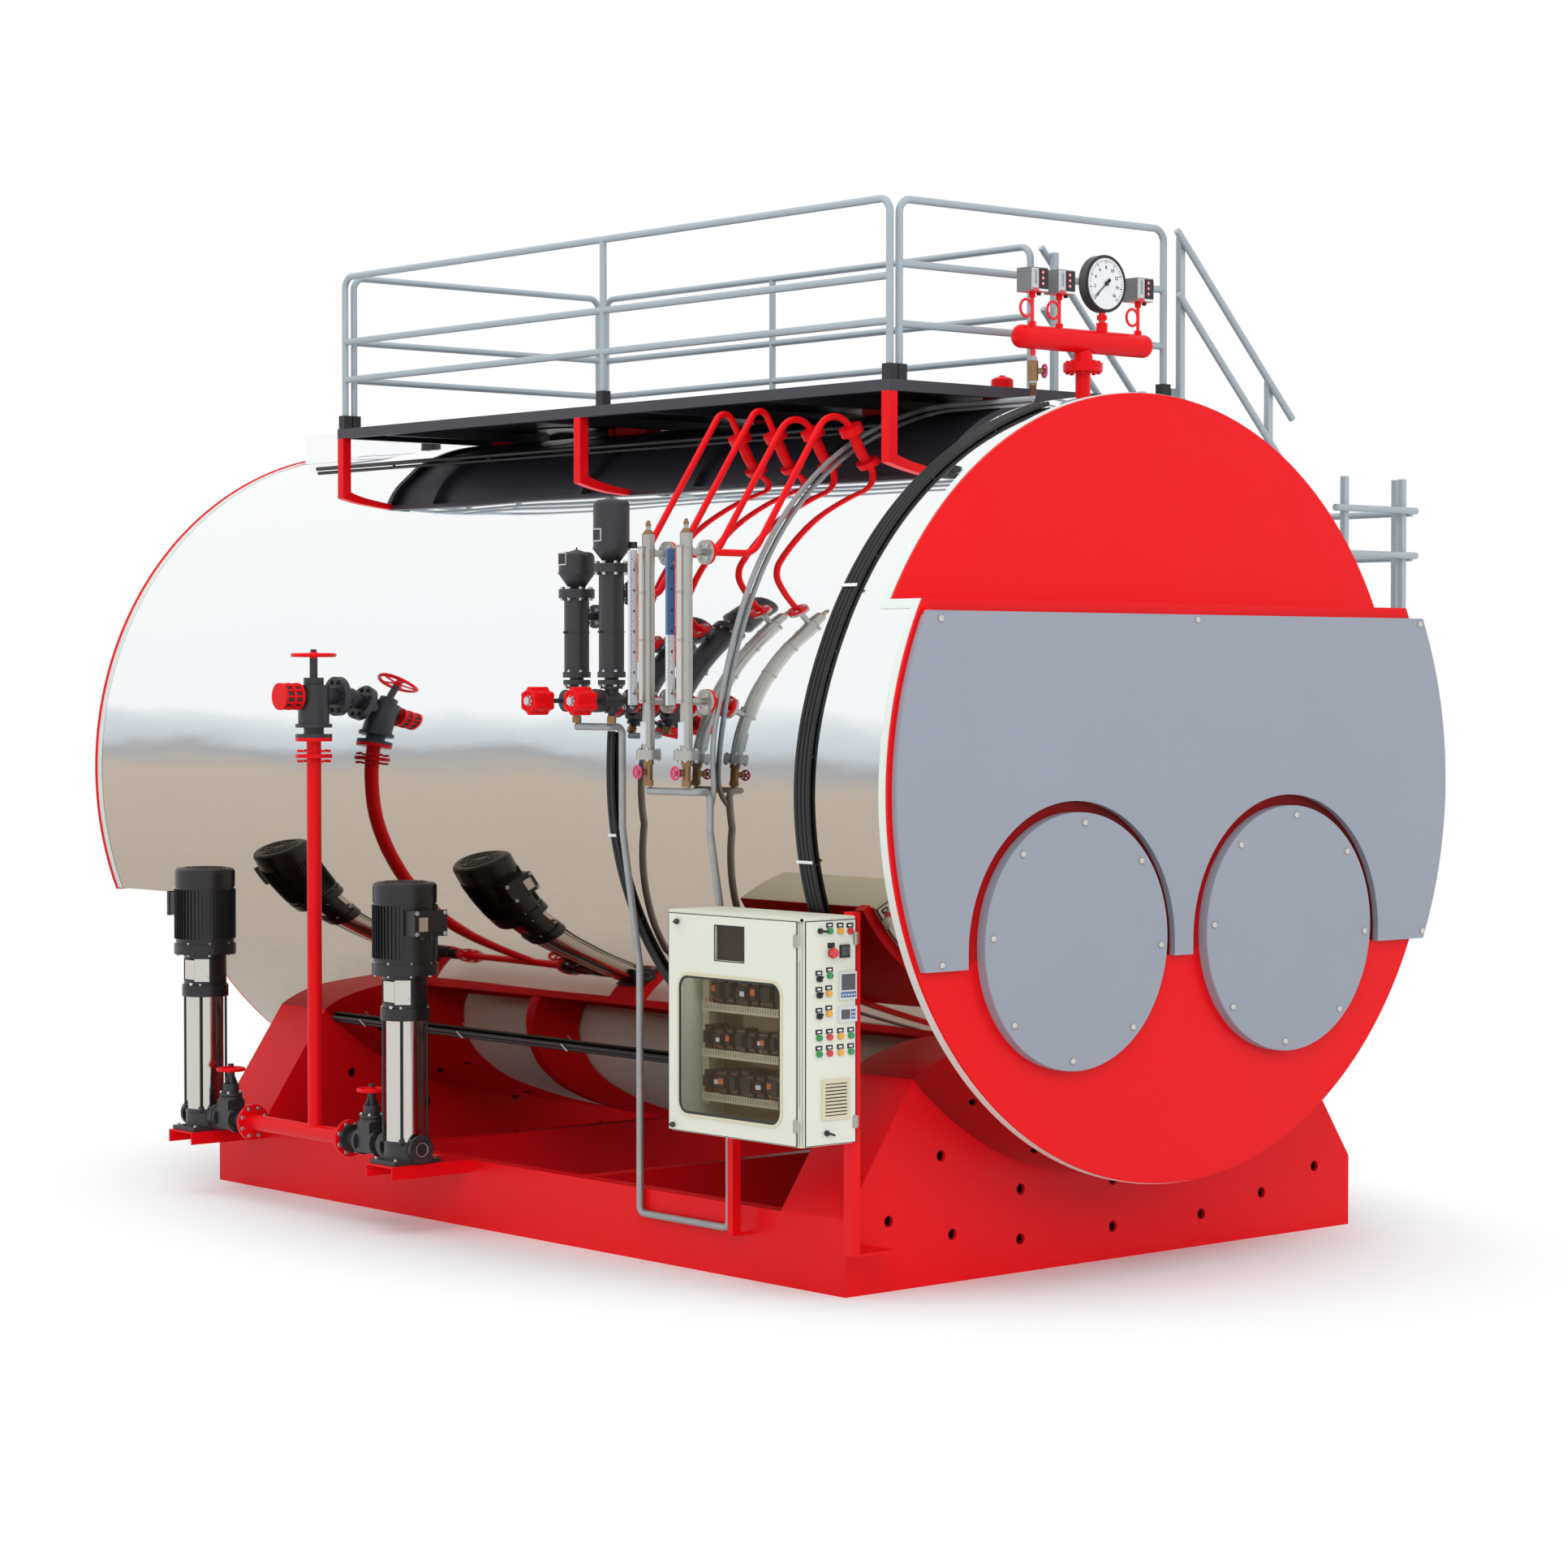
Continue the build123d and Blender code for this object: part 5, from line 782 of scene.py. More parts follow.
# Painted shade: bright red at the arch's left foot, dark maroon from its crown on.
gap_stops = ((0.0, srgb(200, 18, 24)), (0.62, srgb(92, 14, 16)))
recolour(materials["gap_painted_shade"], add_ramp(gap_tree, gap_parts.outputs["X"], gap_stops))
gap_face_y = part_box("smokebox_cover")[1].y
gap_from, gap_sweep, gap_steps = 186.0, 192.0, 48
gap_thickness = 0.001
shape = bmesh.new()
along_gap = shape.loops.layers.uv.new("UVMap")
for side in (-1, 1):
    rims = []
    for step in range(gap_steps + 1):
        turn = radians(gap_from - gap_sweep * step / gap_steps)
        inner = (side * furnace_x + 0.620 * cos(turn), furnace_z + 0.620 * sin(turn))
        outer = (side * 0.768 + 0.701 * cos(turn), 1.633 + 0.701 * sin(turn))
        rims.append([
            shape.verts.new((x, gap_face_y - lift, z))
            for x, z in (inner, outer) for lift in (0.0, gap_thickness)
        ])
    for step, (start, end) in enumerate(zip(rims, rims[1:])):
        for one, other in ((0, 1), (1, 3), (3, 2), (2, 0)):
            face = shape.faces.new((start[one], start[other], end[other], end[one]))
            for loop in face.loops:
                loop[along_gap].uv = ((step + (loop.vert in end)) / gap_steps, 0.5)
    for rim in (rims[0], rims[-1]):
        shape.faces.new([rim[number] for number in (0, 1, 3, 2)])
finish_piece("cover_gap_shades", shape, "gap_painted_shade")

# %% [markdown]
# The pressure gauge has a white dial with ticks and plain numbers, a black needle and a dark ring. The
# dial's marks could be a picture, but thin raised slips stay crisp close by and need no image.

# %% Dial and ring of the pressure gauge
gauge_low, gauge_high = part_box("pressure_gauge")
gauge_radius = (gauge_high.x - gauge_low.x) / 2
gauge_centre = Vector(((gauge_low.x + gauge_high.x) / 2, gauge_low.y, gauge_high.z - gauge_radius))
shape = bmesh.new()
add_bar(shape, gauge_centre, gauge_centre + Vector((0, -0.003, 0)), gauge_radius * 0.92, sides=64)
finish_piece("gauge_dial", shape, "dial_white")
shape = bmesh.new()
add_ring(shape, gauge_centre, forward, gauge_radius * 0.945, gauge_radius * 0.060, sides=64)
finish_piece("gauge_bezel", shape, "soft_black", sharp=60.0)

# %% [markdown]
# The scale sweeps three quarters of a turn, with a long tick at every fifth step. A helper finds the
# point that belongs to an angle, and another lays a flat slip between two points.

# %% Ticks and needle
dial_face = gauge_centre + Vector((0, -0.0035, 0))
scale_sweep = 270.0
scale_start = 225.0


def dial_point(angle, radius, lift=0.0):
    """A point on the dial at an angle counted from the left end of the scale."""
    turn = radians(scale_start - angle)
    return dial_face + Vector((radius * cos(turn), -lift, radius * sin(turn)))


def add_slip(target, start, end, width, depth):
    """A thin flat slip between two points on an upright face that looks forward."""
    along = (Vector(end) - Vector(start)).normalized()
    across = along.cross(Vector(forward)) * width / 2
    corners = [Vector(start) + across, Vector(end) + across, Vector(end) - across, Vector(start) - across]
    add_prism(target, corners, [corner + Vector(forward) * depth for corner in corners])


shape = bmesh.new()
tick_steps = 40
for step in range(tick_steps + 1):
    angle = scale_sweep * step / tick_steps
    reach, width = (0.70, 0.004) if step % 5 == 0 else (0.76, 0.002)
    tick_foot, tick_tip = dial_point(angle, gauge_radius * reach), dial_point(angle, gauge_radius * 0.83)
    add_slip(shape, tick_foot, tick_tip, width, 0.0008)
needle_angle = 4.0
needle_tail = dial_point(needle_angle, gauge_radius * -0.24, 0.004)
add_slip(shape, needle_tail, dial_point(needle_angle, gauge_radius * 0.74, 0.004), 0.005, 0.002)
add_slip(shape, needle_tail, dial_point(needle_angle, gauge_radius * -0.08, 0.004), 0.016, 0.002)
add_bar(shape, dial_face, dial_face + Vector((0, -0.010, 0)), 0.011)
finish_piece("gauge_marks", shape, "soft_black")

# %% [markdown]
# The numbers are Blender's own letters. A text object is made a mesh first and moved to its place
# after, so that its object stays at the origin like every other piece.

# %% Numbers on the dial
highest_number = 8
for number in range(highest_number + 1):
    text = bpy.data.curves.new("gauge_number", "FONT")
    text.body = str(number * 2)
    text.size = 0.026
    text.align_x = "CENTER"
    text.align_y = "CENTER"
    text.extrude = 0.0006
    label = bpy.data.objects.new("gauge_number_%d" % number, text)
    scene.collection.objects.link(label)
    mesh = bpy.data.meshes.new_from_object(label)
    bpy.data.objects.remove(label)
    place = dial_point(scale_sweep * number / highest_number, gauge_radius * 0.56, 0.0006)
    mesh.transform(Matrix.Translation(place) @ Matrix.Rotation(pi / 2, 4, "X"))
    mesh.materials.clear()
    mesh.materials.append(materials["soft_black"])
    label = bpy.data.objects.new("gauge_number_%d" % number, mesh)
    scene.collection.objects.link(label)
    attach(label, "boiler")
print("numbers on the dial", highest_number + 1)

# %% [markdown]
# The pressure switches are grey boxes. Each front has a bright plate with two slits and a dark panel
# with three red adjusters, and a cable gland sits under it. One loop does all three switches.

# %% Pressure switches
switch_rows = (-0.360, -0.170, 0.400)
switch_face_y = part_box("pressure_switches")[0].y
siphon_y = -0.005
plates, windows, dots, labels, strips = (bmesh.new() for _ in range(5))


def add_switch_block(target, left, low, right, high, rise, sink=0.0):
    """A flat block on the fronts' plane, between two heights above it."""
    add_block(target, (left, switch_face_y - rise, low), (right, switch_face_y - sink, high))


for switch_x in switch_rows:
    add_switch_block(plates, switch_x - 0.058, 4.853, switch_x - 0.006, 4.960, 0.003)
    add_switch_block(windows, switch_x - 0.004, 4.862, switch_x + 0.057, 4.958, 0.006)
    for slit_x in (switch_x - 0.034, switch_x - 0.024):
        add_switch_block(windows, slit_x, 4.880, slit_x + 0.0025, 4.950, 0.0035, 0.002)
    for dot_z in (4.884, 4.912, 4.940):
        dot = Vector((switch_x + 0.017, switch_face_y, dot_z))
        add_bar(dots, dot + Vector((0, -0.005, 0)), dot + Vector((0, -0.0085, 0)), 0.0095, sides=16)
        add_bar(strips, dot + Vector((0, -0.008, 0)), dot + Vector((0, -0.0095, 0)), 0.0045, sides=12)
    add_switch_block(labels, switch_x - 0.050, 4.846, switch_x - 0.010, 4.862, 0.004)
    add_switch_block(strips, switch_x - 0.004, 4.848, switch_x + 0.058, 4.858, 0.004)
    gland_x = switch_x + 0.046
    add_bar(windows, (gland_x, siphon_y, 4.832), (gland_x, siphon_y, 4.847), 0.012, sides=12)
finish_piece("switch_plates", plates, "bolt_steel")
finish_piece("switch_windows", windows, "soft_black")
finish_piece("switch_dots", dots, "lamp_red")
finish_piece("switch_labels", labels, "lamp_red")
finish_piece("switch_strips", strips, "dial_white")

# %% [markdown]
# The red header sits on a pair of round flanges with studs. Each siphon has a nut at its foot and one
# under its switch, and the gauge has two larger ones. Most of these parts stand on end, so a short
# helper makes an upright bar from a place and two heights.

# %% Studs and nuts of the header
def add_post(target, x, y, low, high, radius, far_radius=None, sides=24):
    """An upright round bar or cone between two heights."""
    add_bar(target, (x, y, low), (x, y, high), radius, far_radius, sides)


flange_places = both_faces((0.0, siphon_y, 4.490), (0, 0, 1), 0.044, 0.078, 8)
set_heads("header_flange_bolts", flange_places, 0.011, 0.012, "red_paint")
shape = bmesh.new()
for nut_x in switch_rows:
    add_post(shape, nut_x, siphon_y, 4.672, 4.700, 0.020, sides=6)
    add_post(shape, nut_x, siphon_y, 4.818, 4.846, 0.017, sides=6)
add_post(shape, gauge_centre.x, siphon_y, 4.672, 4.722, 0.030, sides=6)
add_post(shape, gauge_centre.x, siphon_y, 4.738, 4.762, 0.027, sides=6)
add_post(shape, 0.0, siphon_y, 4.508, 4.566, 0.052, far_radius=0.046)
finish_piece("header_nuts", shape, "red_paint")

# %% [markdown]
# The header drains through a brass valve with a pink hand wheel. The same wheel, a little smaller,
# turns up on the level gauges, so it is a helper of its own.

# %% Drain valve of the header, and the probe's cap
def add_spoked_wheel(target, centre, axis, radius, tube, hub_end):
    """A small hand wheel: a round rim, a hub and five spokes."""
    axis = Vector(axis).normalized()
    add_ring(target, centre, axis, radius, tube, sides=24, round_sides=8)
    add_bar(target, centre - axis * 0.006, centre + axis * hub_end, 0.010)
    for spoke in range(5):
        angle = 2 * pi * spoke / 5
        tip = centre + frame_of(axis) @ Vector((radius * cos(angle), radius * sin(angle), 0.0))
        add_bar(target, centre, tip, 0.004, sides=8)


drain_x, valve_z = -0.355, 4.455
shape = bmesh.new()
add_post(shape, drain_x, siphon_y, valve_z - 0.050, valve_z + 0.050, 0.027, sides=8)
add_bar(shape, (drain_x, siphon_y, valve_z), (-0.295, -0.030, valve_z), 0.015)
add_post(shape, drain_x, siphon_y, valve_z - 0.075, valve_z - 0.050, 0.021, sides=6)
finish_piece("header_drain_valve", shape, "brass")
shape = bmesh.new()
add_post(shape, drain_x, siphon_y, valve_z - 0.125, valve_z - 0.075, 0.0175)
finish_piece("header_drain_nipple", shape, "drain_brown")
shape = bmesh.new()
add_spoked_wheel(shape, Vector((-0.298, -0.029, valve_z)), (0.060, -0.025, 0.0), 0.031, 0.006, 0.010)
finish_piece("header_drain_wheel", shape, "pink_wheel", sharp=60.0)
probe_low, probe_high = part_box("probe_stub")
probe_middle = (probe_low + probe_high) / 2
shape = bmesh.new()
add_dome(shape, (probe_middle.x, probe_middle.y, probe_high.z), (0, 0, 1), 0.052, 0.016)
add_post(shape, probe_middle.x, probe_middle.y, probe_high.z, probe_high.z + 0.022, 0.016, sides=6)
finish_piece("probe_cap", shape, "red_paint")

# %% [markdown]
# Four level devices stand on the left side: two steel columns with a magnetic scale, and two black
# float chambers with a round head. All hang on flanged taps at the drum. The columns come first, with
# their vents on top, the slim tube in front and the clips that hold it.

# %% Level gauges: columns and tubes
gauge_x = -2.100
gauge_rows = (0.885, 0.595)
upper_tap_z, lower_tap_z = 3.530, 2.810
flange_joint_x = -1.975
flange_bolts = []
vents, tubes, taps = (bmesh.new() for _ in range(3))
for gauge_y in gauge_rows:
    for tap_z in (upper_tap_z, lower_tap_z):
        flange_bolts += both_faces((flange_joint_x, gauge_y, tap_z), (1, 0, 0), 0.034, 0.044, 4, 45.0)
    flange_bolts += both_faces((gauge_x, gauge_y, 2.550), (0, 0, 1), 0.050, 0.048, 4, 45.0)
    add_post(taps, gauge_x, gauge_y, 3.620, 3.642, 0.031, far_radius=0.016)
    add_post(vents, gauge_x, gauge_y, 3.642, 3.662, 0.012)
    add_post(taps, gauge_x, gauge_y, 3.660, 3.676, 0.014, sides=6)
    add_post(taps, gauge_x, gauge_y, 3.676, 3.688, 0.009)
    tube_x, tube_y = gauge_x - 0.040, gauge_y + 0.004
    add_post(tubes, tube_x, tube_y, 2.800, 3.560, 0.016)
    for clip_z in (2.805, 3.100, 3.330, 3.550):
        add_post(vents, tube_x, tube_y, clip_z, clip_z + 0.012, 0.020)
        add_ring(vents, (gauge_x, gauge_y, clip_z), (0, 0, 1), 0.032, 0.003, sides=28, round_sides=6)
finish_piece("gauge_vents", vents, "gauge_steel", sharp=50.0)
finish_piece("gauge_tubes", tubes, "stainless")

# %% [markdown]
# Each scale is a white strip with fine black ticks, and beside it a row of red flaps that the float
# turns over. One of the two is blue above the water line. The ticks are thin blocks: drawn in a
# material they would need a picture or a pattern that has to meet the strip's ends exactly.

# %% Level gauges: scales, ticks and flaps
scale_low, scale_high, scale_width = 2.792, 3.543, 0.045
blue_starts = (scale_high, 3.130)
cream_scale, blue_scale, ticks, red_flaps = (bmesh.new() for _ in range(4))


def add_scale(target, left, face, low, high):
    """A stretch of scale: a strip on the face and a narrow one round its left edge."""
    add_block(target, (left, face - 0.0015, low), (left + scale_width, face, high))
    add_block(target, (left - 0.0015, face, low), (left, face + 0.016, high))


for gauge_y, blue_from in zip(gauge_rows, blue_starts):
    scale_face = gauge_y + 0.052
    scale_left = gauge_x - 0.0725
    add_scale(cream_scale, scale_left, scale_face, scale_low, blue_from)
    if blue_from < scale_high:
        add_scale(blue_scale, scale_left, scale_face, blue_from, scale_high)
    tick_back, tick_front = scale_face - 0.0014, scale_face - 0.0022
    for step in range(74):
        height = 2.798 + step * 0.010
        left = scale_left + 0.001
        reach = 0.014 if step % 5 == 0 else 0.008
        add_block(ticks, (left, tick_front, height), (left + reach, tick_back, height + 0.0022))
        if step % 10 == 5:
            left = scale_left + 0.020
            add_block(ticks, (left, tick_front, height - 0.006), (left + 0.008, tick_back, height + 0.008))
    for step in range(44):
        height = 3.000 + step * 0.012
        flap_low = (gauge_x - 0.0535, gauge_y + 0.012, height)
        add_block(red_flaps, flap_low, (gauge_x - 0.047, gauge_y + 0.023, height + 0.009))
    low_corner = (gauge_x - 0.036, gauge_y - 0.020, 2.600)
    add_block(cream_scale, low_corner, (gauge_x - 0.026, gauge_y + 0.020, 2.710))
finish_piece("gauge_scales_cream", cream_scale, "scale_white")
finish_piece("gauge_scale_blue", blue_scale, "scale_blue")
finish_piece("gauge_ticks", ticks, "soft_black")
finish_piece("gauge_flaps", red_flaps, "lamp_red")

# %% [markdown]
# Under each column hangs a brass drain valve: a body, two nuts, a spindle that points away from the
# drum and a pink hand wheel. Bars with six or twelve sides make the body and its nuts. At a few
# centimetres across, the finer curves of a casting wouldn't show.

# %% Level gauges: drain valves
tap_valve_z = 2.465
tap_wheels = bmesh.new()
for gauge_y in gauge_rows:
    add_post(taps, gauge_x, gauge_y, 2.425, 2.520, 0.021, sides=12)
    add_post(taps, gauge_x, gauge_y, 2.500, 2.524, 0.026, sides=6)
    add_post(taps, gauge_x, gauge_y, 2.398, 2.425, 0.024, sides=6)
    spindle = Vector((gauge_x, gauge_y, tap_valve_z))
    add_bar(taps, spindle, spindle + Vector((-0.066, 0, 0)), 0.014)
    add_bar(taps, spindle + Vector((-0.034, 0, 0)), spindle + Vector((-0.048, 0, 0)), 0.019, sides=6)
    add_spoked_wheel(tap_wheels, spindle + Vector((-0.070, 0, 0)), (1, 0, 0), 0.030, 0.0055, 0.008)
finish_piece("gauge_taps", taps, "brass")
finish_piece("gauge_tap_wheels", tap_wheels, "pink_wheel", sharp=60.0)
set_heads("gauge_flange_bolts", flange_bolts, 0.0085, 0.008, "bolt_steel")

# %% [markdown]
# The two controllers are cast chambers of different height, each with a bulging head that holds its
# switches. The solids give the plain cylinders. Cones under and over the head, collars at the valve,
# a lug and a gland make them read as castings.

# %% Level controllers: collars, cones and bolts
controller_rows = (1.455, 1.175)
head_flange_heights = (3.343, 3.465)
head_lows = (3.440, 3.555)
head_highs = (3.550, 3.800)
upper_port_heights = (3.231, 3.341)
valve_joint_z = 2.922
controller_bolts = []
castings = bmesh.new()
for number, controller_y in enumerate(controller_rows):
    flange_z, head_low, head_high = head_flange_heights[number], head_lows[number], head_highs[number]
    add_post(castings, gauge_x, controller_y, flange_z + 0.024, head_low, 0.038, far_radius=0.0895, sides=40)
    add_post(castings, gauge_x, controller_y, head_low, head_low + 0.012, 0.0925, sides=40)
    add_post(castings, gauge_x, controller_y, head_high - 0.012, head_high + 0.012, 0.080, 0.010, sides=40)
    add_post(castings, gauge_x, controller_y, head_high, head_high + 0.024, 0.004)
    add_ring(castings, (gauge_x, controller_y, 3.150), (0, 0, 1), 0.0635, 0.003, round_sides=6)
    lug_low = (gauge_x - 0.080, controller_y - 0.008, 3.144)
    add_block(castings, lug_low, (gauge_x - 0.060, controller_y + 0.008, 3.156))
    add_post(castings, gauge_x, controller_y, 2.953, 2.985, 0.052, far_radius=0.0625, sides=32)
    add_post(castings, gauge_x, controller_y, 2.925, 2.953, 0.070, sides=32)
    add_post(castings, gauge_x, controller_y, 2.890, 2.914, 0.068, sides=32)
    gland = Vector((gauge_x + 0.078, controller_y - 0.066, head_low + 0.022))
    gland_half = Vector((0.018, 0.018, 0.016))
    add_block(castings, gland - gland_half, gland + gland_half)
    controller_bolts += both_faces((gauge_x, controller_y, flange_z), (0, 0, 1), 0.046, 0.076, 8, 22.5)
    controller_bolts += both_faces((gauge_x, controller_y, valve_joint_z), (0, 0, 1), 0.062, 0.056, 6, 10.0)
    for tap_z in (upper_port_heights[number], lower_tap_z):
        port_place = (flange_joint_x, controller_y, tap_z)
        controller_bolts += both_faces(port_place, (1, 0, 0), 0.034, 0.044, 4, 45.0)
finish_piece("controller_trims", castings, "cast_black", sharp=50.0)

# %% [markdown]
# A bare data plate with a dark field is riveted to each head, and a brass nut closes each drain. The
# field is a second thin block, a little proud of the plate, because two faces in one plane flicker.

# %% Level controllers: data plates and drain nuts
plates, plate_marks, nuts = (bmesh.new() for _ in range(3))
for controller_y, head_low, plate_rise in zip(controller_rows, head_lows, (0.075, 0.070)):
    plate_z = head_low + plate_rise
    for target, back, front, half in ((plates, 0.080, 0.0925, 0.032), (plate_marks, 0.0915, 0.0935, 0.026)):
        low_corner = (gauge_x - front, controller_y - half, plate_z - half)
        add_block(target, low_corner, (gauge_x - back, controller_y + half, plate_z + half))
    add_post(nuts, gauge_x, controller_y, 2.700, 2.735, 0.023, sides=6)
finish_piece("controller_plates", plates, "bolt_steel")
finish_piece("controller_plate_marks", plate_marks, "soft_black")
finish_piece("controller_drain_nuts", nuts, "brass")
set_heads("controller_bolts", controller_bolts, 0.0095, 0.011, "bolt_steel")

# %% [markdown]
# The red drums are hand wheels: six lobes on a wide hub. Each gets a nut and washer on its spindle and
# a raised rim, and these ride with the wheel, so that they turn with it.

# %% Nuts and rims of the lobed wheels
lobed_wheels = (
    ("level_valve_wheel_1", "level_wheel_rear", controller_rows[0]),
    ("level_valve_wheel_2", "level_wheel_front", controller_rows[1]),
)
for wheel_node, wheel_body, wheel_y in lobed_wheels:
    wheel_face = Vector((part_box(wheel_node)[0].x, wheel_y, lower_tap_z))
    shape = bmesh.new()
    add_bar(shape, wheel_face + Vector((-0.002, 0, 0)), wheel_face + Vector((-0.0165, 0, 0)), 0.0225, sides=6)
    add_bar(shape, wheel_face + Vector((0.001, 0, 0)), wheel_face + Vector((-0.003, 0, 0)), 0.027)
    finish_piece(wheel_node + "_nut", shape, "bolt_steel", body=wheel_body)
    shape = bmesh.new()
    rim_middle = wheel_face + Vector((-0.001, 0, 0))
    add_ring(shape, rim_middle, (1, 0, 0), 0.052, 0.006, sides=40, round_sides=8)
    for rib in range(3):
        angle = radians(60 * rib + 30)
        reach = Vector((0.0, 0.050 * cos(angle), 0.050 * sin(angle)))
        add_bar(shape, rim_middle - reach, rim_middle - reach * 0.4, 0.005, sides=8)
        add_bar(shape, rim_middle + reach * 0.4, rim_middle + reach, 0.005, sides=8)
    for groove_x in (0.030, 0.080):
        groove = wheel_face + Vector((groove_x, 0, 0))
        add_ring(shape, groove, (1, 0, 0), 0.0605, 0.003, sides=40, round_sides=6)
    finish_piece(wheel_node + "_rim", shape, "red_paint", body=wheel_body, sharp=60.0)

# %% [markdown]
# The feed line starts at two pumps, passes a gate valve each, and rises to a stop valve at the drum. A
# gate valve's spindle runs through an open yoke of two arms. The arms lean in towards the top, where a
# collar guides the spindle.

# %% Feed line: valve yokes
pump_x = -2.140
feed_z = 0.442
gate_rows = (3.202, 4.595)
yokes = bmesh.new()
for gate_y in gate_rows:
    for way in (-1, 1):
        elbow = (pump_x + way * 0.034, gate_y, 0.640)
        add_bar(yokes, (pump_x + way * 0.040, gate_y, 0.585), elbow, 0.009)
        add_bar(yokes, elbow, (pump_x + way * 0.012, gate_y, 0.690), 0.009)
    add_post(yokes, pump_x, gate_y, 0.552, 0.568, 0.066, sides=32)
    add_post(yokes, pump_x, gate_y, 0.572, 0.588, 0.064, sides=32)
    add_post(yokes, pump_x, gate_y, 0.682, 0.698, 0.018)
finish_piece("gate_valve_yokes", yokes, "cast_black")

# %% [markdown]
# Every flange of the line has its studs. Their colour tells the parts apart: bright steel on the
# valves, red where the line was painted whole, and black at the stop valve.

# %% Feed line: flange studs
riser_y = 3.745
stop_valve_z = 2.825
steel_bolts = []
red_bolts = []
for flange_y, outward in ((3.400, -1), (4.379, 1)):
    steel_bolts += circle_of((pump_x, flange_y, feed_z), (0, outward, 0), 0.080, 8, 22.5)
    steel_bolts += circle_of((pump_x, flange_y - outward * 0.020, feed_z), (0, -outward, 0), 0.080, 8, 22.5)
for flange_z in (2.500, 2.637):
    red_bolts += both_faces((pump_x, riser_y, flange_z), (0, 0, 1), 0.046, 0.082, 8)
black_bolts = both_faces((-1.985, riser_y, stop_valve_z), (1, 0, 0), 0.042, 0.082, 8, 22.5)
for gate_y in gate_rows:
    for way in (-1, 1):
        steel_bolts += circle_of((pump_x, gate_y + way * 0.0645, feed_z), (0, -way, 0), 0.060, 4, 45.0)
        black_bolts += circle_of((pump_x, gate_y + way * 0.0855, feed_z), (0, way, 0), 0.060, 4, 45.0)
    steel_bolts += both_faces((pump_x, gate_y, 0.570), (0, 0, 1), 0.036, 0.054, 4, 45.0)
set_heads("feed_bolts_steel", steel_bolts, 0.0105, 0.011, "bolt_steel")
set_heads("feed_bolts_red", red_bolts, 0.0115, 0.012, "red_paint")
set_heads("feed_bolts_black", black_bolts, 0.0115, 0.012, "cast_black")

# %% [markdown]
# The lobed drum at the stop valve has three bands and twelve ribs. The bands are short wide bars on
# its axis and the ribs are thin bars beside it, so nothing has to be cut.

# %% Feed line: the stop valve's drum
drum_face = Vector((-2.362, riser_y, stop_valve_z))
shape = bmesh.new()
for band_from, band_to in ((0.052, 0.068), (-0.001, 0.012), (0.104, 0.120)):
    band_start, band_end = drum_face + Vector((band_from, 0, 0)), drum_face + Vector((band_to, 0, 0))
    add_bar(shape, band_start, band_end, 0.074, sides=40)
for rib in range(12):
    angle = radians(30 * rib)
    foot = drum_face + Vector((0.004, 0.0665 * cos(angle), 0.0665 * sin(angle)))
    add_bar(shape, foot, foot + Vector((0.112, 0, 0)), 0.006, sides=10)
finish_piece("stop_valve_drum", shape, "red_paint")

# %% [markdown]
# Each pump is a stack: a cast foot, a bright sleeve, a lantern and a motor. Four long rods clamp the
# sleeve between foot and lantern, and bolts show at every joint.

# %% Pumps: rods and bolts
pump_rows = ((2.890, -1), (4.860, 1))
rod_circle = 0.117
pump_bolts = []
rods = bmesh.new()
for pump_y, outward in pump_rows:
    for corner in range(4):
        angle = radians(45 + 90 * corner)
        rod_x, rod_y = pump_x + rod_circle * cos(angle), pump_y + rod_circle * sin(angle)
        add_post(rods, rod_x, rod_y, 0.470, 1.130, 0.0075, sides=16)
        add_post(rods, rod_x, rod_y, 0.474, 0.496, 0.015, sides=6)
        pump_bolts.append((Vector((rod_x, rod_y, 1.186)), (0, 0, 1)))
    for foot_x in (-0.125, 0.125):
        for foot_y in (-0.088, 0.088):
            pump_bolts.append((Vector((pump_x + foot_x, pump_y + foot_y, 0.385)), (0, 0, 1)))
    pump_bolts += both_faces((pump_x, pump_y, 1.390), (0, 0, 1), 0.058, 0.158, 8, 22.5)
    add_post(rods, pump_x, pump_y, 0.462, 0.481, 0.116, far_radius=0.108, sides=40)
print("bolts on the pumps so far", len(pump_bolts))

# %% [markdown]
# Motors shed their heat through upright ribs all round, except where the terminal box sits. A rib is a
# slim wedge, thinner outside than in, as a casting comes out of its mould. The fan cover on top has
# rings and spokes.

# %% Pumps: motor ribs and fan grilles
rib_count = 48
rib_low, rib_high = 1.448, 1.728
fan_cover_top = 1.849
ribs = bmesh.new()
for pump_y, outward in pump_rows:
    middle = Vector((pump_x, pump_y, 0.0))
    for rib in range(rib_count):
        angle = 2 * pi * rib / rib_count
        if sin(angle) * outward > 0.80:
            continue
        reach = Vector((cos(angle), sin(angle), 0.0))
        inner, outer = middle + reach * 0.160, middle + reach * 0.174
        side = Vector((-sin(angle), cos(angle), 0.0)) * 0.0018
        corners = (inner + side, outer + side * 0.6, outer - side * 0.6, inner - side)
        rib_ends = [[corner + Vector((0, 0, height)) for corner in corners] for height in (rib_low, rib_high)]
        add_prism(ribs, *rib_ends)
    fan_middle = Vector((pump_x, pump_y, fan_cover_top))
    for ring_radius in (0.045, 0.080, 0.115):
        add_ring(rods, fan_middle, (0, 0, 1), ring_radius, 0.0035, sides=48, round_sides=6)
    for spoke in range(8):
        angle = radians(45 * spoke)
        reach = Vector((cos(angle), sin(angle), 0.0))
        add_bar(rods, fan_middle + reach * 0.040, fan_middle + reach * 0.120, 0.003, sides=8)
print("corners of the motor ribs", len(ribs.verts))

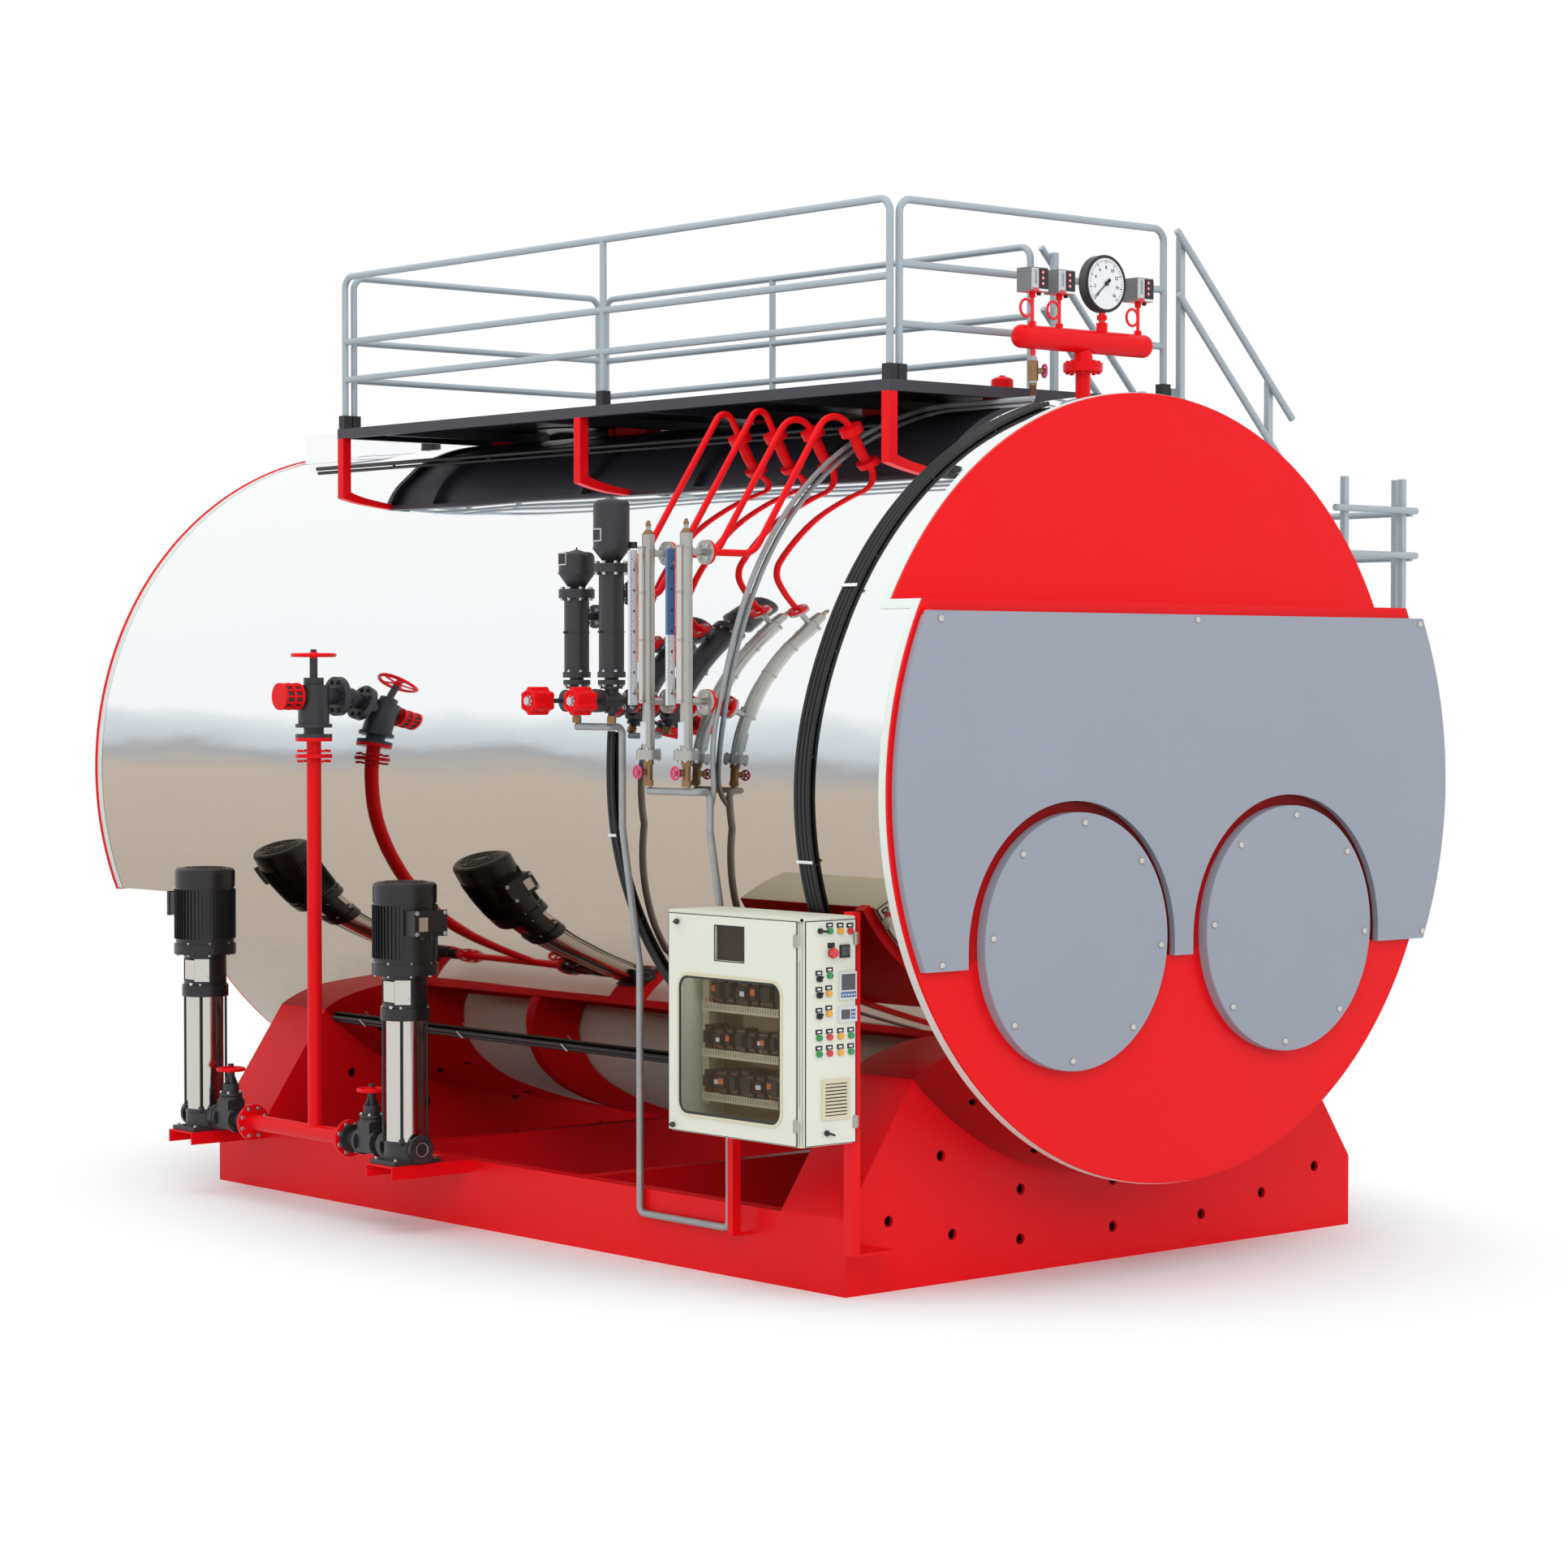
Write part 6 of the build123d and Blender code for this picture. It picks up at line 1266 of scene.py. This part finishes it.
# %% [markdown]
# The lantern between sleeve and motor has bright guards over its openings and a plug for venting. The
# guard that faces the camera is turned to it, so its axes are written out as a small matrix.

# %% Pumps: lantern guards
guard_out = Vector((-0.655, -0.755, 0.0))
guard_along = Vector((0.755, -0.655, 0.0))
guard_turn = Matrix((guard_along, guard_out, Vector((0, 0, 1)))).transposed().to_4x4()
silver = bmesh.new()
for pump_y, outward in pump_rows:
    for way in (-1, 1):
        guard_x = pump_x + way * 0.100
        add_block(silver, (guard_x - 0.003, pump_y - 0.053, 1.216), (guard_x + 0.003, pump_y + 0.053, 1.326))
    guard_middle = Vector((pump_x, pump_y, 1.271)) + guard_out * 0.1165
    place = Matrix.Translation(guard_middle) @ guard_turn @ Matrix.Diagonal((0.084, 0.012, 0.128, 1.0))
    bmesh.ops.create_cube(silver, size=1.0, matrix=place)
    plug = guard_middle + guard_along * 0.026 - Vector((0, 0, 0.040))
    add_bar(silver, plug, plug + guard_out * 0.024, 0.013, sides=6)
    add_dome(silver, (pump_x - 0.115, pump_y - 0.040, 1.192), (0, 0, 1), 0.014, 0.012)
print("corners of the guards", len(silver.verts))

# %% [markdown]
# The motor's terminal box has a lid with a bolt at each corner, a bare data plate and two glands below.
# The two boxes face opposite ways, so the helper counts its distances outward from the lid.

# %% Pumps: terminal boxes
lid_half = 0.104
box_low, box_high = 1.575, 1.705


def add_lid_block(target, left, right, back, front, low, high):
    """A block on a terminal box, between two distances from its lid's plane."""
    near, far = sorted((box_face + outward * back, box_face + outward * front))
    add_block(target, (pump_x + left, near, low), (pump_x + right, far, high))


for pump_y, outward in pump_rows:
    box_face = pump_y + outward * 0.235
    add_lid_block(rods, -lid_half, lid_half, -0.018, 0.004, box_low - 0.004, box_high + 0.004)
    add_lid_block(silver, -0.078, -0.022, 0.0, 0.006, 1.598, 1.672)
    for corner_x in (-0.090, 0.090):
        for corner_z in (box_low + 0.010, box_high - 0.010):
            lid_corner = Vector((pump_x + corner_x, box_face + outward * 0.004, corner_z))
            pump_bolts.append((lid_corner, (0, outward, 0)))
    for gland_x in (-0.030, 0.030):
        add_post(rods, pump_x + gland_x, box_face - outward * 0.030, box_low - 0.022, box_low, 0.014, sides=8)
print("bolts on the pumps so far", len(pump_bolts))

# %% [markdown]
# A pump's foot has a port on two sides. The inner one joins the feed line. The outer one stands open in the
# photograph, with a bright seat round its bore and four empty bolt holes; thin black discs in the bore and
# the holes are painted shade. After these, the shapes that the last four cells filled are complete and become
# pieces.

# %% Pumps: ports
port_hole_shades, seats = bmesh.new(), bmesh.new()
for pump_y, outward in pump_rows:
    for way in (-1, 1):
        bolt_face = (pump_x, pump_y + way * 0.150 - way * 0.0205, feed_z)
        pump_bolts += circle_of(bolt_face, (0, -way, 0), 0.060, 4, 45.0)
    port_place = (pump_x, pump_y + outward * 0.151, feed_z)
    add_ring(rods, port_place, (0, 1, 0), 0.041, 0.004, sides=40, round_sides=8)
    # Painted shade: thin black discs stand for the dark inside of the bore and of the four bolt holes.
    port_back = pump_y + outward * 0.148
    port_front = pump_y + outward * 0.1512
    add_bar(port_hole_shades, (pump_x, port_back, feed_z), (pump_x, port_front, feed_z), 0.034, sides=32)
    for hole in range(4):
        angle = radians(45 + 90 * hole)
        hole_x, hole_z = pump_x + 0.060 * cos(angle), feed_z + 0.060 * sin(angle)
        add_bar(port_hole_shades, (hole_x, port_back, hole_z), (hole_x, port_front, hole_z), 0.0095, sides=16)
    seat_place = (pump_x, pump_y + outward * 0.1515, feed_z)
    add_ring(seats, seat_place, (0, 1, 0), 0.037, 0.003, sides=40, round_sides=8)
finish_piece("pump_rods", rods, "motor_black", sharp=50.0)
finish_piece("motor_ribs", ribs, "motor_black")
finish_piece("pump_silver_parts", silver, "stainless")
set_heads("pump_bolts", pump_bolts, 0.0095, 0.010, "bolt_steel")
finish_piece("port_hole_shades", port_hole_shades, "soft_black")
finish_piece("port_seats", seats, "galvanised")

# %% [markdown]
# The control cabinet is what people look at first. Its end door carries lit push buttons and turn
# switches, each with a black label plate above, then three displays and a slotted air grille. All of
# them are flat or round parts close to the door's face, so two helpers place them by their height
# above it. Everything on this door rides with it and swings with the door.

# %% End door: buttons and lamps
door_low_corner, door_high_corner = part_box("cabinet_end_door")
end_face = -0.440
collars, label_plates, label_marks, selector_parts = (bmesh.new() for _ in range(4))
lamp_shapes = {name: bmesh.new() for name in ("lamp_green", "lamp_yellow", "lamp_red")}
buttons = (
    (-2.099, 1.757, "lamp_green"), (-2.034, 1.754, "lamp_yellow"), (-1.973, 1.751, "lamp_red"),
    (-2.099, 1.551, "lamp_green"), (-2.104, 1.468, "lamp_yellow"), (-2.104, 1.375, "lamp_yellow"),
)
lower_colours = ("lamp_green", "lamp_red", "lamp_yellow", "lamp_green")
for row_z in (1.267, 1.192):
    buttons += tuple((x, row_z, colour) for x, colour in zip((-2.164, -2.100, -2.032, -1.968), lower_colours))


def add_stud(target, x, z, back, front, radius, far_radius=None, sides=24):
    """A round part on the end door, between two heights above its face."""
    add_bar(target, (x, end_face - back, z), (x, end_face - front, z), radius, far_radius, sides)


def add_plate(target, left, low, right, high, rise, sink=0.0):
    """A flat part on the end door, between two heights above its face."""
    add_block(target, (left, end_face - rise, low), (right, end_face - sink, high))


def add_seat(x, z):
    """The collar of a button or switch, with its label plate above."""
    add_stud(collars, x, z, 0.0, 0.004, 0.0185, sides=28)
    add_plate(label_plates, x - 0.020, z + 0.016, x + 0.020, z + 0.038, 0.003)
    add_plate(label_marks, x - 0.011, z + 0.023, x + 0.011, z + 0.031, 0.0036, 0.0028)


for button_x, button_z, colour in buttons:
    add_seat(button_x, button_z)
    add_stud(lamp_shapes[colour], button_x, button_z, 0.004, 0.014, 0.0160, 0.0145, sides=28)
print("buttons", len(buttons))

# %% [markdown]
# Three turn switches have a slanted black handle, and the emergency stop is a wide red mushroom. A thin
# slanted bar is enough for a handle this small, and it tells a switch from a button at once.

# %% End door: turn switches and emergency stop
handle = Vector((0.012, 0.0, 0.010))
for selector_x, selector_z in ((-2.164, 1.539), (-2.164, 1.464), (-2.164, 1.367)):
    add_seat(selector_x, selector_z)
    add_stud(selector_parts, selector_x, selector_z, 0.004, 0.014, 0.0150)
    centre = Vector((selector_x, end_face - 0.018, selector_z))
    add_bar(selector_parts, centre - handle, centre + handle, 0.0050, sides=8)
stop_x, stop_z = -2.089, 1.655
add_stud(collars, stop_x, stop_z, 0.0, 0.004, 0.022, sides=28)
add_stud(lamp_shapes["lamp_red"], stop_x, stop_z, 0.004, 0.020, 0.014)
add_stud(lamp_shapes["lamp_red"], stop_x, stop_z, 0.020, 0.034, 0.026, 0.020, sides=32)
add_plate(label_plates, -2.110, 1.678, -2.068, 1.702, 0.003)
print("corners of the collars", len(collars.verts))

# %% [markdown]
# Two controllers with a screen and blue keys sit on the right, and a small dark counter above them. A
# screen is a coated dark plate a little proud of its case, so it catches light as glass does.

# %% End door: displays
displays, screens, blue_keys = (bmesh.new() for _ in range(3))
large_x, large_z = -1.993, 1.500
for display_z, half_wide, half_high in ((large_z, 0.052, 0.064), (1.368, 0.054, 0.036)):
    left, right = large_x - half_wide, large_x + half_wide
    add_plate(displays, left, display_z - half_high, right, display_z + half_high, 0.014)
add_plate(screens, large_x - 0.042, large_z - 0.020, large_x + 0.042, large_z + 0.054, 0.0155, 0.0135)
add_plate(blue_keys, large_x - 0.046, large_z - 0.054, large_x + 0.046, large_z - 0.028, 0.0155, 0.0135)
add_plate(screens, -2.036, 1.346, -1.984, 1.390, 0.0155, 0.0135)
add_plate(blue_keys, -1.976, 1.346, -1.950, 1.390, 0.0155, 0.0135)
for key_number in range(5):
    key_x = large_x - 0.036 + 0.018 * key_number
    add_plate(displays, key_x - 0.005, large_z - 0.046, key_x + 0.005, large_z - 0.038, 0.0170, 0.0150)
for key_z in (1.358, 1.376):
    for key_x in (-1.969, -1.957):
        add_stud(displays, key_x, key_z, 0.0150, 0.0168, 0.0042, sides=12)
add_plate(selector_parts, -2.037, 1.630, -1.979, 1.690, 0.010)
add_plate(screens, -2.030, 1.640, -1.986, 1.684, 0.0115, 0.0095)
for name, shape, finish in (
    ("button_collars", collars, "bolt_steel"), ("button_plates", label_plates, "soft_black"),
    ("button_plate_marks", label_marks, "dial_white"), ("selectors", selector_parts, "soft_black"),
    ("display_cases", displays, "scale_white"), ("display_screens", screens, "screen_dark"),
    ("display_keys", blue_keys, "scale_blue"), ("buttons_green", lamp_shapes["lamp_green"], "lamp_green"),
    ("buttons_yellow", lamp_shapes["lamp_yellow"], "lamp_yellow"),
    ("buttons_red", lamp_shapes["lamp_red"], "lamp_red"),
):
    finish_piece(name, shape, finish, body="end_door")

# %% [markdown]
# The air grille is a cream frame with nine slats over a black sheet, which is painted shade for the openings
# between them. A slat is a thin tilted prism: rain runs off it, and the eye sees a dark line under each.

# %% End door: grille
grille_left, grille_right, grille_low, grille_high = -2.149, -1.978, 0.884, 1.070
border, overlap = 0.018, 0.016
slat_count = 9
grille, grille_painted_shade = bmesh.new(), bmesh.new()
slat_left, slat_right = grille_left + overlap, grille_right - overlap
# Painted shade: a black sheet behind the slats stands for the dark openings.
add_plate(grille_painted_shade, slat_left, grille_low + overlap, slat_right, grille_high - overlap, 0.002)
for strip in (
    (grille_left, grille_low, grille_right, grille_low + border),
    (grille_left, grille_high - border, grille_right, grille_high),
    (grille_left, grille_low + border, grille_left + border, grille_high - border),
    (grille_right - border, grille_low + border, grille_right, grille_high - border),
):
    add_plate(grille, *strip, 0.010)
for slat in range(slat_count):
    height = grille_low + 0.020 + (grille_high - grille_low - 0.040) * (slat + 0.5) / slat_count
    section = (
        (end_face - 0.009, height - 0.0044), (end_face - 0.0078, height - 0.0054),
        (end_face - 0.003, height + 0.0036), (end_face - 0.0048, height + 0.0048),
    )
    add_prism(grille, [(slat_left, y, z) for y, z in section], [(slat_right, y, z) for y, z in section])
finish_piece("door_grille", grille, "louvre_cream", body="end_door")
finish_piece("door_grille_shade", grille_painted_shade, "soft_black", body="end_door")

# %% [markdown]
# Both doors close with quarter-turn wing locks and hang on short hinges with three knuckles. They are
# built with the doors closed. Each rides with its own door and follows when the door opens.

# %% Locks and hinges of the doors
def add_wing_lock(target, place, normal, sweep):
    """A quarter-turn lock: a round base and a slanted wing."""
    place, normal, sweep = Vector(place), Vector(normal), Vector(sweep)
    add_bar(target, place, place + normal * 0.012, 0.013, sides=20)
    wing = place + normal * 0.016
    add_bar(target, wing - sweep * 0.3, wing + sweep * 1.1, 0.0068, 0.0048, 10)


def add_hinge(target, place, along, outward):
    """A hinge with three knuckles and two leaves."""
    place, along, outward = Vector(place), Vector(along), Vector(outward)
    for knuckle in (-1, 0, 1):
        middle = place + Vector((0, 0, knuckle * 0.021))
        add_bar(target, middle - Vector((0, 0, 0.0092)), middle + Vector((0, 0, 0.0092)), 0.0098, sides=16)
    for way in (-1, 1):
        low = place + along * (way * 0.004) + outward * 0.001 - Vector((0, 0, 0.026))
        high = place + along * (way * 0.015) + outward * 0.0045 + Vector((0, 0, 0.026))
        add_block(target, [min(a, b) for a, b in zip(low, high)], [max(a, b) for a, b in zip(low, high)])


side_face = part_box("cabinet_side_door")[0].x + 0.008
side_out = (-1.0, 0.0, 0.0)
hinge_heights = (0.864, 1.716)
shape = bmesh.new()
add_wing_lock(shape, (-2.159, end_face, 1.759), forward, (0.034, -0.004, -0.004))
add_wing_lock(shape, (-2.118, end_face, 0.824), forward, (0.034, -0.004, -0.010))
finish_piece("end_door_locks", shape, "soft_black", body="end_door")
shape = bmesh.new()
add_wing_lock(shape, (side_face, 0.453, 1.765), side_out, (-0.004, -0.030, 0.006))
add_wing_lock(shape, (side_face, 0.485, 0.793), side_out, (-0.004, -0.030, 0.003))
finish_piece("side_door_locks", shape, "soft_black", body="side_door")
shape = bmesh.new()
for hinge_z in hinge_heights:
    add_hinge(shape, (side_face - 0.001, -0.403, hinge_z), (0, 1, 0), side_out)
finish_piece("side_door_hinges", shape, "gauge_steel", body="side_door")
shape = bmesh.new()
for hinge_z in hinge_heights:
    add_hinge(shape, (-1.938, end_face - 0.001, hinge_z), (-1, 0, 0), forward)
finish_piece("end_door_hinges", shape, "gauge_steel", body="end_door")

# %% [markdown]
# The side door's large window has a cream bead and a dark gasket inside it, both with round corners.
# The small window has a thin black edge and a dark pane. A frame is one strip led round a rectangle
# with round corners, which a curve with a bevel could do too, but not with such plain numbers.

# %% Side door: window frames
window_low, window_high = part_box("cabinet_windows")
window_middle = (side_face, (window_low.y + window_high.y) / 2, 1.184)
small_middle = (side_face, 0.071, 1.6775)
across_door = (0, -1, 0)
up_door = (0, 0, 1)
shape = bmesh.new()
add_frame(shape, window_middle, across_door, up_door, (0.382, 0.342, 0.074), 0.014, 0.006)
finish_piece("window_bead", shape, "louvre_cream", body="side_door", sharp=50.0)
shape = bmesh.new()
add_frame(shape, window_middle, across_door, up_door, (0.370, 0.330, 0.063), 0.013, 0.0045)
finish_piece("window_gasket", shape, "soft_black", body="side_door", sharp=50.0)
shape = bmesh.new()
add_frame(shape, small_middle, across_door, up_door, (0.110, 0.086, 0.004), 0.005, 0.0015)
pane_half = 0.104
pane_low = (side_face + 0.012, small_middle[1] - pane_half, 1.597)
add_block(shape, pane_low, (side_face + 0.014, small_middle[1] + pane_half, 1.758))
finish_piece("small_window_frame", shape, "soft_black", body="side_door", sharp=50.0)

# %% [markdown]
# A closed door shows a thin dark line all round it, where it meets its frame. Four slim strips draw it
# on each door, which leaves the solids as they are. The cabinet's roof has a lip that overhangs both
# doors.

# %% Dark gaps round the doors, and the roof's lip
line_width = 0.003


def edge_strips(left, low, right, high):
    """Four slim strips inside the edge of an upright rectangle, each as two corners."""
    return (
        ((left, low), (left + line_width, high)), ((right - line_width, low), (right, high)),
        ((left, high - line_width), (right, high)), ((left, low), (right, low + line_width)),
    )


shape = bmesh.new()
for start, end in edge_strips(door_low_corner.x, door_low_corner.z, door_high_corner.x, door_high_corner.z):
    add_block(shape, (start[0], end_face - 0.0006, start[1]), (end[0], end_face + 0.0040, end[1]))
finish_piece("end_door_gap", shape, "soft_black", body="end_door")
side_low, side_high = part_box("cabinet_side_door")
shape = bmesh.new()
for start, end in edge_strips(side_low.y, side_low.z, side_high.y, side_high.z):
    add_block(shape, (side_face - 0.0006, start[0], start[1]), (side_face + 0.0040, end[0], end[1]))
finish_piece("side_door_gap", shape, "soft_black", body="side_door")
shape = bmesh.new()
add_block(shape, (-2.254, -0.425, 1.8125), (-1.933, 0.530, 1.8205))
add_block(shape, (-2.262, -0.433, 1.8065), (-2.252, 0.530, 1.8175))
add_block(shape, (-2.262, -0.433, 1.8065), (-1.933, -0.423, 1.8175))
finish_piece("cabinet_roof_lip", shape, "cabinet_cream")

# %% [markdown]
# Little daylight reaches the inside of a closed cabinet. A weak slim lamp under its roof, unseen by the
# camera and by mirrors, lets the switchgear read through the tinted window.

# %% A small lamp inside the cabinet
inside_lamp_data = bpy.data.lights.new("cabinet_lamp", "AREA")
inside_lamp_data.shape = "RECTANGLE"
inside_lamp_data.size = 0.05
inside_lamp_data.size_y = 0.6
inside_lamp_data.energy = 1.6
inside_lamp = bpy.data.objects.new("cabinet_lamp", inside_lamp_data)
scene.collection.objects.link(inside_lamp)
inside_lamp.location = (-2.195, 0.05, 1.770)
inside_lamp.visible_glossy = False
inside_lamp.visible_camera = False
print("cabinet lamp", inside_lamp_data.energy, "W")

# %% [markdown]
# Behind the window, cream cable ducts divide rows of black contactors, relays with orange and white
# labels, and terminals with coloured wires. Small parts in honest rows read as switchgear from any side.

# %% Cable ducts behind the window
panel_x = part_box("cabinet_fittings")[1].x - 0.044
rows_from, rows_to = -0.300, 0.430
duct_front = panel_x - 0.158
ducts, duct_slots = bmesh.new(), bmesh.new()
for duct_z in (0.905, 1.115, 1.335, 1.560):
    add_block(ducts, (duct_front, rows_from, duct_z), (panel_x - 0.060, rows_to, duct_z + 0.040))
    for slot_number in range(40):
        slot_y = rows_from + 0.010 + slot_number * 0.018
        slot_low = (duct_front - 0.0005, slot_y, duct_z + 0.012)
        add_block(duct_slots, slot_low, (duct_front + 0.0005, slot_y + 0.003, duct_z + 0.034))
for duct_y in (rows_from - 0.050, rows_to + 0.004):
    add_block(ducts, (panel_x - 0.112, duct_y, 0.880), (panel_x - 0.060, duct_y + 0.046, 1.640))
finish_piece("cable_ducts", ducts, "louvre_cream")
finish_piece("cable_duct_slots", duct_slots, "soft_black")

# %% [markdown]
# A contactor is a black box with a raised face, a label and screws in two rows. Depth, height and label
# follow from the device's number, so the rows look mixed and still come out the same on every run.

# %% Switchgear behind the window
gear, orange_gear, white_gear, screws = (bmesh.new() for _ in range(4))
device_plan = (
    (0.950, 0.120, 0.056, 0.064), (1.160, 0.110, 0.045, 0.054), (1.380, 0.130, 0.050, 0.060),
)
label_kinds = {1: (orange_gear, 0.42, 0.66), 3: (white_gear, 0.40, 0.60)}
for row_number, (row_z, row_height, device_width, pitch) in enumerate(device_plan):
    device_count = int((rows_to - rows_from - 0.020) / pitch)
    for device in range(device_count):
        near_y = rows_from + 0.010 + device * pitch
        far_y = near_y + device_width
        kind = (device * 7 + row_number * 3) % 5
        front_x = panel_x - (0.148 + 0.014 * ((device + row_number) % 3))
        height = row_height * (0.86 + 0.07 * (kind % 3))
        add_block(gear, (front_x, near_y, row_z), (panel_x - 0.050, far_y, row_z + height))
        face_low = (front_x - 0.016, near_y + 0.006, row_z + height * 0.25)
        add_block(gear, face_low, (front_x, far_y - 0.006, row_z + height * 0.75))
        if kind in label_kinds:
            target, label_from, label_to = label_kinds[kind]
            label_low = (front_x - 0.0175, near_y + 0.010, row_z + height * label_from)
            add_block(target, label_low, (front_x - 0.0155, far_y - 0.010, row_z + height * label_to))
        for screw_number in range(3):
            screw_y = near_y + device_width * (0.22 + 0.28 * screw_number)
            for screw_z in (row_z + height * 0.12, row_z + height * 0.88):
                screw_head = (front_x - 0.003, screw_y, screw_z)
                add_bar(screws, (front_x, screw_y, screw_z), screw_head, 0.0045, sides=8)
finish_piece("switchgear", gear, "soft_black")
finish_piece("switchgear_orange", orange_gear, "device_orange")
finish_piece("switchgear_white", white_gear, "dial_white")
finish_piece("switchgear_screws", screws, "brass")

# %% [markdown]
# Under each row, coloured wires leave for the duct below. Thin six-sided bars are enough behind tinted
# glass. A little seeded chance in their depth, length and lean keeps them from looking combed.

# %% Wires under the switchgear
wire_shapes = {name: bmesh.new() for name in ("wire_red", "wire_blue", "wire_yellow")}
wire_order = ("wire_red", "wire_blue", "wire_yellow", "wire_red")
chance = random.Random(7)
for bundle_z in (0.950, 1.160, 1.380):
    for wire in range(44):
        wire_y = rows_from + 0.014 + wire * 0.0162
        wire_x = panel_x - (0.134 + chance.uniform(0.0, 0.020))
        wire_low = bundle_z - 0.036 - chance.uniform(0.0, 0.012)
        lean_y = wire_y + chance.uniform(-0.008, 0.008)
        top, foot = (wire_x, wire_y, bundle_z + 0.018), (wire_x + 0.010, lean_y, wire_low)
        add_bar(wire_shapes[wire_order[wire % len(wire_order)]], top, foot, 0.0022, sides=6)
for name, shape in wire_shapes.items():
    finish_piece("panel_" + name, shape, name)

# %% [markdown]
# White straps hold the cables to the drum. Each lies across its bundle, on the outside of the cables,
# so its place is an angle round the drum's axis and a distance along it.

# %% Cable straps
drum_height = 2.383
strap_radius = 1.981
strap_thickness = 0.004
straps = [(150.4, -0.154, 0.016, 0.112), (189.5, -0.100, 0.014, 0.112), (187.1, 1.342, 0.014, 0.062)]
straps += [(226.5, strap_y, 0.056, 0.009) for strap_y in (2.524, 1.574, 0.620, 3.474, 4.424)]
shape = bmesh.new()
for angle, strap_y, round_length, along_length in straps:
    turn = Matrix.Rotation(radians(-angle), 4, "Y")
    out_to_cables = Matrix.Translation((strap_radius, 0.0, 0.0))
    place = Matrix.Translation((0.0, strap_y, drum_height)) @ turn @ out_to_cables
    size = Matrix.Diagonal((strap_thickness, along_length, round_length, 1.0))
    bmesh.ops.create_cube(shape, size=1.0, matrix=place @ size)
finish_piece("cable_straps", shape, "tie_white")

# %% [markdown]
# The ground is a large pale disc. Close to the boiler it is matt paint that takes the shadow; farther out it
# fades to plain white for the eye and for mirrors, so no horizon shows behind the skid.

# %% Floor
floor_radius = 60.0
floor_mesh = bpy.data.meshes.new("pale_floor")
floor_shape = bmesh.new()
bmesh.ops.create_circle(floor_shape, cap_ends=True, radius=floor_radius, segments=64)
floor_shape.to_mesh(floor_mesh)
floor_shape.free()
floor = bpy.data.objects.new("pale_floor", floor_mesh)
scene.collection.objects.link(floor)
floor.location = (boiler_middle.x, boiler_middle.y, 0.0)
floor_material = bpy.data.materials.new("pale_floor")
floor_material.use_nodes = True
floor_mesh.materials.append(floor_material)
print("floor radius", floor_radius)

# %% [markdown]
# The fade is an oval a little larger than the boiler. A Mapping node squeezes the place on the floor,
# so that the boiler's long side and short side both come out near one, and the distance from the
# middle then says how much of the matt paint gives way to white.

# %% Fade of the floor
floor_tree = floor_material.node_tree
floor_shader = floor_tree.nodes["Principled BSDF"]
floor_shader.inputs["Base Color"].default_value = (0.88, 0.88, 0.88, 1.0)
floor_shader.inputs["Roughness"].default_value = 0.9
floor_place = floor_tree.nodes.new("ShaderNodeTexCoord")
floor_oval = floor_tree.nodes.new("ShaderNodeMapping")
floor_oval.inputs["Scale"].default_value = (0.42, 0.29, 0.0)
floor_tree.links.new(floor_place.outputs["Object"], floor_oval.inputs["Vector"])
floor_reach = floor_tree.nodes.new("ShaderNodeVectorMath")
floor_reach.operation = "LENGTH"
floor_tree.links.new(floor_oval.outputs[0], floor_reach.inputs[0])
floor_fade = floor_tree.nodes.new("ShaderNodeMapRange")
floor_fade.interpolation_type = "SMOOTHSTEP"
floor_fade.inputs["From Min"].default_value = 0.85
floor_fade.inputs["From Max"].default_value = 1.5
floor_tree.links.new(floor_reach.outputs["Value"], floor_fade.inputs["Value"])
floor_share = add_math(floor_tree, "MULTIPLY", floor_fade.outputs[0], seen_directly(floor_tree))
floor_glow = floor_tree.nodes.new("ShaderNodeEmission")
floor_mix = floor_tree.nodes.new("ShaderNodeMixShader")
floor_tree.links.new(floor_share, floor_mix.inputs["Fac"])
floor_tree.links.new(floor_shader.outputs[0], floor_mix.inputs[1])
floor_tree.links.new(floor_glow.outputs[0], floor_mix.inputs[2])
floor_tree.links.new(floor_mix.outputs[0], floor_tree.nodes["Material Output"].inputs["Surface"])
print("floor nodes", len(floor_tree.nodes))
